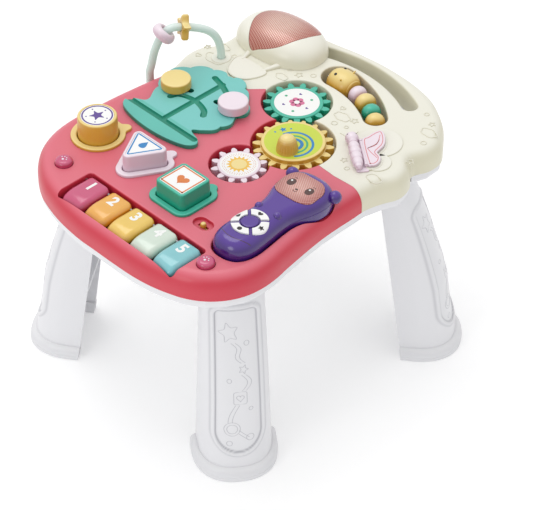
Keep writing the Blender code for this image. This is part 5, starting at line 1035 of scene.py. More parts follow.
def tree_plastic():
    """The tree plate: turquoise crown, greener ground below a line, and painted shade in the grooves and on the
    rounded edge, where only the level top takes the lighter tone.
    """
    made, tree, shader = new_material("tree_plastic")
    top = PANEL_TOP + GAP + TREE_THICKNESS
    place_at = add(tree, "ShaderNodeTexCoord").outputs["Object"]
    along = add(tree, "ShaderNodeSeparateXYZ", {0: place_at}).outputs["Y"]
    edge = float(tree_point((0.0, ground_edge_share))[1])
    ground = add(tree, "ShaderNodeMapRange", {"Value": along, "From Min": edge - GAP * 3,
                 "From Max": edge + GAP * 3})
    tones = []
    # Each pair: painted lit tone for the level top, painted shade tone for the grooves and the edge.
    for upper, lower in (((122, 204, 198), (30, 148, 122)), ((98, 194, 180), (26, 140, 116))):
        look = add(tree, "ShaderNodeGroup", node_tree=moulding_and_painted_light)
        for key, value in (("Painted Lit Tone", paint(*upper)), ("Painted Shade Tone", paint(*lower)),
                           ("Low", top - GROOVE_DEPTH * 0.7), ("High", top - GROOVE_DEPTH * 0.4),
                           ("Gloss", 0.3), ("Flow", 0.1)):
            look.inputs[key].default_value = value
        tones.append(look)
    mixed = add(tree, "ShaderNodeMixRGB", {"Fac": ground.outputs[0], "Color1": tones[1].outputs["Tone"],
                "Color2": tones[0].outputs["Tone"]})
    bump = add(tree, "ShaderNodeBump", {"Strength": 0.06, "Distance": 0.0003,
               "Height": tones[0].outputs["Grain"]})
    tree.links.new(mixed.outputs[0], shader.inputs["Base Color"])
    tree.links.new(tones[0].outputs["Roughness"], shader.inputs["Roughness"])
    tree.links.new(bump.outputs["Normal"], shader.inputs["Normal"])
    shader.inputs["Coat Weight"].default_value = 0.2
    return made


ground_edge_share = -0.545

# Each finish: a painted lit tone for level faces, then a painted shade tone for the rest; on coral and cream only
# the level top plate is lit, so wells, floors and flanks carry painted shade.
coral = plastic("coral", (226, 112, 128), (203, 50, 70), 0.2600, 0.2698, coat=0.15,
                gloss=0.34)
cream = plastic("cream", (240, 238, 224), (218, 214, 190), 0.2560, 0.2698, coat=0.15,
                gloss=0.34)
cream_relief = plastic("cream_relief", (242, 240, 228), (214, 210, 188), coat=0.1,
                       gloss=0.36)
dome_cream = plastic("dome_cream", (244, 242, 230), (226, 222, 202), coat=0.3)
grey = plastic("pale_grey", (238, 238, 240), (226, 226, 229), coat=0.2)
# leg_grey: its edge colour is painted shade where the leg's points mark the panel's creases.
leg_grey = plastic("leg_grey", (238, 238, 240), (226, 226, 229), coat=0.2, edge=(176, 176, 182))
# The dark lower tone paints shade on the sides of the raised lines.
leg_line = plastic("leg_line", (232, 232, 235), (190, 190, 195), coat=0.1)
shoe_grey = plastic("shoe_grey", (234, 234, 236), (222, 222, 225), coat=0.1, gloss=0.4)
tree_finish = tree_plastic()
teal = plastic("teal", (76, 190, 165), (22, 152, 122))
gold = plastic("gold", (243, 218, 142), (204, 156, 52))
knob_gold = plastic("knob_gold", (246, 224, 152), (206, 164, 66))
pink = plastic("pink", (243, 229, 238), (214, 188, 202))
magenta = plastic("magenta", (206, 84, 124), (176, 44, 84), flow=0.8, scale=60.0,
                  gloss=0.14, coat=0.8)
orange = plastic("orange", (240, 178, 82), (222, 148, 40), flow=0.8, scale=60.0,
                 gloss=0.14, coat=0.8)
yellow = plastic("yellow", (240, 202, 100), (222, 172, 56), flow=0.8, scale=60.0,
                 gloss=0.14, coat=0.8)
pale_green = plastic("pale_green", (216, 230, 216), (188, 212, 192), flow=0.8,
                     scale=60.0, gloss=0.14, coat=0.8)
aqua = plastic("aqua", (136, 202, 208), (96, 178, 188), flow=0.8, scale=60.0, gloss=0.14,
               coat=0.8)
mint = plastic("mint", (226, 240, 234), (206, 226, 218))
purple = plastic("purple", (84, 50, 150), (58, 26, 112), gloss=0.2, coat=0.6)
white = plastic("white", (250, 250, 248), (236, 236, 236))
black = plastic("black", (40, 34, 34), (24, 20, 20))
eye_brown = plastic("eye_brown", (74, 34, 24), (50, 22, 16), coat=0.8)
violet_print = plastic("violet_print", (96, 70, 150), (96, 70, 150))
blue_print = plastic("blue_print", (46, 134, 198), (46, 134, 198))
orange_print = plastic("orange_print", (224, 128, 62), (224, 128, 62))
lime_print = plastic("lime_print", (206, 222, 74), (206, 222, 74))
green_print = plastic("green_print", (70, 176, 130), (70, 176, 130))
pink_print = plastic("pink_print", (222, 120, 160), (222, 120, 160))
line_print = plastic("line_print", (226, 138, 142), (226, 138, 142))
sun_print = plastic("sun_print", (244, 196, 84), (244, 196, 84))
steel = plastic("steel", (178, 178, 182), (150, 150, 156), metallic=1.0, gloss=0.24)
rubber = plastic("rubber", (34, 34, 36), (24, 24, 26), gloss=0.6, coat=0.0, grain=0.3)


# Covers

def slot_outline():
    """The carrying slot: a bowed line from end to end, widened to a band with round ends."""
    left, right = place("slot_left"), place("slot_right")
    chord = right - left
    length = np.linalg.norm(chord)
    bow = np.array((-chord[1], chord[0])) / length
    radius = (length / 2) ** 2 / (2 * SLOT_SAG) + SLOT_SAG / 2
    centre = (left + right) / 2 + bow * (SLOT_SAG - radius)
    start = math.atan2(*(left - centre)[::-1])
    end = math.atan2(*(right - centre)[::-1])
    return band(arc(centre, radius, start, end, 41), SLOT_HALF_WIDTH, 13)


def bead_well_outline():
    """The bead well: the wire's bend widened from tail to head."""
    start, stop = -BEAD_WELL_END + BEAD_WELL_HEAD * 0.6, inchworm_places()[-1]
    distances = np.linspace(start, stop, 25)
    centre, radius, first, _ = inchworm_line()
    angle = first - distances / radius
    path = centre + radius * np.stack((np.cos(angle), np.sin(angle)), axis=1)
    share = (distances - start) / (stop - start)
    return band(path, BEAD_WELL_HEAD + (BEAD_WELL_TAIL - BEAD_WELL_HEAD) * share, 19)


def well_levels(floor, lip=LIP * 1.2, foot=0.0012):
    """A well's wall: a coved foot, an upright wall and a lip rounded as a quarter circle."""
    t = np.linspace(0.0, math.pi / 2, 7)
    cove = zip(-foot * (1 - np.sin(t)), floor + foot * (1 - np.cos(t)))
    edge = zip(lip * (1 - np.cos(t)), PANEL_TOP - lip + lip * np.sin(t))
    return [*cove, *edge, (lip, PANEL_TOP + LIP)]


def well(outline, floor, **sizes):
    return solid("well", rows(outline, well_levels(floor, **sizes)))


def covers():
    """Both covers: a shell whose edge is a quarter ellipse in each upright section, less its
    cavity, wells, holes and slot, parted along the line between the two colours."""
    shell = []
    for angle in np.linspace(0.0, math.pi / 2, 11):
        inset = edge_round(TABLE) * (1 - math.cos(angle))
        z = PANEL_TOP - EDGE_ROUND_HEIGHT * (1 - math.sin(angle))
        shell.append(at_height(refine(offset(TABLE, -inset), 4), z))
    cover = solid("cover", np.stack((at_height(refine(TABLE, 4), RIM), *shell)))
    inner = [at_height(refine(offset(TABLE_INSIDE, -WALL), 4), RIM - OVERRUN)]
    for angle in np.radians((0.0, 50.0, 72.0, 90.0)):
        inset = WALL + edge_round(TABLE_INSIDE) * (1 - math.cos(angle))
        inner.append(at_height(refine(offset(TABLE_INSIDE, -inset), 4),
                               PLATE_UNDER - (EDGE_ROUND_HEIGHT - WALL) * (1 - math.sin(angle))))
    cavity = solid("cavity", np.stack(inner))
    cradle = offset(handset_outline(), CRADLE_GAP * 2)
    wells = {
        "keys": (rounded_key_well(), KEY_FLOOR), "cradle": (cradle, CRADLE_FLOOR),
        "beads": (bead_well_outline(), BEAD_FLOOR),
        "crank": (circle(gear_well_radius(CRANK_TEETH), CRANK_CENTRE, 120), GEAR_FLOOR),
        "flower": (circle(gear_well_radius(FLOWER_TEETH), FLOWER_CENTRE, 104), GEAR_FLOOR),
        "sun": (circle(gear_well_radius(SUN_TEETH), SUN_CENTRE, 96), GEAR_FLOOR),
        "switch": (capsule(place("switch") - (SWITCH_HALF_LENGTH - SWITCH_HALF_WIDTH, 0.0),
                           place("switch") + (SWITCH_HALF_LENGTH - SWITCH_HALF_WIDTH, 0.0),
                           SWITCH_HALF_WIDTH, 17), SWITCH_FLOOR)}
    for outline, floor in wells.values():
        cut(cavity, well_block("stock", outline, floor))
    cut(cavity, prism("column", offset(slot_outline(), WALL), RIM - OVERRUN * 2, PANEL_TOP),
        prism("socket", circle(HOOP_RADIUS + HOOP_SOCKET_WALL, place("hoop_inner"), 16),
              PANEL_TOP - HOOP_SOCKET_DEPTH - WALL, PANEL_TOP))
    cut(cover, cavity)
    for name in ("keys", "cradle", "beads"):
        cut(cover, well(*wells[name]))
    gears = well(*wells["crank"])
    fuse(gears, well(*wells["flower"]), well(*wells["sun"]))
    cut(cover, gears)
    cut(cover, well(*wells["switch"], lip=LIP / 2, foot=GAP))
    for hole in through_holes():
        cut(cover, solid("hole", hole))
    lip = LIP * 2
    edge = [(lip * (1 - math.cos(t)), PANEL_TOP - lip + lip * math.sin(t))
            for t in np.linspace(0.0, math.pi / 2, 8)]
    cut(cover, solid("slot", rows(slot_outline(), [(0.0, RIM - OVERRUN), *edge, (lip, PANEL_TOP + LIP)])))
    rear = copy_of(cover, "rear")
    keep(cover, parting_prism("front_half", -1))
    keep(rear, parting_prism("rear_half", 1))
    cover.name = "red_cover_smooth"
    rear.name = "cream_cover_smooth"
    dress(cover, coral, "table", "red_cover")
    dress(rear, cream, "table", "cream_cover")


def rounded_key_well():
    half = KEY_COUNT * KEY_PITCH / 2 + KEY_WELL_SIDE
    middle = place("keys")[0]
    back = key_back() + WELL_MARGIN
    front = key_back() - KEY_LENGTH - KEY_FRONT_GAP
    corner = WELL_MARGIN * 1.3
    return rounded_corners(((middle - half + corner, front + corner), (middle + half - corner, front + corner),
                            (middle + half - corner, back - corner),
                            (middle - half + corner, back - corner)), corner, 14)


def through_holes():
    """Holes through the covers' top plate, for seats, buttons, tree, hoop and switch."""
    low, top = PLATE_UNDER - OVERRUN, PANEL_TOP + OVERRUN
    holes = []
    for kind, outline in seat_shapes().items():
        hole = offset(outline, BLOCK_GAP + SEAT_FLOOR + GAP) + place(kind + "_seat")
        holes.append(rows(hole, ((0.0, low), (0.0, top))))
    for name in ("left_button", "right_button"):
        holes.append(rows(circle(BUTTON_RADIUS + RUNNING_GAP, place(name), 48), ((0.0, low), (0.0, top))))
    holes.append(rows(offset(tree_outline(190, 0.0), -TREE_SEAT), ((0.0, low), (0.0, top))))
    holes.append(rows(circle(HOOP_RADIUS + GAP, place("hoop_inner"), 32),
                      ((0.0, PANEL_TOP - HOOP_SOCKET_DEPTH - GAP), (0.0, top))))
    holes.append(rows(rectangle(SWITCH_SLOT_LENGTH / 2, SWITCH_SLOT_WIDTH / 2, SWITCH_SLOT_WIDTH / 4,
                                place("switch"), 6),
                      ((0.0, SWITCH_FLOOR - WALL - OVERRUN), (0.0, SWITCH_FLOOR + OVERRUN))))
    return holes


# Seats, blocks and their printed caps

def seat_shapes():
    reach, side = TRIANGLE_REACH, TRIANGLE_REACH * math.sqrt(3) / 2
    half = SQUARE_BLOCK_HALF - SQUARE_CORNER
    return {"circle": circle(CIRCLE_BLOCK_RADIUS, sides=96),
            "triangle": rounded_corners(((0.0, -reach), (side, reach / 2), (-side, reach / 2)),
                                        TRIANGLE_CORNER, 25),
            "square": rounded_corners(((-half, -half), (half, -half), (half, half), (-half, half)),
                                      SQUARE_CORNER, 20)}


def polar(outline, angles):
    """The outline's distance from its centre in each direction: where a ray meets its sides."""
    way = np.stack((np.cos(angles), np.sin(angles)), axis=1)[:, None]
    near = outline[None]
    side = np.roll(outline, -1, axis=0)[None] - near
    turn = way[..., 0] * side[..., 1] - way[..., 1] * side[..., 0]
    along = (near[..., 0] * side[..., 1] - near[..., 1] * side[..., 0]) / turn
    share = (near[..., 0] * way[..., 1] - near[..., 1] * way[..., 0]) / turn
    hit = (share > -1e-6) & (share < 1 + 1e-6) & (along > 0)
    return np.where(hit, along, 0.0).max(axis=1)


def seat_rows(outline):
    """A seat ring with its ear: in each direction the outer line is the larger of the ring and the
    ear's circle, softened where they meet; the inner line is the block's outline and its gap."""
    angles = np.linspace(0.0, 2 * math.pi, 180, endpoint=False)
    way = np.stack((np.cos(angles), np.sin(angles)), axis=1)
    ring = polar(offset(outline, SEAT_RING), angles)
    ear_at, ear_way = math.hypot(EAR_X, EAR_Y), math.atan2(EAR_Y, EAR_X)
    across = ear_at * np.sin(angles - ear_way)
    inside = np.abs(across) < EAR_RADIUS * 0.999
    ear = np.where(inside, ear_at * np.cos(angles - ear_way)
                   + np.sqrt(np.maximum(EAR_RADIUS ** 2 - across ** 2, 0.0)), 0.0)
    outer = np.maximum(ring, ear)
    for _ in range(3):
        outer = (np.roll(outer, 1) + 2 * outer + np.roll(outer, -1)) / 4
    hollow = polar(offset(outline, BLOCK_GAP), angles)
    low, top = PANEL_TOP + GAP, PANEL_TOP + GAP + SEAT_HEIGHT
    floor = PANEL_TOP - SEAT_DEPTH
    cup = polar(offset(outline, BLOCK_GAP + SEAT_FLOOR), angles)
    t = np.linspace(0.0, math.pi / 2, 7)
    edge = BLOCK_EDGE * 0.8
    levels = [(cup, floor - SEAT_FLOOR), (cup, low), (outer, low), (outer, top - edge)]
    levels += [(outer - edge * (1 - math.cos(a)), top - edge * (1 - math.sin(a))) for a in t]
    levels += [(hollow + edge * (1 - math.sin(a)), top - edge * (1 - math.cos(a))) for a in t]
    levels += [(hollow, floor)]
    return np.stack([at_height(way * radius[:, None], z) for radius, z in levels])


def block_rows(outline, top):
    """A block: walls with a slight draft, a rounded edge, and a sunk place for its cap."""
    foot = PANEL_TOP - SEAT_DEPTH + GAP
    levels = [(0.0, foot), (-BLOCK_DRAFT * 0.9, top - BLOCK_EDGE * 1.1)]
    levels += top_round(-BLOCK_DRAFT, top, BLOCK_EDGE, 8)[1:]
    levels += [(-CAP_RIM, top), (-CAP_RIM - GAP, top - CAP_DEPTH)]
    return rows(outline, levels)


def flat(outline, low, high, edge=GAP / 3):
    """A thin printed shape with a slightly rounded edge."""
    return rows(outline, ((0.0, low), (0.0, high - edge), (-edge, high)))


def ring_band(outline, inner, outer, low, high):
    """A printed band along an outline: a closed strip carried round it."""
    return np.stack([at_height(offset(outline, out), z)
                     for out, z in ((outer, low), (outer, high), (inner, high), (inner, low))])


def star_points(radius, inner_share, points, turn=math.pi / 2, centre=(0.0, 0.0), count=80):
    """A star with soft corners: its radius goes up and down between two values."""
    k = np.arange(points * 2)
    radii = np.where(k % 2 == 0, radius, radius * inner_share)
    angle = turn + math.pi * k / points
    corners = np.stack((np.cos(angle), np.sin(angle)), axis=1) * radii[:, None]
    return smooth_loop(corners, count) + centre


def heart_points(size, centre=(0.0, 0.0)):
    """The classic heart curve: sixteen sine cubed across, cosines of one to four times the angle up."""
    t = np.linspace(0.0, 2 * math.pi, 60, endpoint=False)
    x = 16 * np.sin(t) ** 3
    y = 13 * np.cos(t) - 5 * np.cos(2 * t) - 2 * np.cos(3 * t) - np.cos(4 * t)
    return np.stack((x, y), axis=1)[::-1] * size / 16 + centre


def drop_points(size, centre=(0.0, 0.0)):
    """A water drop: a circle drawn out to a point at its top."""
    t = np.linspace(0.0, 2 * math.pi, 60, endpoint=False)
    x = np.sin(t) * np.sin(t / 2) ** 1.6
    return np.stack((x, np.cos(t)), axis=1)[::-1] * size + centre


def seats_and_blocks():
    heights = {"circle": CIRCLE_BLOCK_HEIGHT, "triangle": TRIANGLE_BLOCK_HEIGHT,
               "square": SQUARE_BLOCK_HEIGHT}
    finishes = {"circle": gold, "triangle": pink, "square": teal}
    prints = {"circle": violet_print, "triangle": blue_print, "square": orange_print}
    motifs = {"circle": [star_points(0.0085, 0.5, 5)] + [circle(0.0009, (0.0118 * math.cos(a), 0.0118 * math.sin(a)), 16)
                                                          for a in np.radians((20, 92, 164, 236, 308))],
              "triangle": [drop_points(0.0062, (0.0, 0.002))],
              "square": [heart_points(0.0076, (0.0, -0.001))]}
    for kind, outline in seat_shapes().items():
        centre = (*place(kind + "_seat"), 0.0)
        dress(solid(kind + "_seat_ring", seat_rows(outline) + centre), finishes[kind], "table", kind + "_seat")
        top = PANEL_TOP + heights[kind]
        dress(solid(kind + "_block_case", block_rows(outline, top) + centre), finishes[kind],
              kind + "_block", kind + "_block")
        under = top - CAP_DEPTH
        dress(solid(kind + "_cap", flat(offset(outline, -CAP_RIM - GAP), under - GAP, top - GAP) + centre),
              white, kind + "_block")
        line = offset(outline, -CAP_RIM - 0.0022)
        dress(solid(kind + "_cap_line", ring_band(line, -0.0008, 0.0008, top - GAP * 2, top - GAP * 0.6) + centre,
                    ring=True), prints[kind], kind + "_block")
        dress(solid(kind + "_cap_motif", *[flat(shape, top - GAP * 2, top - GAP * 0.6) + centre
                                           for shape in motifs[kind]]), prints[kind], kind + "_block")


# Tree plate and knobs

def tree_outline(count=420, swell=0.0042):
    """The tree from above: its crown's outline swells in lobes of equal length."""
    centre = place("tree")
    shape = smooth_loop(on_shares(tree_shares[::-1], TREE_HALF_WIDTH, TREE_HALF_DEPTH, centre), count)
    if (np.roll(shape[:, 0], -1) * shape[:, 1] - shape[:, 0] * np.roll(shape[:, 1], -1)).sum() > 0:
        shape = shape[::-1]
    step = np.linalg.norm(np.roll(shape, -1, axis=0) - shape, axis=1).mean()
    lobe = np.abs(np.sin(np.arange(len(shape)) * step * math.pi / lobe_length)) ** 0.7
    crown = np.clip((shape[:, 1] - centre[1]) / TREE_HALF_DEPTH * 4 + 1.6, 0.0, 1.0)
    return offset(shape, crown * (lobe - 0.6) * swell)


lobe_length = 0.0275


def tree_and_knobs():
    low = PANEL_TOP + GAP
    top = low + TREE_THICKNESS
    plate = solid("tree_plate_smooth", rows(tree_outline(), [(0.0, low), *top_round(0.0, top, TREE_EDGE, 7)]))
    half = GROOVE_WIDTH / 2
    for shares in (ground_groove_shares, trunk_groove_shares, umbrella_groove_shares, hook_groove_shares):
        path = smooth_path([tree_point(share) for share in shares], 33)
        edge = [(LIP / 3 * (1 - math.cos(t)), top - LIP / 3 * (1 - math.sin(t)))
                for t in np.linspace(0.0, math.pi / 2, 5)]
        cut(plate, solid("groove", rows(band(path, half, 15),
                                        [(-half * 0.3, top - GROOVE_DEPTH), (-GAP, top - GROOVE_DEPTH * 0.7),
                                         *edge, (LIP / 3, top + OVERRUN)])))
    for name, shares, finish in (("yellow_knob", yellow_slot_shares, knob_gold),
                                 ("pink_knob", pink_slot_shares, pink)):
        start, end = (tree_point(share) for share in shares)
        cut(plate, prism("slot", capsule(start, end, STEM_RADIUS + RUNNING_GAP, 15), low - OVERRUN,
                         top + OVERRUN))
        under = top + KNOB_LIFT
        high = under + KNOB_THICKNESS
        t = np.linspace(0.0, math.pi / 2, 9)
        profile = [(STEM_RADIUS, top - TREE_THICKNESS / 2), (STEM_RADIUS, top + GAP),
                   (STEM_RADIUS * 2, top + GAP), (STEM_RADIUS * 2, under), (KNOB_RADIUS - LIP / 2, under),
                   (KNOB_RADIUS, under + LIP / 2)]
        profile += [(KNOB_RADIUS - KNOB_EDGE * (1 - math.cos(a)), high - KNOB_EDGE * (1 - math.sin(a)))
                    for a in t]
        profile += [(KNOB_RADIUS * share, high - GAP * share ** 2) for share in (0.6, 0.3, 0.01)]
        dress(solid(name + "_cap", turned_rows(profile, start)), finish, name, name)
    dress(plate, tree_finish, "table", "tree_plate")


# Gears

def gear_teeth(teeth, turn):
    """Involute teeth drawn finely: at each radius a tooth is as wide as its unwound base circle
    leaves it; root and tip corners are softened by the closed curve through the points."""
    pitch = pitch_radius(teeth)
    base = pitch * math.cos(PRESSURE_ANGLE)
    tip = pitch + GEAR_MODULE * gear_tip_share
    root = pitch - GEAR_MODULE * gear_tip_share - TIP_CLEARANCE
    radii = np.linspace(max(base, root), tip, 6)
    half_at_pitch = math.pi / (2 * teeth) * gear_width_share
    slope = np.arccos(np.minimum(1.0, base / radii))
    halves = half_at_pitch + involute(PRESSURE_ANGLE) - (np.tan(slope) - slope)
    radii[0] = min(radii[0], root)
    radii[-1] -= GEAR_MODULE * 0.06
    radius = np.concatenate((radii, radii[::-1]))
    angle = np.concatenate((-halves, halves[::-1]))
    middle = turn + 2 * math.pi * np.arange(teeth)[:, None] / teeth
    all_angles = (middle + angle).reshape(-1)
    all_radii = np.tile(radius, teeth)
    return refine(np.stack((np.cos(all_angles), np.sin(all_angles)), axis=1) * all_radii[:, None], 2)


def wheel(name, teeth, centre, turn, disc_rise, finish):
    """A toothed wheel with rounded tooth tops and a raised disc with a rounded rim."""
    low = GEAR_FLOOR + GEAR_FLOOR_GAP
    high = low + GEAR_THICKNESS
    place_at = (*centre, 0.0)
    outline = gear_teeth(teeth, turn)
    t = np.linspace(0.0, math.pi / 2, 5)
    levels = [(0.0, low), (0.0, high - 0.0006)] + [(-0.0006 * (1 - math.cos(a)), high - 0.0006 * (1 - math.sin(a)))
                                                 for a in t[1:]]
    disc = pitch_radius(teeth) * GEAR_DISC_SHARE
    top = high + disc_rise
    profile = [(disc, high - GEAR_ROUND)]
    profile += [(disc - GEAR_ROUND * (1 - math.cos(a)), top - GEAR_ROUND * (1 - math.sin(a)))
                for a in np.linspace(0.0, math.pi / 2, 8)]
    grids = [rows(outline, levels) + place_at, turned_rows(profile, sides=120) + place_at]
    dress(solid(name + "_wheel", *grids), finish, name, name)
    return top, disc


def print_on(name, body, centre, z, finish, *shapes):
    """Printed shapes lying on a face."""
    grids = [flat(shape, z - GAP, z) + (*centre, 0.0) for shape in shapes]
    return dress(solid(name, *grids), finish, body)


def arc_band(radius, half_width, start, end, centre=(0.0, 0.0)):
    return band(arc(centre, radius, math.radians(start), math.radians(end), 41), half_width, 7)


def gears():
    top, disc = wheel("crank_gear", CRANK_TEETH, CRANK_CENTRE, 0.0, CRANK_DISC_RISE, gold)
    rise = GAP / 3
    print_on("crank_print", "crank_gear", CRANK_CENTRE, top + rise, lime_print, circle(disc * 0.90, sides=120))
    off = (0.0045, -0.004)
    print_on("crank_arcs_blue", "crank_gear", CRANK_CENTRE, top + rise * 2, blue_print,
             arc_band(0.0205, 0.0014, -40, 165, off), arc_band(0.0088, 0.0019, -50, 150, off))
    print_on("crank_arcs_green", "crank_gear", CRANK_CENTRE, top + rise * 2, green_print,
             arc_band(0.0145, 0.0012, -45, 158, off))
    print_on("crank_stars", "crank_gear", CRANK_CENTRE, top + rise * 2, blue_print,
             star_points(0.0042, 0.5, 5, centre=(-0.0215, 0.006)), circle(0.0012, (-0.0165, 0.013), 20),
             circle(0.0012, (-0.0245, -0.003), 20))
    knob_at = CRANK_CENTRE + CRANK_KNOB_OFFSET * np.array((math.cos(CRANK_KNOB_ANGLE),
                                                           math.sin(CRANK_KNOB_ANGLE)))
    share = np.array((0.0, 0.08, 0.28, 0.50, 0.66, 0.78, 0.87, 0.94, 0.98, 1.0))
    width = np.array((1.02, 0.98, 0.94, 0.88, 0.81, 0.71, 0.58, 0.40, 0.23, 0.03))
    fine = np.linspace(0.0, 1.0, 41)
    fine = 1 - (1 - fine) ** 1.6
    radius = CRANK_KNOB_RADIUS * np.interp(fine, share, width)
    angles = np.linspace(0.0, 2 * math.pi, 120, endpoint=False)
    flutes = 1 + 0.030 * np.cos(24 * angles)[None, :] * np.exp(-((fine - 0.32) / 0.24) ** 4)[:, None]
    grid = np.stack((radius[:, None] * flutes * np.cos(angles), radius[:, None] * flutes * np.sin(angles),
                     np.broadcast_to((top - GEAR_ROUND * 0.5 + CRANK_KNOB_HEIGHT * fine)[:, None],
                                     flutes.shape)), axis=2)
    dress(solid("crank_knob", grid + (*knob_at, 0.0)), knob_gold, "crank_gear")
    top, disc = wheel("flower_gear", FLOWER_TEETH, FLOWER_CENTRE,
                      meshing_turn(FLOWER_GEAR_ANGLE, FLOWER_TEETH), SMALL_DISC_RISE, teal)
    print_on("flower_print", "flower_gear", FLOWER_CENTRE, top + rise, white, circle(disc * 0.86, sides=120))
    petals = [circle(0.0034, 0.0052 * np.array((math.cos(a), math.sin(a))), 30)
              for a in np.radians(90 + 60 * np.arange(6))]
    print_on("flower_petals", "flower_gear", FLOWER_CENTRE, top + rise * 2, pink_print, *petals)
    print_on("flower_leaves", "flower_gear", FLOWER_CENTRE, top + rise * 2, green_print,
             *[circle(0.0016, 0.0165 * np.array((math.cos(a), math.sin(a))), 24)
               for a in np.radians(60 + 120 * np.arange(3))])
    print_on("flower_buds", "flower_gear", FLOWER_CENTRE, top + rise * 2, violet_print,
             *[heart_points(0.0018, 0.0150 * np.array((math.cos(a), math.sin(a))))
               for a in np.radians(120 * np.arange(3))])
    print_on("flower_heart", "flower_gear", FLOWER_CENTRE, top + rise * 3, white, circle(0.0030, sides=40))
    top, disc = wheel("sun_gear", SUN_TEETH, SUN_CENTRE, meshing_turn(SUN_GEAR_ANGLE, SUN_TEETH),
                      SMALL_DISC_RISE, pink)
    print_on("sun_print", "sun_gear", SUN_CENTRE, top + rise, white, circle(disc * 0.88, sides=120))
    print_on("sun_rays", "sun_gear", SUN_CENTRE, top + rise * 2, sun_print,
             star_points(disc * 0.60, 0.74, 16, count=192))
    print_on("sun_dots", "sun_gear", SUN_CENTRE, top + rise * 2, orange_print,
             *[circle(0.00045, disc * r * np.array((math.cos(a), math.sin(a))), 12)
               for r, n in ((0.68, 36), (0.76, 42)) for a in 2 * math.pi * np.arange(n) / n])
    print_on("sun_face", "sun_gear", SUN_CENTRE, top + rise * 3, knob_gold, circle(disc * 0.36, sides=60))


# Keys, buttons, switch

def key_side(inset):
    """The key seen from its side, as in the source, with a finer nose."""
    back, front = key_back() - inset * 0.6, key_back() - KEY_LENGTH + inset * 1.9
    top = PANEL_TOP + KEY_PROUD - inset
    bottom = PANEL_TOP + KEY_PROUD - KEY_HEIGHT + inset * 0.3
    drop = min(KEY_FRONT_ROUND * 1.2, top - bottom - KEY_CROWN / 3)
    t = np.linspace(0.0, math.pi / 2, 17)
    nose = np.stack((front + KEY_FRONT_ROUND * 1.45 * (1 - np.sin(t)), top - drop * (1 - np.cos(t))), axis=1)
    heel = np.stack((back - KEY_CROWN * (1 - np.cos(t)), top - KEY_CROWN * (1 - np.sin(t))), axis=1)[::2]
    return np.vstack(((back, bottom), heel, nose, (front, bottom)))


def digit(text, size, centre, z, thickness=GAP):
    """A numeral as a thin mesh, its corner taken off its own middle."""
    curve = bpy.data.curves.new("digit", "FONT")
    curve.body = text
    curve.size = size
    curve.extrude = thickness / 2
    curve.offset = size * 0.035
    curve.align_x = "CENTER"
    curve.align_y = "CENTER"
    thing = bpy.data.objects.new("digit", curve)
    bpy.context.scene.collection.objects.link(thing)
    graph = bpy.context.evaluated_depsgraph_get()
    mesh = bpy.data.meshes.new_from_object(thing.evaluated_get(graph))
    bpy.data.objects.remove(thing)
    mesh.transform(Matrix.Translation((*centre, z)))
    made = bpy.data.objects.new("digit", mesh)
    bpy.context.scene.collection.objects.link(made)
    return made


def keys_and_buttons():
    half = (KEY_PITCH - KEY_SPACE) / 2
    round_side = half * 0.44
    t = np.linspace(math.radians(24.0), math.pi / 2, 14)
    edge_x = half - round_side + round_side * np.cos(t[::-1])
    edge_in = round_side * (1 - np.sin(t[::-1]))
    across = np.concatenate((-edge_x[::-1], edge_x))
    insets = np.concatenate((edge_in[::-1], edge_in))
    for k, finish in enumerate((magenta, orange, yellow, pale_green, aqua)):
        name = "key_%d" % (k + 1)
        grid = np.stack([np.column_stack((np.full(len(key_side(i)), key_x(k) + x), key_side(i)))
                         for x, i in zip(across, insets)])
        dress(solid(name + "_cap", grid), finish, name, name, angle=60.0)
        label = digit(str(k + 1), 0.0185, (key_x(k) - 0.001, key_back() - 0.0125), PANEL_TOP + KEY_PROUD)
        label.name = name + "_number"
        dress(label, white, name)
    dome = np.linspace(0.0, math.pi / 2, 10)
    for name in ("left_button", "right_button"):
        low, top = button_levels()[0], PANEL_TOP + BUTTON_RISE
        profile = [(BUTTON_RADIUS + BUTTON_FLANGE, low), (BUTTON_RADIUS + BUTTON_FLANGE, button_levels()[1]),
                   (BUTTON_RADIUS, button_levels()[1])]
        profile += [(BUTTON_RADIUS - 0.0045 * (1 - math.cos(a)), top - 0.0035 * (1 - math.sin(a))) for a in dome]
        profile += [(BUTTON_RADIUS * 0.02, top + GAP * 0.5)]
        dress(solid(name + "_cap", turned_rows(profile, place(name))), magenta, name, name)
        spots = [(0.0, -0.0012, 0.0016)] + [(0.0036 * math.cos(a), 0.0036 * math.sin(a) - 0.0004, 0.0009)
                                            for a in np.radians((20, 66, 114, 160))]
        bumps = [turned_rows([(r, top - GAP), (r * 0.8, top + GAP), (r * 0.2, top + GAP * 2)],
                             place(name) + (x, y), 20) for x, y, r in spots]
        dress(solid(name + "_pips", *bumps), pink, name)
    centre = place("switch")
    slot_z = SWITCH_FLOOR
    profile = [(SWITCH_KNOB_RADIUS, slot_z + GAP)]
    profile += [(SWITCH_KNOB_RADIUS * math.cos(a) ** 0.6 + GAP / 3, slot_z + SWITCH_KNOB_RISE * (0.3 + 0.7 * math.sin(a)))
                for a in np.linspace(0.0, math.pi / 2 - 0.05, 9)]
    under = SWITCH_FLOOR - WALL - GAP
    plate = rows(rectangle(SWITCH_PLATE_LENGTH / 2, SWITCH_PLATE_WIDTH / 2, SWITCH_PLATE_THICKNESS, centre, 4),
                 ((0.0, under - SWITCH_PLATE_THICKNESS), (0.0, under)))
    stem = SWITCH_SLOT_WIDTH / 2 - RUNNING_GAP
    neck = rows(rectangle(stem, stem, stem / 4, centre, 4), ((0.0, under - GAP), (0.0, slot_z + GAP * 3)))
    dress(solid("slider", plate, neck, turned_rows(profile, centre)), gold, "power_slider", "power_slider")


# Hoop and its beads

def hoop_curve():
    """The hoop's middle line, in the upright plane through its two feet, drawn finely."""
    line = hoop_line()
    return np.vstack((line[0], smooth_path(line[1:-1], 90), line[-1]))


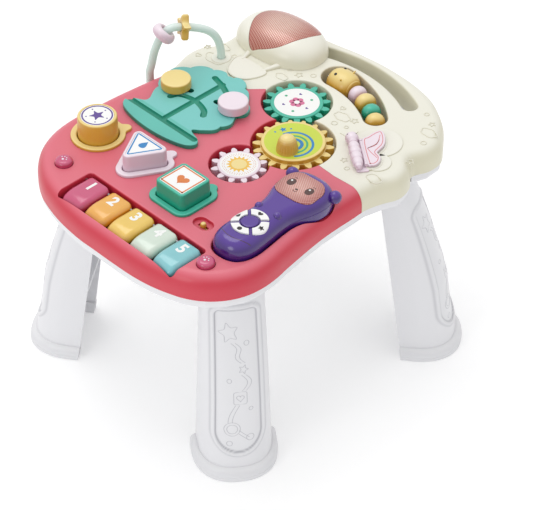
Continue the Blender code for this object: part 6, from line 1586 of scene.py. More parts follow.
def hoop_and_beads():
    dress(solid("hoop_tube", tube_rows(hoop_curve(), HOOP_RADIUS, 40)), mint, "table", "bead_hoop")
    bore = HOOP_RADIUS + BEAD_BORE_GAP
    point, way = hoop_station(ring_bead_share)
    t = np.linspace(0.0, 2 * math.pi, 28, endpoint=False)
    middle, swell = (RING_BEAD_RADIUS + bore) / 2, (RING_BEAD_RADIUS - bore) / 2
    profile = [(middle + swell * math.cos(a), RING_BEAD_THICKNESS / 2 * math.sin(a)) for a in t]
    dress(oriented(solid("ring", turned_rows(profile), ring=True), point, way), pink, "ring_bead",
          "ring_bead").name = "ring_bead_round"
    point, way = hoop_station(star_bead_share)
    half, edge = STAR_BEAD_THICKNESS / 2, GAP * 5
    k = np.arange(10)
    radius = STAR_BEAD_RADIUS * np.where(k % 2 == 0, 1.0, STAR_BEAD_INNER_SHARE)
    angle = math.pi / 2 + math.pi * k / 5
    corners = np.stack((radius * np.cos(angle), radius * np.sin(angle)), axis=1)
    star_line = smooth_loop(corners, 100)
    small = 1 - edge / STAR_BEAD_RADIUS
    levels = ((small, -half), ((1 + small * 2) / 3, edge * 0.3 - half), (1.0, edge - half), (1.0, half - edge),
              ((1 + small * 2) / 3, half - edge * 0.3), (small, half))
    star = solid("star", np.stack([at_height(star_line * share, z) for share, z in levels]))
    cut(star, solid("bore", turned_rows(((bore, -half - OVERRUN), (bore, half + OVERRUN)), sides=40)))
    dress(oriented(star, point, way), knob_gold, "star_bead", "star_bead").name = "star_bead_round"
    foot = place("hoop_inner")
    profile = [(HOOP_RADIUS * 2.6, PANEL_TOP - GAP), (HOOP_RADIUS * 2.4, PANEL_TOP + 0.0008),
               (HOOP_RADIUS * 1.5, PANEL_TOP + 0.0012), (HOOP_RADIUS + GAP, PANEL_TOP + 0.0008),
               (HOOP_RADIUS + GAP, PANEL_TOP - GAP)]
    dress(solid("hoop_collar", turned_rows(profile, foot), ring=True), cream_relief, "table")


# Inchworm of beads

def inchworm():
    """Beads turned about the wire: barrel profiles, cosine along and sine to a power across."""
    finishes = (gold, pink, knob_gold, teal, gold)
    halves = (INCHWORM_HEAD_RADIUS, *BEAD_HALF_LENGTHS)
    radii = (INCHWORM_HEAD_RADIUS, *BEAD_RADII)
    names = ("inchworm_head", *["inchworm_bead_%d" % (k + 1) for k in range(4)])
    for name, finish, half, radius, distance in zip(names, finishes, halves, radii, inchworm_places()):
        bore = INCHWORM_WIRE_RADIUS + INCHWORM_BORE_GAP * 2
        t = np.linspace(0.0, math.pi, 25)
        width = np.maximum(radius * np.sin(t) ** (0.45 if distance == 0.0 else 0.62), bore * 1.3)
        profile = [*zip(width, -half * np.cos(t)), (bore, half), (bore, -half)]
        point, way = inchworm_station(distance)
        thing = oriented(solid(name, turned_rows(profile, sides=64), ring=True), point, way)
        dress(thing, finish, name, name).name = name + "_round"
    point, way = inchworm_station(0.0)
    point, way = np.array(point), np.array(way)
    side = np.array((way[1], -way[0], 0.0))
    up = np.array((0.0, 0.0, 1.0))
    eyes = []
    for out in (-1.0, 1.0):
        aim = -way * 0.30 + side * out * 0.42 + up * 0.85
        aim /= np.linalg.norm(aim)
        centre = point + aim * INCHWORM_HEAD_RADIUS * 0.985
        eyes.append(ball_rows(centre, 0.0019))
    dress(solid("inchworm_eyes", *eyes), black, "inchworm_head")
    horns = []
    for out in (-1.0, 1.0):
        foot = point + (side * out * 0.50 + up * 0.72 + way * 0.30) * INCHWORM_HEAD_RADIUS
        tip = foot + (side * out * 0.45 + up * 0.5 + way * 0.2) * INCHWORM_HEAD_RADIUS * 0.45
        horns.append(tube_rows(np.linspace(foot, tip, 7), np.linspace(0.0016, 0.0005, 7), 14))
    collar = point + way * INCHWORM_HEAD_RADIUS * 0.86
    horns.append(tube_rows(np.linspace(collar, collar + way * 0.0022, 5),
                           INCHWORM_HEAD_RADIUS * np.array((0.60, 0.66, 0.68, 0.66, 0.60)), 48))
    dress(solid("inchworm_horns", *horns), knob_gold, "inchworm_head")


def ball_rows(centre, radius, sides=24, levels=13):
    """A ball: circles of sine radius at cosine heights."""
    t = np.linspace(0.02, math.pi - 0.02, levels)
    return turned_rows([(radius * math.sin(a), centre[2] - radius * math.cos(a)) for a in t], centre[:2], sides)


# Butterfly

wide_wing_shares = ((0.090, 0.000), (-0.060, 0.300), (-0.200, 0.700), (-0.215, 0.970), (-0.090, 1.060),
                    (0.130, 1.030), (0.300, 0.900), (0.420, 0.690), (0.520, 0.540), (0.660, 0.640),
                    (0.820, 0.560), (0.920, 0.360), (0.930, 0.180), (0.860, 0.000))


def wing_line(grow=0.0):
    """The wing from above, from the hinge outwards: along and out from the butterfly's body."""
    edge = WING_AXIS_OUT + WING_BARREL_RADIUS * 0.8
    shape = on_shares(wide_wing_shares[::-1], BUTTERFLY_LENGTH, WING_SPAN - edge, (0.0, edge))
    return offset(smooth_loop(shape, 140), grow)


def butterfly():
    low = PANEL_TOP + GAP
    middle = low + BUTTERFLY_BODY_RADIUS * 0.9
    share = np.linspace(-0.16, 1.03, 140)
    keys = (-0.16, -0.13, -0.08, -0.01, 0.06, 0.12, 0.17, 0.25, 0.45, 0.70, 0.88, 0.98, 1.03)
    widths = (0.05, 0.80, 1.20, 1.30, 1.16, 0.84, 0.92, 1.08, 1.18, 1.12, 0.96, 0.66, 0.05)
    rings = np.abs(np.sin(math.pi * (share - 0.17) / 0.19)) ** 0.5
    radius = np.interp(share, keys, widths) * np.where(share > 0.17, 0.84 + 0.18 * rings, 1.0)
    path = [butterfly_point(s * BUTTERFLY_LENGTH, 0.0, middle) for s in share]
    body = tube_rows(path, radius * BUTTERFLY_BODY_RADIUS, 36)
    body[..., 2] = np.maximum(body[..., 2], low)
    base = rows(butterfly_frame(rectangle(BUTTERFLY_LENGTH / 2 + WING_EAR, WING_AXIS_OUT / 2 + WING_EAR_RADIUS,
                                          WING_EAR_RADIUS, (BUTTERFLY_LENGTH * 0.47, WING_AXIS_OUT / 2), 9)),
                [(0.0, low), *top_round(0.0, low + BUTTERFLY_BASE, 0.0006, 4)])
    axis = low + WING_AXIS_RISE
    start, end = wing_barrel_ends()
    ears = [tube_rows((butterfly_point(near, WING_AXIS_OUT, axis), butterfly_point(near + WING_EAR, WING_AXIS_OUT, axis)),
                      WING_EAR_RADIUS * 0.8, 20) for near in (start - WING_EAR - GAP, end + GAP)]
    dress(solid("butterfly_body_round", body, base, *ears), pink, "table", "butterfly_body")
    spots = [ball_rows(np.array(butterfly_point(-0.03 * BUTTERFLY_LENGTH, out * 0.0042, middle + 0.0050)), 0.0010)
             for out in (-1.0, 1.0)]
    dress(solid("butterfly_eyes", *spots), black, "table")
    barrel = tube_rows((butterfly_point(start, WING_AXIS_OUT, axis), butterfly_point(end, WING_AXIS_OUT, axis)),
                       WING_BARREL_RADIUS, 24)
    edge = WING_AXIS_OUT + WING_EAR_RADIUS
    shape = wing_line()
    low, high = axis - WING_THICKNESS / 2, axis + WING_THICKNESS / 2
    wing = rows(butterfly_frame(shape), [(0.0, low), *top_round(0.0, high, 0.0008, 5)])
    strap = rows(butterfly_frame(rectangle((end - start) * 0.36, edge / 2, GAP,
                                           ((start + end) / 2, WING_AXIS_OUT + edge / 2))),
                 ((0.0, low + GAP), (0.0, high - GAP)))
    dress(solid("butterfly_wing_round", barrel, strap, wing), pink, "butterfly_wing", "butterfly_wing")
    lines = [ring_band(butterfly_frame(shape), -0.0031, -0.0023, high - GAP, high + GAP / 2)]
    dress(solid("wing_edge_line", *lines, ring=True), line_print, "butterfly_wing")
    veins = []
    for along, out, bow in ((-0.06, 0.90, 0.003), (0.10, 0.84, 0.002), (0.24, 0.74, 0.0), (0.70, 0.62, -0.001)):
        tip = np.array((along * BUTTERFLY_LENGTH, out * WING_SPAN))
        root = np.array((0.36 * BUTTERFLY_LENGTH, edge * 1.25))
        bend = (tip + root) / 2 + (bow, bow)
        path = smooth_path((root, bend, tip), 17)
        veins.append(rows(butterfly_frame(band(path, 0.00035, 3)), ((0.0, high - GAP), (0.0, high + GAP / 2))))
    dress(solid("wing_veins", *veins), line_print, "butterfly_wing")


# Balloon dome, its lens, ropes and basket

def dome_surface(inset, low, count=120):
    """A pillow: each ring is the outline drawn in, as a superellipse goes from wall to crown."""
    outline = offset(dome_outline(count), -inset)
    centre = place("dome")
    found = []
    for angle in np.radians(np.linspace(0.0, 86.0, 22)):
        share = math.cos(angle) ** (2.0 / DOME_POWER)
        height = math.sin(angle) ** (2.0 / DOME_POWER)
        found.append(at_height(centre + (outline - centre) * share, low + (DOME_RISE - inset) * height))
    return found


lens_shares = ((-0.380, -0.860), (-0.054, -0.945), (0.360, -0.700), (0.620, 0.000), (0.660, 0.600),
               (0.340, 0.830), (-0.089, 0.840), (-0.440, 0.620), (-0.640, 0.000))


def balloon():
    low = PANEL_TOP + GAP

    def shell(name):
        inner = dome_surface(DOME_WALL, low)
        inner[0] = at_height(inner[0][:, :2], low - OVERRUN)
        return cut(solid(name, np.stack(dome_surface(0.0, low))), solid("inside", np.stack(inner)))

    def window(shrink):
        shape = smooth_loop(on_shares(lens_shares, DOME_HALF_WIDTH, DOME_HALF_DEPTH), 110)
        outline = offset(turned(shape, DOME_TURN, place("dome")), -shrink)
        return prism("window", outline, PANEL_TOP + DOME_RISE * lens_foot_share, PANEL_TOP + DOME_RISE + OVERRUN)

    dress(cut(shell("balloon_case"), window(0.0)), dome_cream, "table", "balloon_dome")
    dress(keep(shell("balloon_window"), window(LENS_GAP)), lens_rose, "table", "balloon_lens")
    basket = on_shares(basket_shares, DOME_HALF_WIDTH * 0.36, DOME_HALF_DEPTH * 0.48, place("basket"))
    basket = refine(np.array(basket), 12)
    top = PANEL_TOP + BASKET_RISE
    box = rows(basket, [(0.0, PANEL_TOP - GAP), *top_round(0.0, top, BASKET_RISE * 0.8, 7)])
    centre = place("basket")
    ropes = []
    for out, foot_out in ((-0.62, -0.85), (0.62, 0.85)):
        head = centre + (out * DOME_HALF_WIDTH * 0.62, DOME_HALF_DEPTH * 0.86)
        foot = centre + (foot_out * DOME_HALF_WIDTH * 0.32, DOME_HALF_DEPTH * 0.30)
        path = np.linspace((*head, PANEL_TOP + 0.0006), (*foot, PANEL_TOP + 0.0006), 9)
        ropes.append(tube_rows(path, np.linspace(0.0042, 0.0018, 9), 20))
    rim = raised_line(on_top(basket[:2 * len(basket) // 5], top - GAP), 0.0016, 0.0008)
    dress(solid("basket_and_ropes", box, *ropes, rim), cream_relief, "table")


# Raised drawing on the cream cover

def cloud_loop(centre, size, lobes=5, turn=0.0):
    """A cloud: an ellipse whose radius swells once for each lobe."""
    t = np.linspace(0.0, 2 * math.pi, 90, endpoint=False)
    radius = 1 + 0.16 * np.abs(np.sin(lobes * t / 2 + turn))
    return np.stack((np.cos(t) * radius * size, np.sin(t) * radius * size * 0.62), axis=1) + centre


relief_clouds = ((-0.128, 0.079, 0.0120, 5, 0.3), (-0.137, 0.100, 0.0075, 4, 1.0), (0.128, 0.150, 0.0090, 5, 0.8),
                 (0.044, 0.104, 0.0090, 6, 0.2), (0.142, 0.052, 0.0085, 4, 0.5), (-0.053, 0.108, 0.0070, 5, 0.0))
relief_stars = ((-0.042, 0.1235, 0.0048), (0.0585, 0.108, 0.0046), (0.120, 0.163, 0.0040), (0.148, 0.100, 0.0042),
                (-0.150, 0.088, 0.0040), (0.098, 0.052, 0.0040))
relief_rings = ((-0.030, 0.134, 0.0030), (0.046, 0.090, 0.0032), (0.060, 0.094, 0.0022), (0.136, 0.133, 0.0030),
                (0.110, 0.044, 0.0026), (-0.116, 0.097, 0.0028), (0.104, 0.172, 0.0026))
relief_hearts = ((-0.056, 0.124, 0.0036), (0.034, 0.115, 0.0032), (0.130, 0.066, 0.0034), (-0.146, 0.070, 0.0034))


def relief():
    z = PANEL_TOP - GAP / 2
    lines = []

    def outline(points, width=0.0012, closed=True):
        lines.append(raised_line(on_top(points, z), width, 0.0009, closed))

    for x, y, size, lobes, turn in relief_clouds:
        outline(cloud_loop((x, y), size, lobes, turn))
    for x, y, size in relief_stars:
        outline(star_points(size, 0.5, 5, centre=(x, y), count=60), 0.0010)
    for x, y, size in relief_rings:
        outline(circle(size, (x, y), 32), 0.0010)
    for x, y, size in relief_hearts:
        outline(heart_points(size, (x, y)), 0.0010)
    feelers = []
    for out in (-1.0, 1.0):
        t = np.linspace(0.0, 1.0, 15)
        along = -0.12 - 0.24 * t
        side = out * (0.05 + 0.14 * t ** 1.6)
        feelers.append(butterfly_frame(np.stack((along, side), axis=1) * BUTTERFLY_LENGTH))
    for path in feelers:
        outline(path, 0.0012, False)
    dress(solid("cream_drawing", *lines), cream_relief, "table")
    t = np.linspace(0.0, 2 * math.pi, 160, endpoint=False)
    upper = np.stack((0.004 + 0.0245 * np.cos(t), 0.0285 + 0.0255 * np.sin(t)), axis=1)
    lower = np.stack((0.037 + 0.0150 * np.cos(t), 0.0215 + 0.0150 * np.sin(t)), axis=1)
    plates = [rows(butterfly_frame(line), [(0.0, PANEL_TOP - GAP), (0.0, PANEL_TOP + GAP * 0.5),
                                           *top_round(-GAP * 0.5, PANEL_TOP + 0.0013, 0.0009, 6)])
              for line in (upper, lower)]
    halo = offset(wing_line(0.0026), 0.0)
    plates.append(rows(butterfly_frame(halo), [(0.0, PANEL_TOP - GAP), (0.0, PANEL_TOP + 0.0012),
                                               *top_round(-GAP * 0.5, PANEL_TOP + 0.0020, 0.0008, 5)]))
    dress(solid("wing_plateau", *plates), cream_relief, "table")


# Handset

def handset_outline(count=200):
    """The handset from above, without its ears."""
    half = on_shares(body_shares, HANDSET_HALF_WIDTH, HANDSET_HALF_LENGTH)
    left = half[1:-1][::-1] * (-1.0, 1.0)
    return turned(smooth_loop(np.vstack((half, left)), count), HANDSET_TILT, place("handset"))


body_shares = ((0.000, -1.000), (0.261, -0.985), (0.493, -0.925), (0.640, -0.810), (0.700, -0.660),
               (0.690, -0.480), (0.655, -0.290), (0.625, -0.110), (0.625, 0.060), (0.690, 0.210),
               (0.800, 0.350), (0.885, 0.500), (0.905, 0.650), (0.850, 0.790), (0.715, 0.895),
               (0.500, 0.962), (0.250, 0.994), (0.000, 1.000))


def fine_rings(levels):
    """The handset's outline at each level; the deepest insets are drawn towards its middle line
    instead, so that they never fold."""
    outline = handset_outline()
    line = turned(np.stack((outline[:, 0] * 0.0, np.clip(turned(outline - place("handset"), -HANDSET_TILT)[:, 1],
                                                         -HANDSET_HALF_LENGTH * 0.66, HANDSET_HALF_LENGTH * 0.60)),
                           axis=1), HANDSET_TILT, place("handset"))
    away = outline - line
    reach = np.linalg.norm(away, axis=1)[:, None]
    return [at_height(line + away * np.maximum(1 + out / reach, 0.02), z) for out, z in levels]


def handset():
    back = [(-HANDSET_BACK_ROUND * (1 - math.cos(a)), HANDSET_LOW + HANDSET_BACK_ROUND * (1 - math.sin(a)))
            for a in np.linspace(math.pi / 2, 0.0, 6)]
    dress(solid("handset_back_round", np.stack(fine_rings([*back, (0.0, HANDSET_SEAM)]))), purple, "handset",
          "handset_back")
    span = HANDSET_TOP - HANDSET_SEAM
    top = [(-GAP, HANDSET_SEAM - GAP), (-GAP, HANDSET_SEAM + GAP), (0.0, HANDSET_SEAM + GAP * 2)]
    top += [(-HANDSET_ROUND * (1 - math.cos(a)), HANDSET_TOP - span * (1 - math.sin(a)))
            for a in np.linspace(0.18, math.pi / 2 - 0.06, 15)]
    front = solid("handset_front_round", np.stack(fine_rings(top)))
    face = turned(rectangle(FACE_HALF_WIDTH, FACE_HALF_HEIGHT, FACE_CORNER * 1.2, (0.0, FACE_PLACE), 21),
                  HANDSET_TILT, place("handset"))
    cut(front, prism("face_hole", face, HANDSET_TOP - HANDSET_WALL * 2, HANDSET_TOP + OVERRUN))
    keys = [offset(key_shape(k), HANDSET_KEY_GAP) for k in range(4)]
    centre = handset_spot(0.0, PAD_PLACE)
    keys.append(circle(PAD_BUTTON_RADIUS + HANDSET_KEY_GAP, centre, 60))
    hole = solid("holes", *[rows(shape, ((0.0, HANDSET_TOP - HANDSET_WALL), (0.0, HANDSET_TOP + OVERRUN)))
                            for shape in keys])
    cut(front, hole)
    dress(front, purple, "handset", "handset_front")

    def limit(rise):
        """The handset's own top form, out and up by the rise, that cuts a piece to its curve."""
        seam = [(rise * 0.4, HANDSET_SEAM - HANDSET_KEY_DEPTH)]
        above = [(out + rise * 0.4, z + rise) for out, z in top[3:]]
        return solid("limit", np.stack(fine_rings(seam + above)))

    lens = prism("handset_face_lens", offset(face, -GAP), HANDSET_TOP - FACE_DEPTH, HANDSET_TOP + OVERRUN)
    dress(keep(lens, limit(FACE_PROUD)), face_rose, "handset", "handset_face")
    face_marks()
    icons = {0: star_points(0.0034, 0.5, 5), 1: heart_points(0.0030), 2: drop_points(0.0032),
             3: circle(0.0026, sides=30)}
    for k, name in enumerate(("right", "up", "left", "down")):
        key = prism("handset_key_" + name + "_round", key_shape(k), HANDSET_TOP - HANDSET_KEY_DEPTH,
                    HANDSET_TOP + OVERRUN)
        node = "handset_key_" + name
        dress(keep(key, limit(HANDSET_KEY_RISE)), white, node, node)
        angle = math.pi / 2 * k
        middle = (PAD_RING_INNER + PAD_RING_OUTER) / 2
        at = handset_spot(middle * math.cos(angle), PAD_PLACE + middle * math.sin(angle))
        icon = prism(node + "_icon", turned(icons[k], HANDSET_TILT) + at, HANDSET_TOP - HANDSET_KEY_DEPTH / 2,
                     HANDSET_TOP + OVERRUN)
        dress(keep(icon, limit(HANDSET_KEY_RISE + GAP / 2)), black, node)
    profile = [(PAD_BUTTON_RADIUS, HANDSET_TOP - HANDSET_KEY_DEPTH)]
    profile += [(PAD_BUTTON_RADIUS - 0.0016 * (1 - math.cos(a)), HANDSET_TOP + HANDSET_KEY_RISE * (0.2 + 0.8 * math.sin(a)))
                for a in np.linspace(0.0, math.pi / 2, 8)]
    dress(solid("handset_key_centre_round", turned_rows(profile, centre)), purple, "handset_key_centre",
          "handset_key_centre")
    bumps = [ball_rows((*handset_spot(x, y), HANDSET_TOP - 0.0022), 0.0046) for x, y in
             ((-0.0125, -0.0060), (0.0125, -0.0060))]
    for x in (-0.0292, 0.0292):
        ear = ball_rows((*handset_spot(x, 0.0635), HANDSET_SEAM + 0.0045), 0.0072, 40, 25)
        ear[..., 2] = np.maximum(ear[..., 2], PANEL_TOP + GAP * 2)
        bumps.append(ear)
    dress(solid("handset_bumps", *bumps), purple, "handset")
    t = np.linspace(-1.0, 1.0, 31)
    seam = np.stack((t * HANDSET_HALF_WIDTH * 0.60, -HANDSET_HALF_LENGTH * (0.83 - 0.10 * t ** 2)), axis=1)
    line = prism("handset_seam", band(turned(seam, HANDSET_TILT, place("handset")), GAP, 3), HANDSET_SEAM,
                 HANDSET_TOP + OVERRUN)
    dress(keep(line, limit(GAP / 4)), eye_brown, "handset")


def key_shape(index):
    middle = math.pi / 2 * index
    half_inner = math.pi / 4 - PAD_SPOKE / 2 / PAD_RING_INNER
    half_outer = math.pi / 4 - PAD_SPOKE / 2 / PAD_RING_OUTER
    outer = arc((0.0, 0.0), PAD_RING_OUTER, middle - half_outer, middle + half_outer, 25)
    inner = arc((0.0, 0.0), PAD_RING_INNER, middle + half_inner, middle - half_inner, 17)
    return turned(np.vstack((outer, inner)) + (0.0, PAD_PLACE), HANDSET_TILT, place("handset"))


def face_marks():
    """A plain bear's face printed on the lens: two eyes, their lights, a nose and a mouth."""
    z = HANDSET_TOP + FACE_PROUD + GAP / 3
    t = np.linspace(0.0, 2 * math.pi, 48, endpoint=False)
    eye = np.stack((np.cos(t) * 0.0046, np.sin(t) * 0.0058), axis=1)
    shapes, lights = [], []
    for x in (-0.0122, 0.0122):
        shapes.append(turned(eye + (x, FACE_PLACE + 0.001), HANDSET_TILT, place("handset")))
        lights.append(turned(circle(0.0012, (x - 0.0012, FACE_PLACE + 0.0032), 20), HANDSET_TILT, place("handset")))
    nose = np.stack((np.cos(t) * 0.0020, np.sin(t) * 0.0013), axis=1) + (0.0, FACE_PLACE - 0.0050)
    mouth = band(arc((0.0, FACE_PLACE - 0.0066), 0.0024, math.radians(200), math.radians(340), 21), 0.00035, 5)
    for x in (-0.0125, 0.0125):
        brow = band(arc((x, FACE_PLACE + 0.0060), 0.0032, math.radians(60), math.radians(120), 9), 0.0004, 4)
        shapes.append(turned(brow, HANDSET_TILT, place("handset")))
    shapes += [turned(nose, HANDSET_TILT, place("handset")), turned(mouth, HANDSET_TILT, place("handset"))]
    print_on("face_print", "handset", (0.0, 0.0), z, eye_brown, *shapes)
    print_on("face_lights", "handset", (0.0, 0.0), z + GAP / 2, white, *lights)


# Legs and shoes

def panel_gap(z, across):
    """Distance outside the leg's sunk panel, below zero inside it: a round foot, straight sides
    that draw in upwards, and small corners at its top."""
    share = (z - WINDOW_BOTTOM) / (WINDOW_TOP - WINDOW_BOTTOM)
    half = WINDOW_HALF_WIDTH * (1 - window_taper_share * np.clip(share, 0.0, 1.0))
    corner = WINDOW_HALF_WIDTH / 4
    over = np.abs(across) - (half - corner)
    above = z - (WINDOW_TOP - corner)
    below = z - WINDOW_BOTTOM - half
    upper = np.hypot(np.maximum(over, 0), np.maximum(above, 0)) + np.minimum(np.maximum(over, above), 0) - corner
    return np.where(below < 0, np.hypot(across, np.minimum(below, 0)) - half, upper)


def leg_outside(z, side, across):
    """Distance outwards of the leg's face: the bowed face, less a sunk panel with a soft edge,
    plus the raised frame round it."""
    gap = panel_gap(z, across)
    sink = np.clip(-gap / 0.0022 + 0.3, 0.0, 1.0)
    sink = sink * sink * (3 - 2 * sink)
    rise = np.exp(-((gap - 0.0022) / 0.0015) ** 2)
    return leg_face(across, z, side) - WINDOW_DEPTH * 1.15 * sink + 0.0012 * rise


def leg_grid(side, count=101, levels=150):
    """The leg as a channel: each level is one closed line, out along the bowed face and back
    along its inside, a wall's thickness in."""
    low = SHOE_FLOOR + GAP
    grid = []
    t = np.linspace(-math.pi / 2, math.pi / 2, count)
    for z in np.linspace(low, LEG_TOP, levels):
        half = leg_half_width(z)
        across = np.sign(t) * np.abs(np.sin(t)) ** (2 / leg_power) * half
        spread = np.linspace(-1.0, 1.0, count)
        across = np.interp(spread, np.sin(t), across)
        outer = np.stack((leg_outside(z, side, across), across + leg_lean(z, side)[1]), axis=1)
        half_in = half - LEG_WALL
        back = across[::-1] * half_in / half
        inner = np.stack((leg_face(back, z, side, LEG_WALL), back + leg_lean(z, side)[1]), axis=1)
        edge = LEG_INNER + leg_lean(z, side)[0]
        line = np.vstack(((edge, -half + leg_lean(z, side)[1]), outer, (edge, half + leg_lean(z, side)[1]),
                          (edge, half_in + leg_lean(z, side)[1]), inner, (edge, -half_in + leg_lean(z, side)[1])))
        grid.append(at_height(line, z))
    return np.stack(grid)


def leg_rib(side, level, thickness):
    """The rib across the channel: the section inside the walls, carried straight up."""
    section = leg_section(level, side, LEG_WALL * 0.7)
    return rows(section, ((0.0, level), (0.0, level + thickness)))


def on_leg(across, z, side, out=0.0):
    """Points on the outer face: its depth at that height and place plus out, and across plus
    the leg's lean."""
    face = np.array([leg_outside(h, side, np.array((a,)))[0] for a, h in zip(across, z)])
    lean = np.array([leg_lean(h, side)[1] for h in z])
    return np.stack((face + out, across + lean, z), axis=1)


def leg_lines(side):
    """The raised drawing in the leg's panel: a ribbon past two stars, a double ring, a rounded square round a
    heart, and dots.
    """
    lines = []

    def draw(points, closed=True, width=0.0010):
        path = on_leg(points[:, 0], points[:, 1], side, -GAP)
        if closed:
            path = np.vstack((path, path[:1]))
        lines.append(tube_rows(path, width / 2, 8))

    draw(star_points(0.0105, 0.55, 5, 1.8, (-0.008, 0.172), 60))
    draw(star_points(0.0052, 0.5, 5, 1.2, (0.006, 0.132), 50))
    draw(circle(0.0085, (-0.007, 0.062), 40))
    draw(circle(0.0056, (-0.007, 0.062), 40))
    draw(rectangle(0.0070, 0.0070, 0.0022, (0.002, 0.100), 6))
    draw(heart_points(0.0040, (0.002, 0.100)))
    for x, z, r in ((0.010, 0.160, 0.0026), (-0.009, 0.120, 0.0024), (0.013, 0.086, 0.0022),
                    (-0.010, 0.044, 0.0030), (0.012, 0.050, 0.0040)):
        draw(circle(r, (x, z), 24))
    t = np.linspace(0.0, 1.0, 25)
    for shift in (-0.0022, 0.0022):
        draw(np.stack((-0.004 + 0.010 * t + 0.003 * np.sin(2 * math.pi * t) + shift, 0.161 - 0.022 * t), axis=1),
             False)
        draw(np.stack((0.006 + 0.006 * np.sin(math.pi * t) + shift, 0.126 - 0.018 * t), axis=1), False)
        draw(np.stack((-0.001 - 0.008 * np.sin(math.pi * t / 2) + shift, 0.092 - 0.022 * t), axis=1), False)
        draw(np.stack((0.000 + 0.011 * t, 0.058 - 0.010 * t + shift), axis=1), False)
    return lines


def shoe_grid(side):
    """The cuff: one closed line round the outside and back along the inside, at levels that
    follow the cuff's rounded profile with its sole groove."""
    top = SHOE_HEIGHT
    outs = ((0.0, 0.0050), (0.0010, 0.0060), (0.0034, 0.0062), (0.0040, 0.0056), (0.0046, 0.0060),
            (0.0075, 0.0062), (0.0105, 0.0058), (0.0128, 0.0046), (0.0142, 0.0030), (top, 0.0012))
    grid = []
    t = np.linspace(-math.pi / 2, math.pi / 2, 41)
    for z, out in outs:
        half = leg_half_width(z)
        across = np.sign(t) * np.abs(np.sin(t)) ** (2 / leg_power) * half
        lean = leg_lean(z, side)
        edge = LEG_INNER + lean[0]
        face = np.stack((leg_face(across, z, side), across + lean[1]), axis=1)
        outer = np.vstack(((edge, -half + lean[1]), face, (edge, half + lean[1])))
        step = np.gradient(outer, axis=0)
        step /= np.linalg.norm(step, axis=1)[:, None]
        normal = np.stack((step[:, 1], -step[:, 0]), axis=1)
        normal[0], normal[-1] = (0.0, -1.0), (0.0, 1.0)
        outer = outer + normal * out
        inset = LEG_WALL + WALL
        inner = np.vstack(((edge, half - inset + lean[1]),
                           np.stack((leg_face(across[::-1] * (half - inset) / half, z, side, inset),
                                     across[::-1] * (half - inset) / half + lean[1]), axis=1),
                           (edge, -half + inset + lean[1])))
        grid.append(at_height(np.vstack((outer, inner)), z))
    return np.stack(grid)


def placed(grid, name):
    """A leg's grid turned to its corner and moved to its place."""
    flat_part = turned(grid[..., :2].reshape(-1, 2), leg_angle(name), leg_centre(name))
    return np.concatenate((flat_part.reshape(*grid.shape[:2], 2), grid[..., 2:]), axis=2)


def paint_panel_shade(thing, grid):
    """Painted shade: keeps how near each point is to the foot of the panel's edge and to the outer foot of the
    raised frame, where the leg's finish is darkened as if shaded.
    """
    near = np.zeros(len(thing.data.vertices), dtype=np.float32)
    count = (grid.shape[1] - 4) // 2
    lean = grid[:, :1, 1] + leg_half_width(grid[:, :1, 2])
    gap = panel_gap(grid[:, 1:count + 1, 2], grid[:, 1:count + 1, 1] - lean)
    crease_shade = np.zeros(grid.shape[:2])
    # Painted shade: strongest on the panel's sunk wall, half as strong at the outer foot of its frame.
    crease_shade[:, 1:count + 1] = np.exp(-((gap + 0.0007) / 0.0009) ** 2) + 0.5 * np.exp(-((gap - 0.0045) / 0.0010) ** 2)
    near[:crease_shade.size] = crease_shade.reshape(-1)
    thing.data.attributes.new("panel_crease_shade", "FLOAT", "POINT").data.foreach_set("value", near)


def legs():
    for name in leg_names:
        side = leg_side(name)
        body = [leg_grid(side), leg_rib(side, RIB_HEIGHT, RIB_THICKNESS),
                leg_rib(side, LEG_TOP - LEG_TOP_PLATE, LEG_TOP_PLATE - GAP),
                rows(rectangle(PLUG_DEPTH / 2, PLUG_HALF_WIDTH, PLUG_WALL, plug_centre(side), 4),
                     ((0.0, LEG_TOP - GAP), (0.0, LEG_TOP + PLUG_HEIGHT)))]
        leg = solid("leg_%s_body" % name, *[placed(g, name) for g in body])
        paint_panel_shade(leg, body[0])
        dress(leg, leg_grey, "table", "leg_" + name)
        dress(solid("leg_%s_drawing" % name, *[placed(g, name) for g in leg_lines(side)]), leg_line, "table")
        dress(solid("shoe_%s_cuff" % name, placed(shoe_grid(side), name)), shoe_grey, "table", "shoe_" + name)


# Camera, light and floor

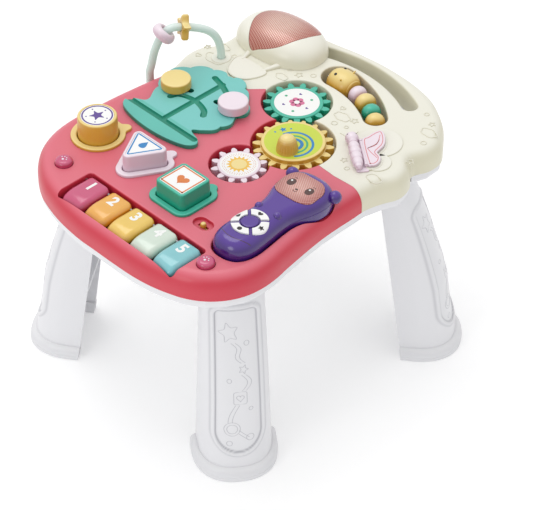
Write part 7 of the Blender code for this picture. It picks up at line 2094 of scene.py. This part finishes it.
def stage():
    """The photograph's camera, a large soft light overhead, a fill and a white floor."""
    forward = Vector((-0.549, 0.530, -0.647)).normalized()
    right = Vector((0.695, 0.719, 0.0))
    right = (right - forward * right.dot(forward)).normalized()
    up = right.cross(forward)
    turn = Matrix((right, up, -forward)).transposed().to_4x4()
    lens = bpy.data.cameras.new("camera")
    lens.sensor_width = 36.0
    lens.lens = 2500 * 36.0 / 535
    camera = bpy.data.objects.new("camera", lens)
    camera.matrix_world = Matrix.Translation((1.5255, -1.4375, 1.887)) @ turn
    bpy.context.scene.collection.objects.link(camera)
    bpy.context.scene.camera = camera
    for name, place_at, target, size, power in (
            ("overhead", (-0.6, 0.1, 1.9), (0.0, 0.0, 0.2), 1.2, 6.5),
            ("fill", (0.2, -1.9, 1.1), (0.0, 0.0, 0.2), 0.9, 5.0)):
        light = bpy.data.lights.new(name, "AREA")
        light.shape = "DISK"
        light.size = size
        light.energy = power
        lamp = bpy.data.objects.new(name, light)
        lamp.location = place_at
        lamp.rotation_euler = (Vector(target) - Vector(place_at)).to_track_quat("-Z", "Y").to_euler()
        bpy.context.scene.collection.objects.link(lamp)
    world = bpy.data.worlds.new("studio")
    world.use_nodes = True
    world.node_tree.nodes["Background"].inputs["Color"].default_value = (1.0, 1.0, 1.0, 1.0)
    world.node_tree.nodes["Background"].inputs["Strength"].default_value = 0.80
    bpy.context.scene.world = world
    bpy.context.scene.view_settings.view_transform = "Standard"
    floor = rows(circle(6.0, sides=64), ((0.0, -0.01), (0.0, -0.0002)))
    ground = solid("floor", floor)
    tone = bpy.data.materials.new("floor_white")
    tone.use_nodes = True
    shader = tone.node_tree.nodes["Principled BSDF"]
    cloud = add(tone.node_tree, "ShaderNodeTexNoise", {"Scale": 3.0})
    mixed = add(tone.node_tree, "ShaderNodeMixRGB", {"Fac": cloud.outputs["Fac"],
                "Color1": (0.93, 0.93, 0.93, 1.0), "Color2": (0.95, 0.95, 0.95, 1.0)})
    tone.node_tree.links.new(mixed.outputs[0], shader.inputs["Base Color"])
    shader.inputs["Roughness"].default_value = 0.9
    shader.inputs["Specular IOR Level"].default_value = 0.1
    shader.inputs["Emission Color"].default_value = (1.0, 1.0, 1.0, 1.0)
    shader.inputs["Emission Strength"].default_value = 0.20
    ground.data.materials.append(tone)


def carried_over():
    """Finishes of the CAD nodes that stay as they are."""
    finishes = {"lower_shell": grey, "battery_door": grey, "key_rod": steel, "inchworm_wire": steel,
                "left_button_spring": steel, "right_button_spring": steel, "key_pad_strip": rubber,
                "speaker": black, "yellow_knob_shoe": white, "pink_knob_shoe": white}
    for name, finish in finishes.items():
        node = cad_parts[name]
        node.data.materials.clear()
        node.data.materials.append(finish)


dome_at = (*place("dome"), PANEL_TOP + DOME_RISE)
lens_rose = lens_plastic("lens_rose", (252, 232, 218), (214, 152, 138), 0.0021, 0.35, dome_at,
                         DOME_HALF_WIDTH * 0.75)
face_at = (*handset_spot(0.0, FACE_PLACE), HANDSET_TOP)
face_rose = lens_plastic("face_rose", (246, 214, 204), (216, 164, 158), 0.0018, 0.6, face_at,
                         FACE_HALF_WIDTH)
stage()
covers()
seats_and_blocks()
tree_and_knobs()
gears()
keys_and_buttons()
hoop_and_beads()
inchworm()
butterfly()
balloon()
relief()
handset()
legs()
carried_over()
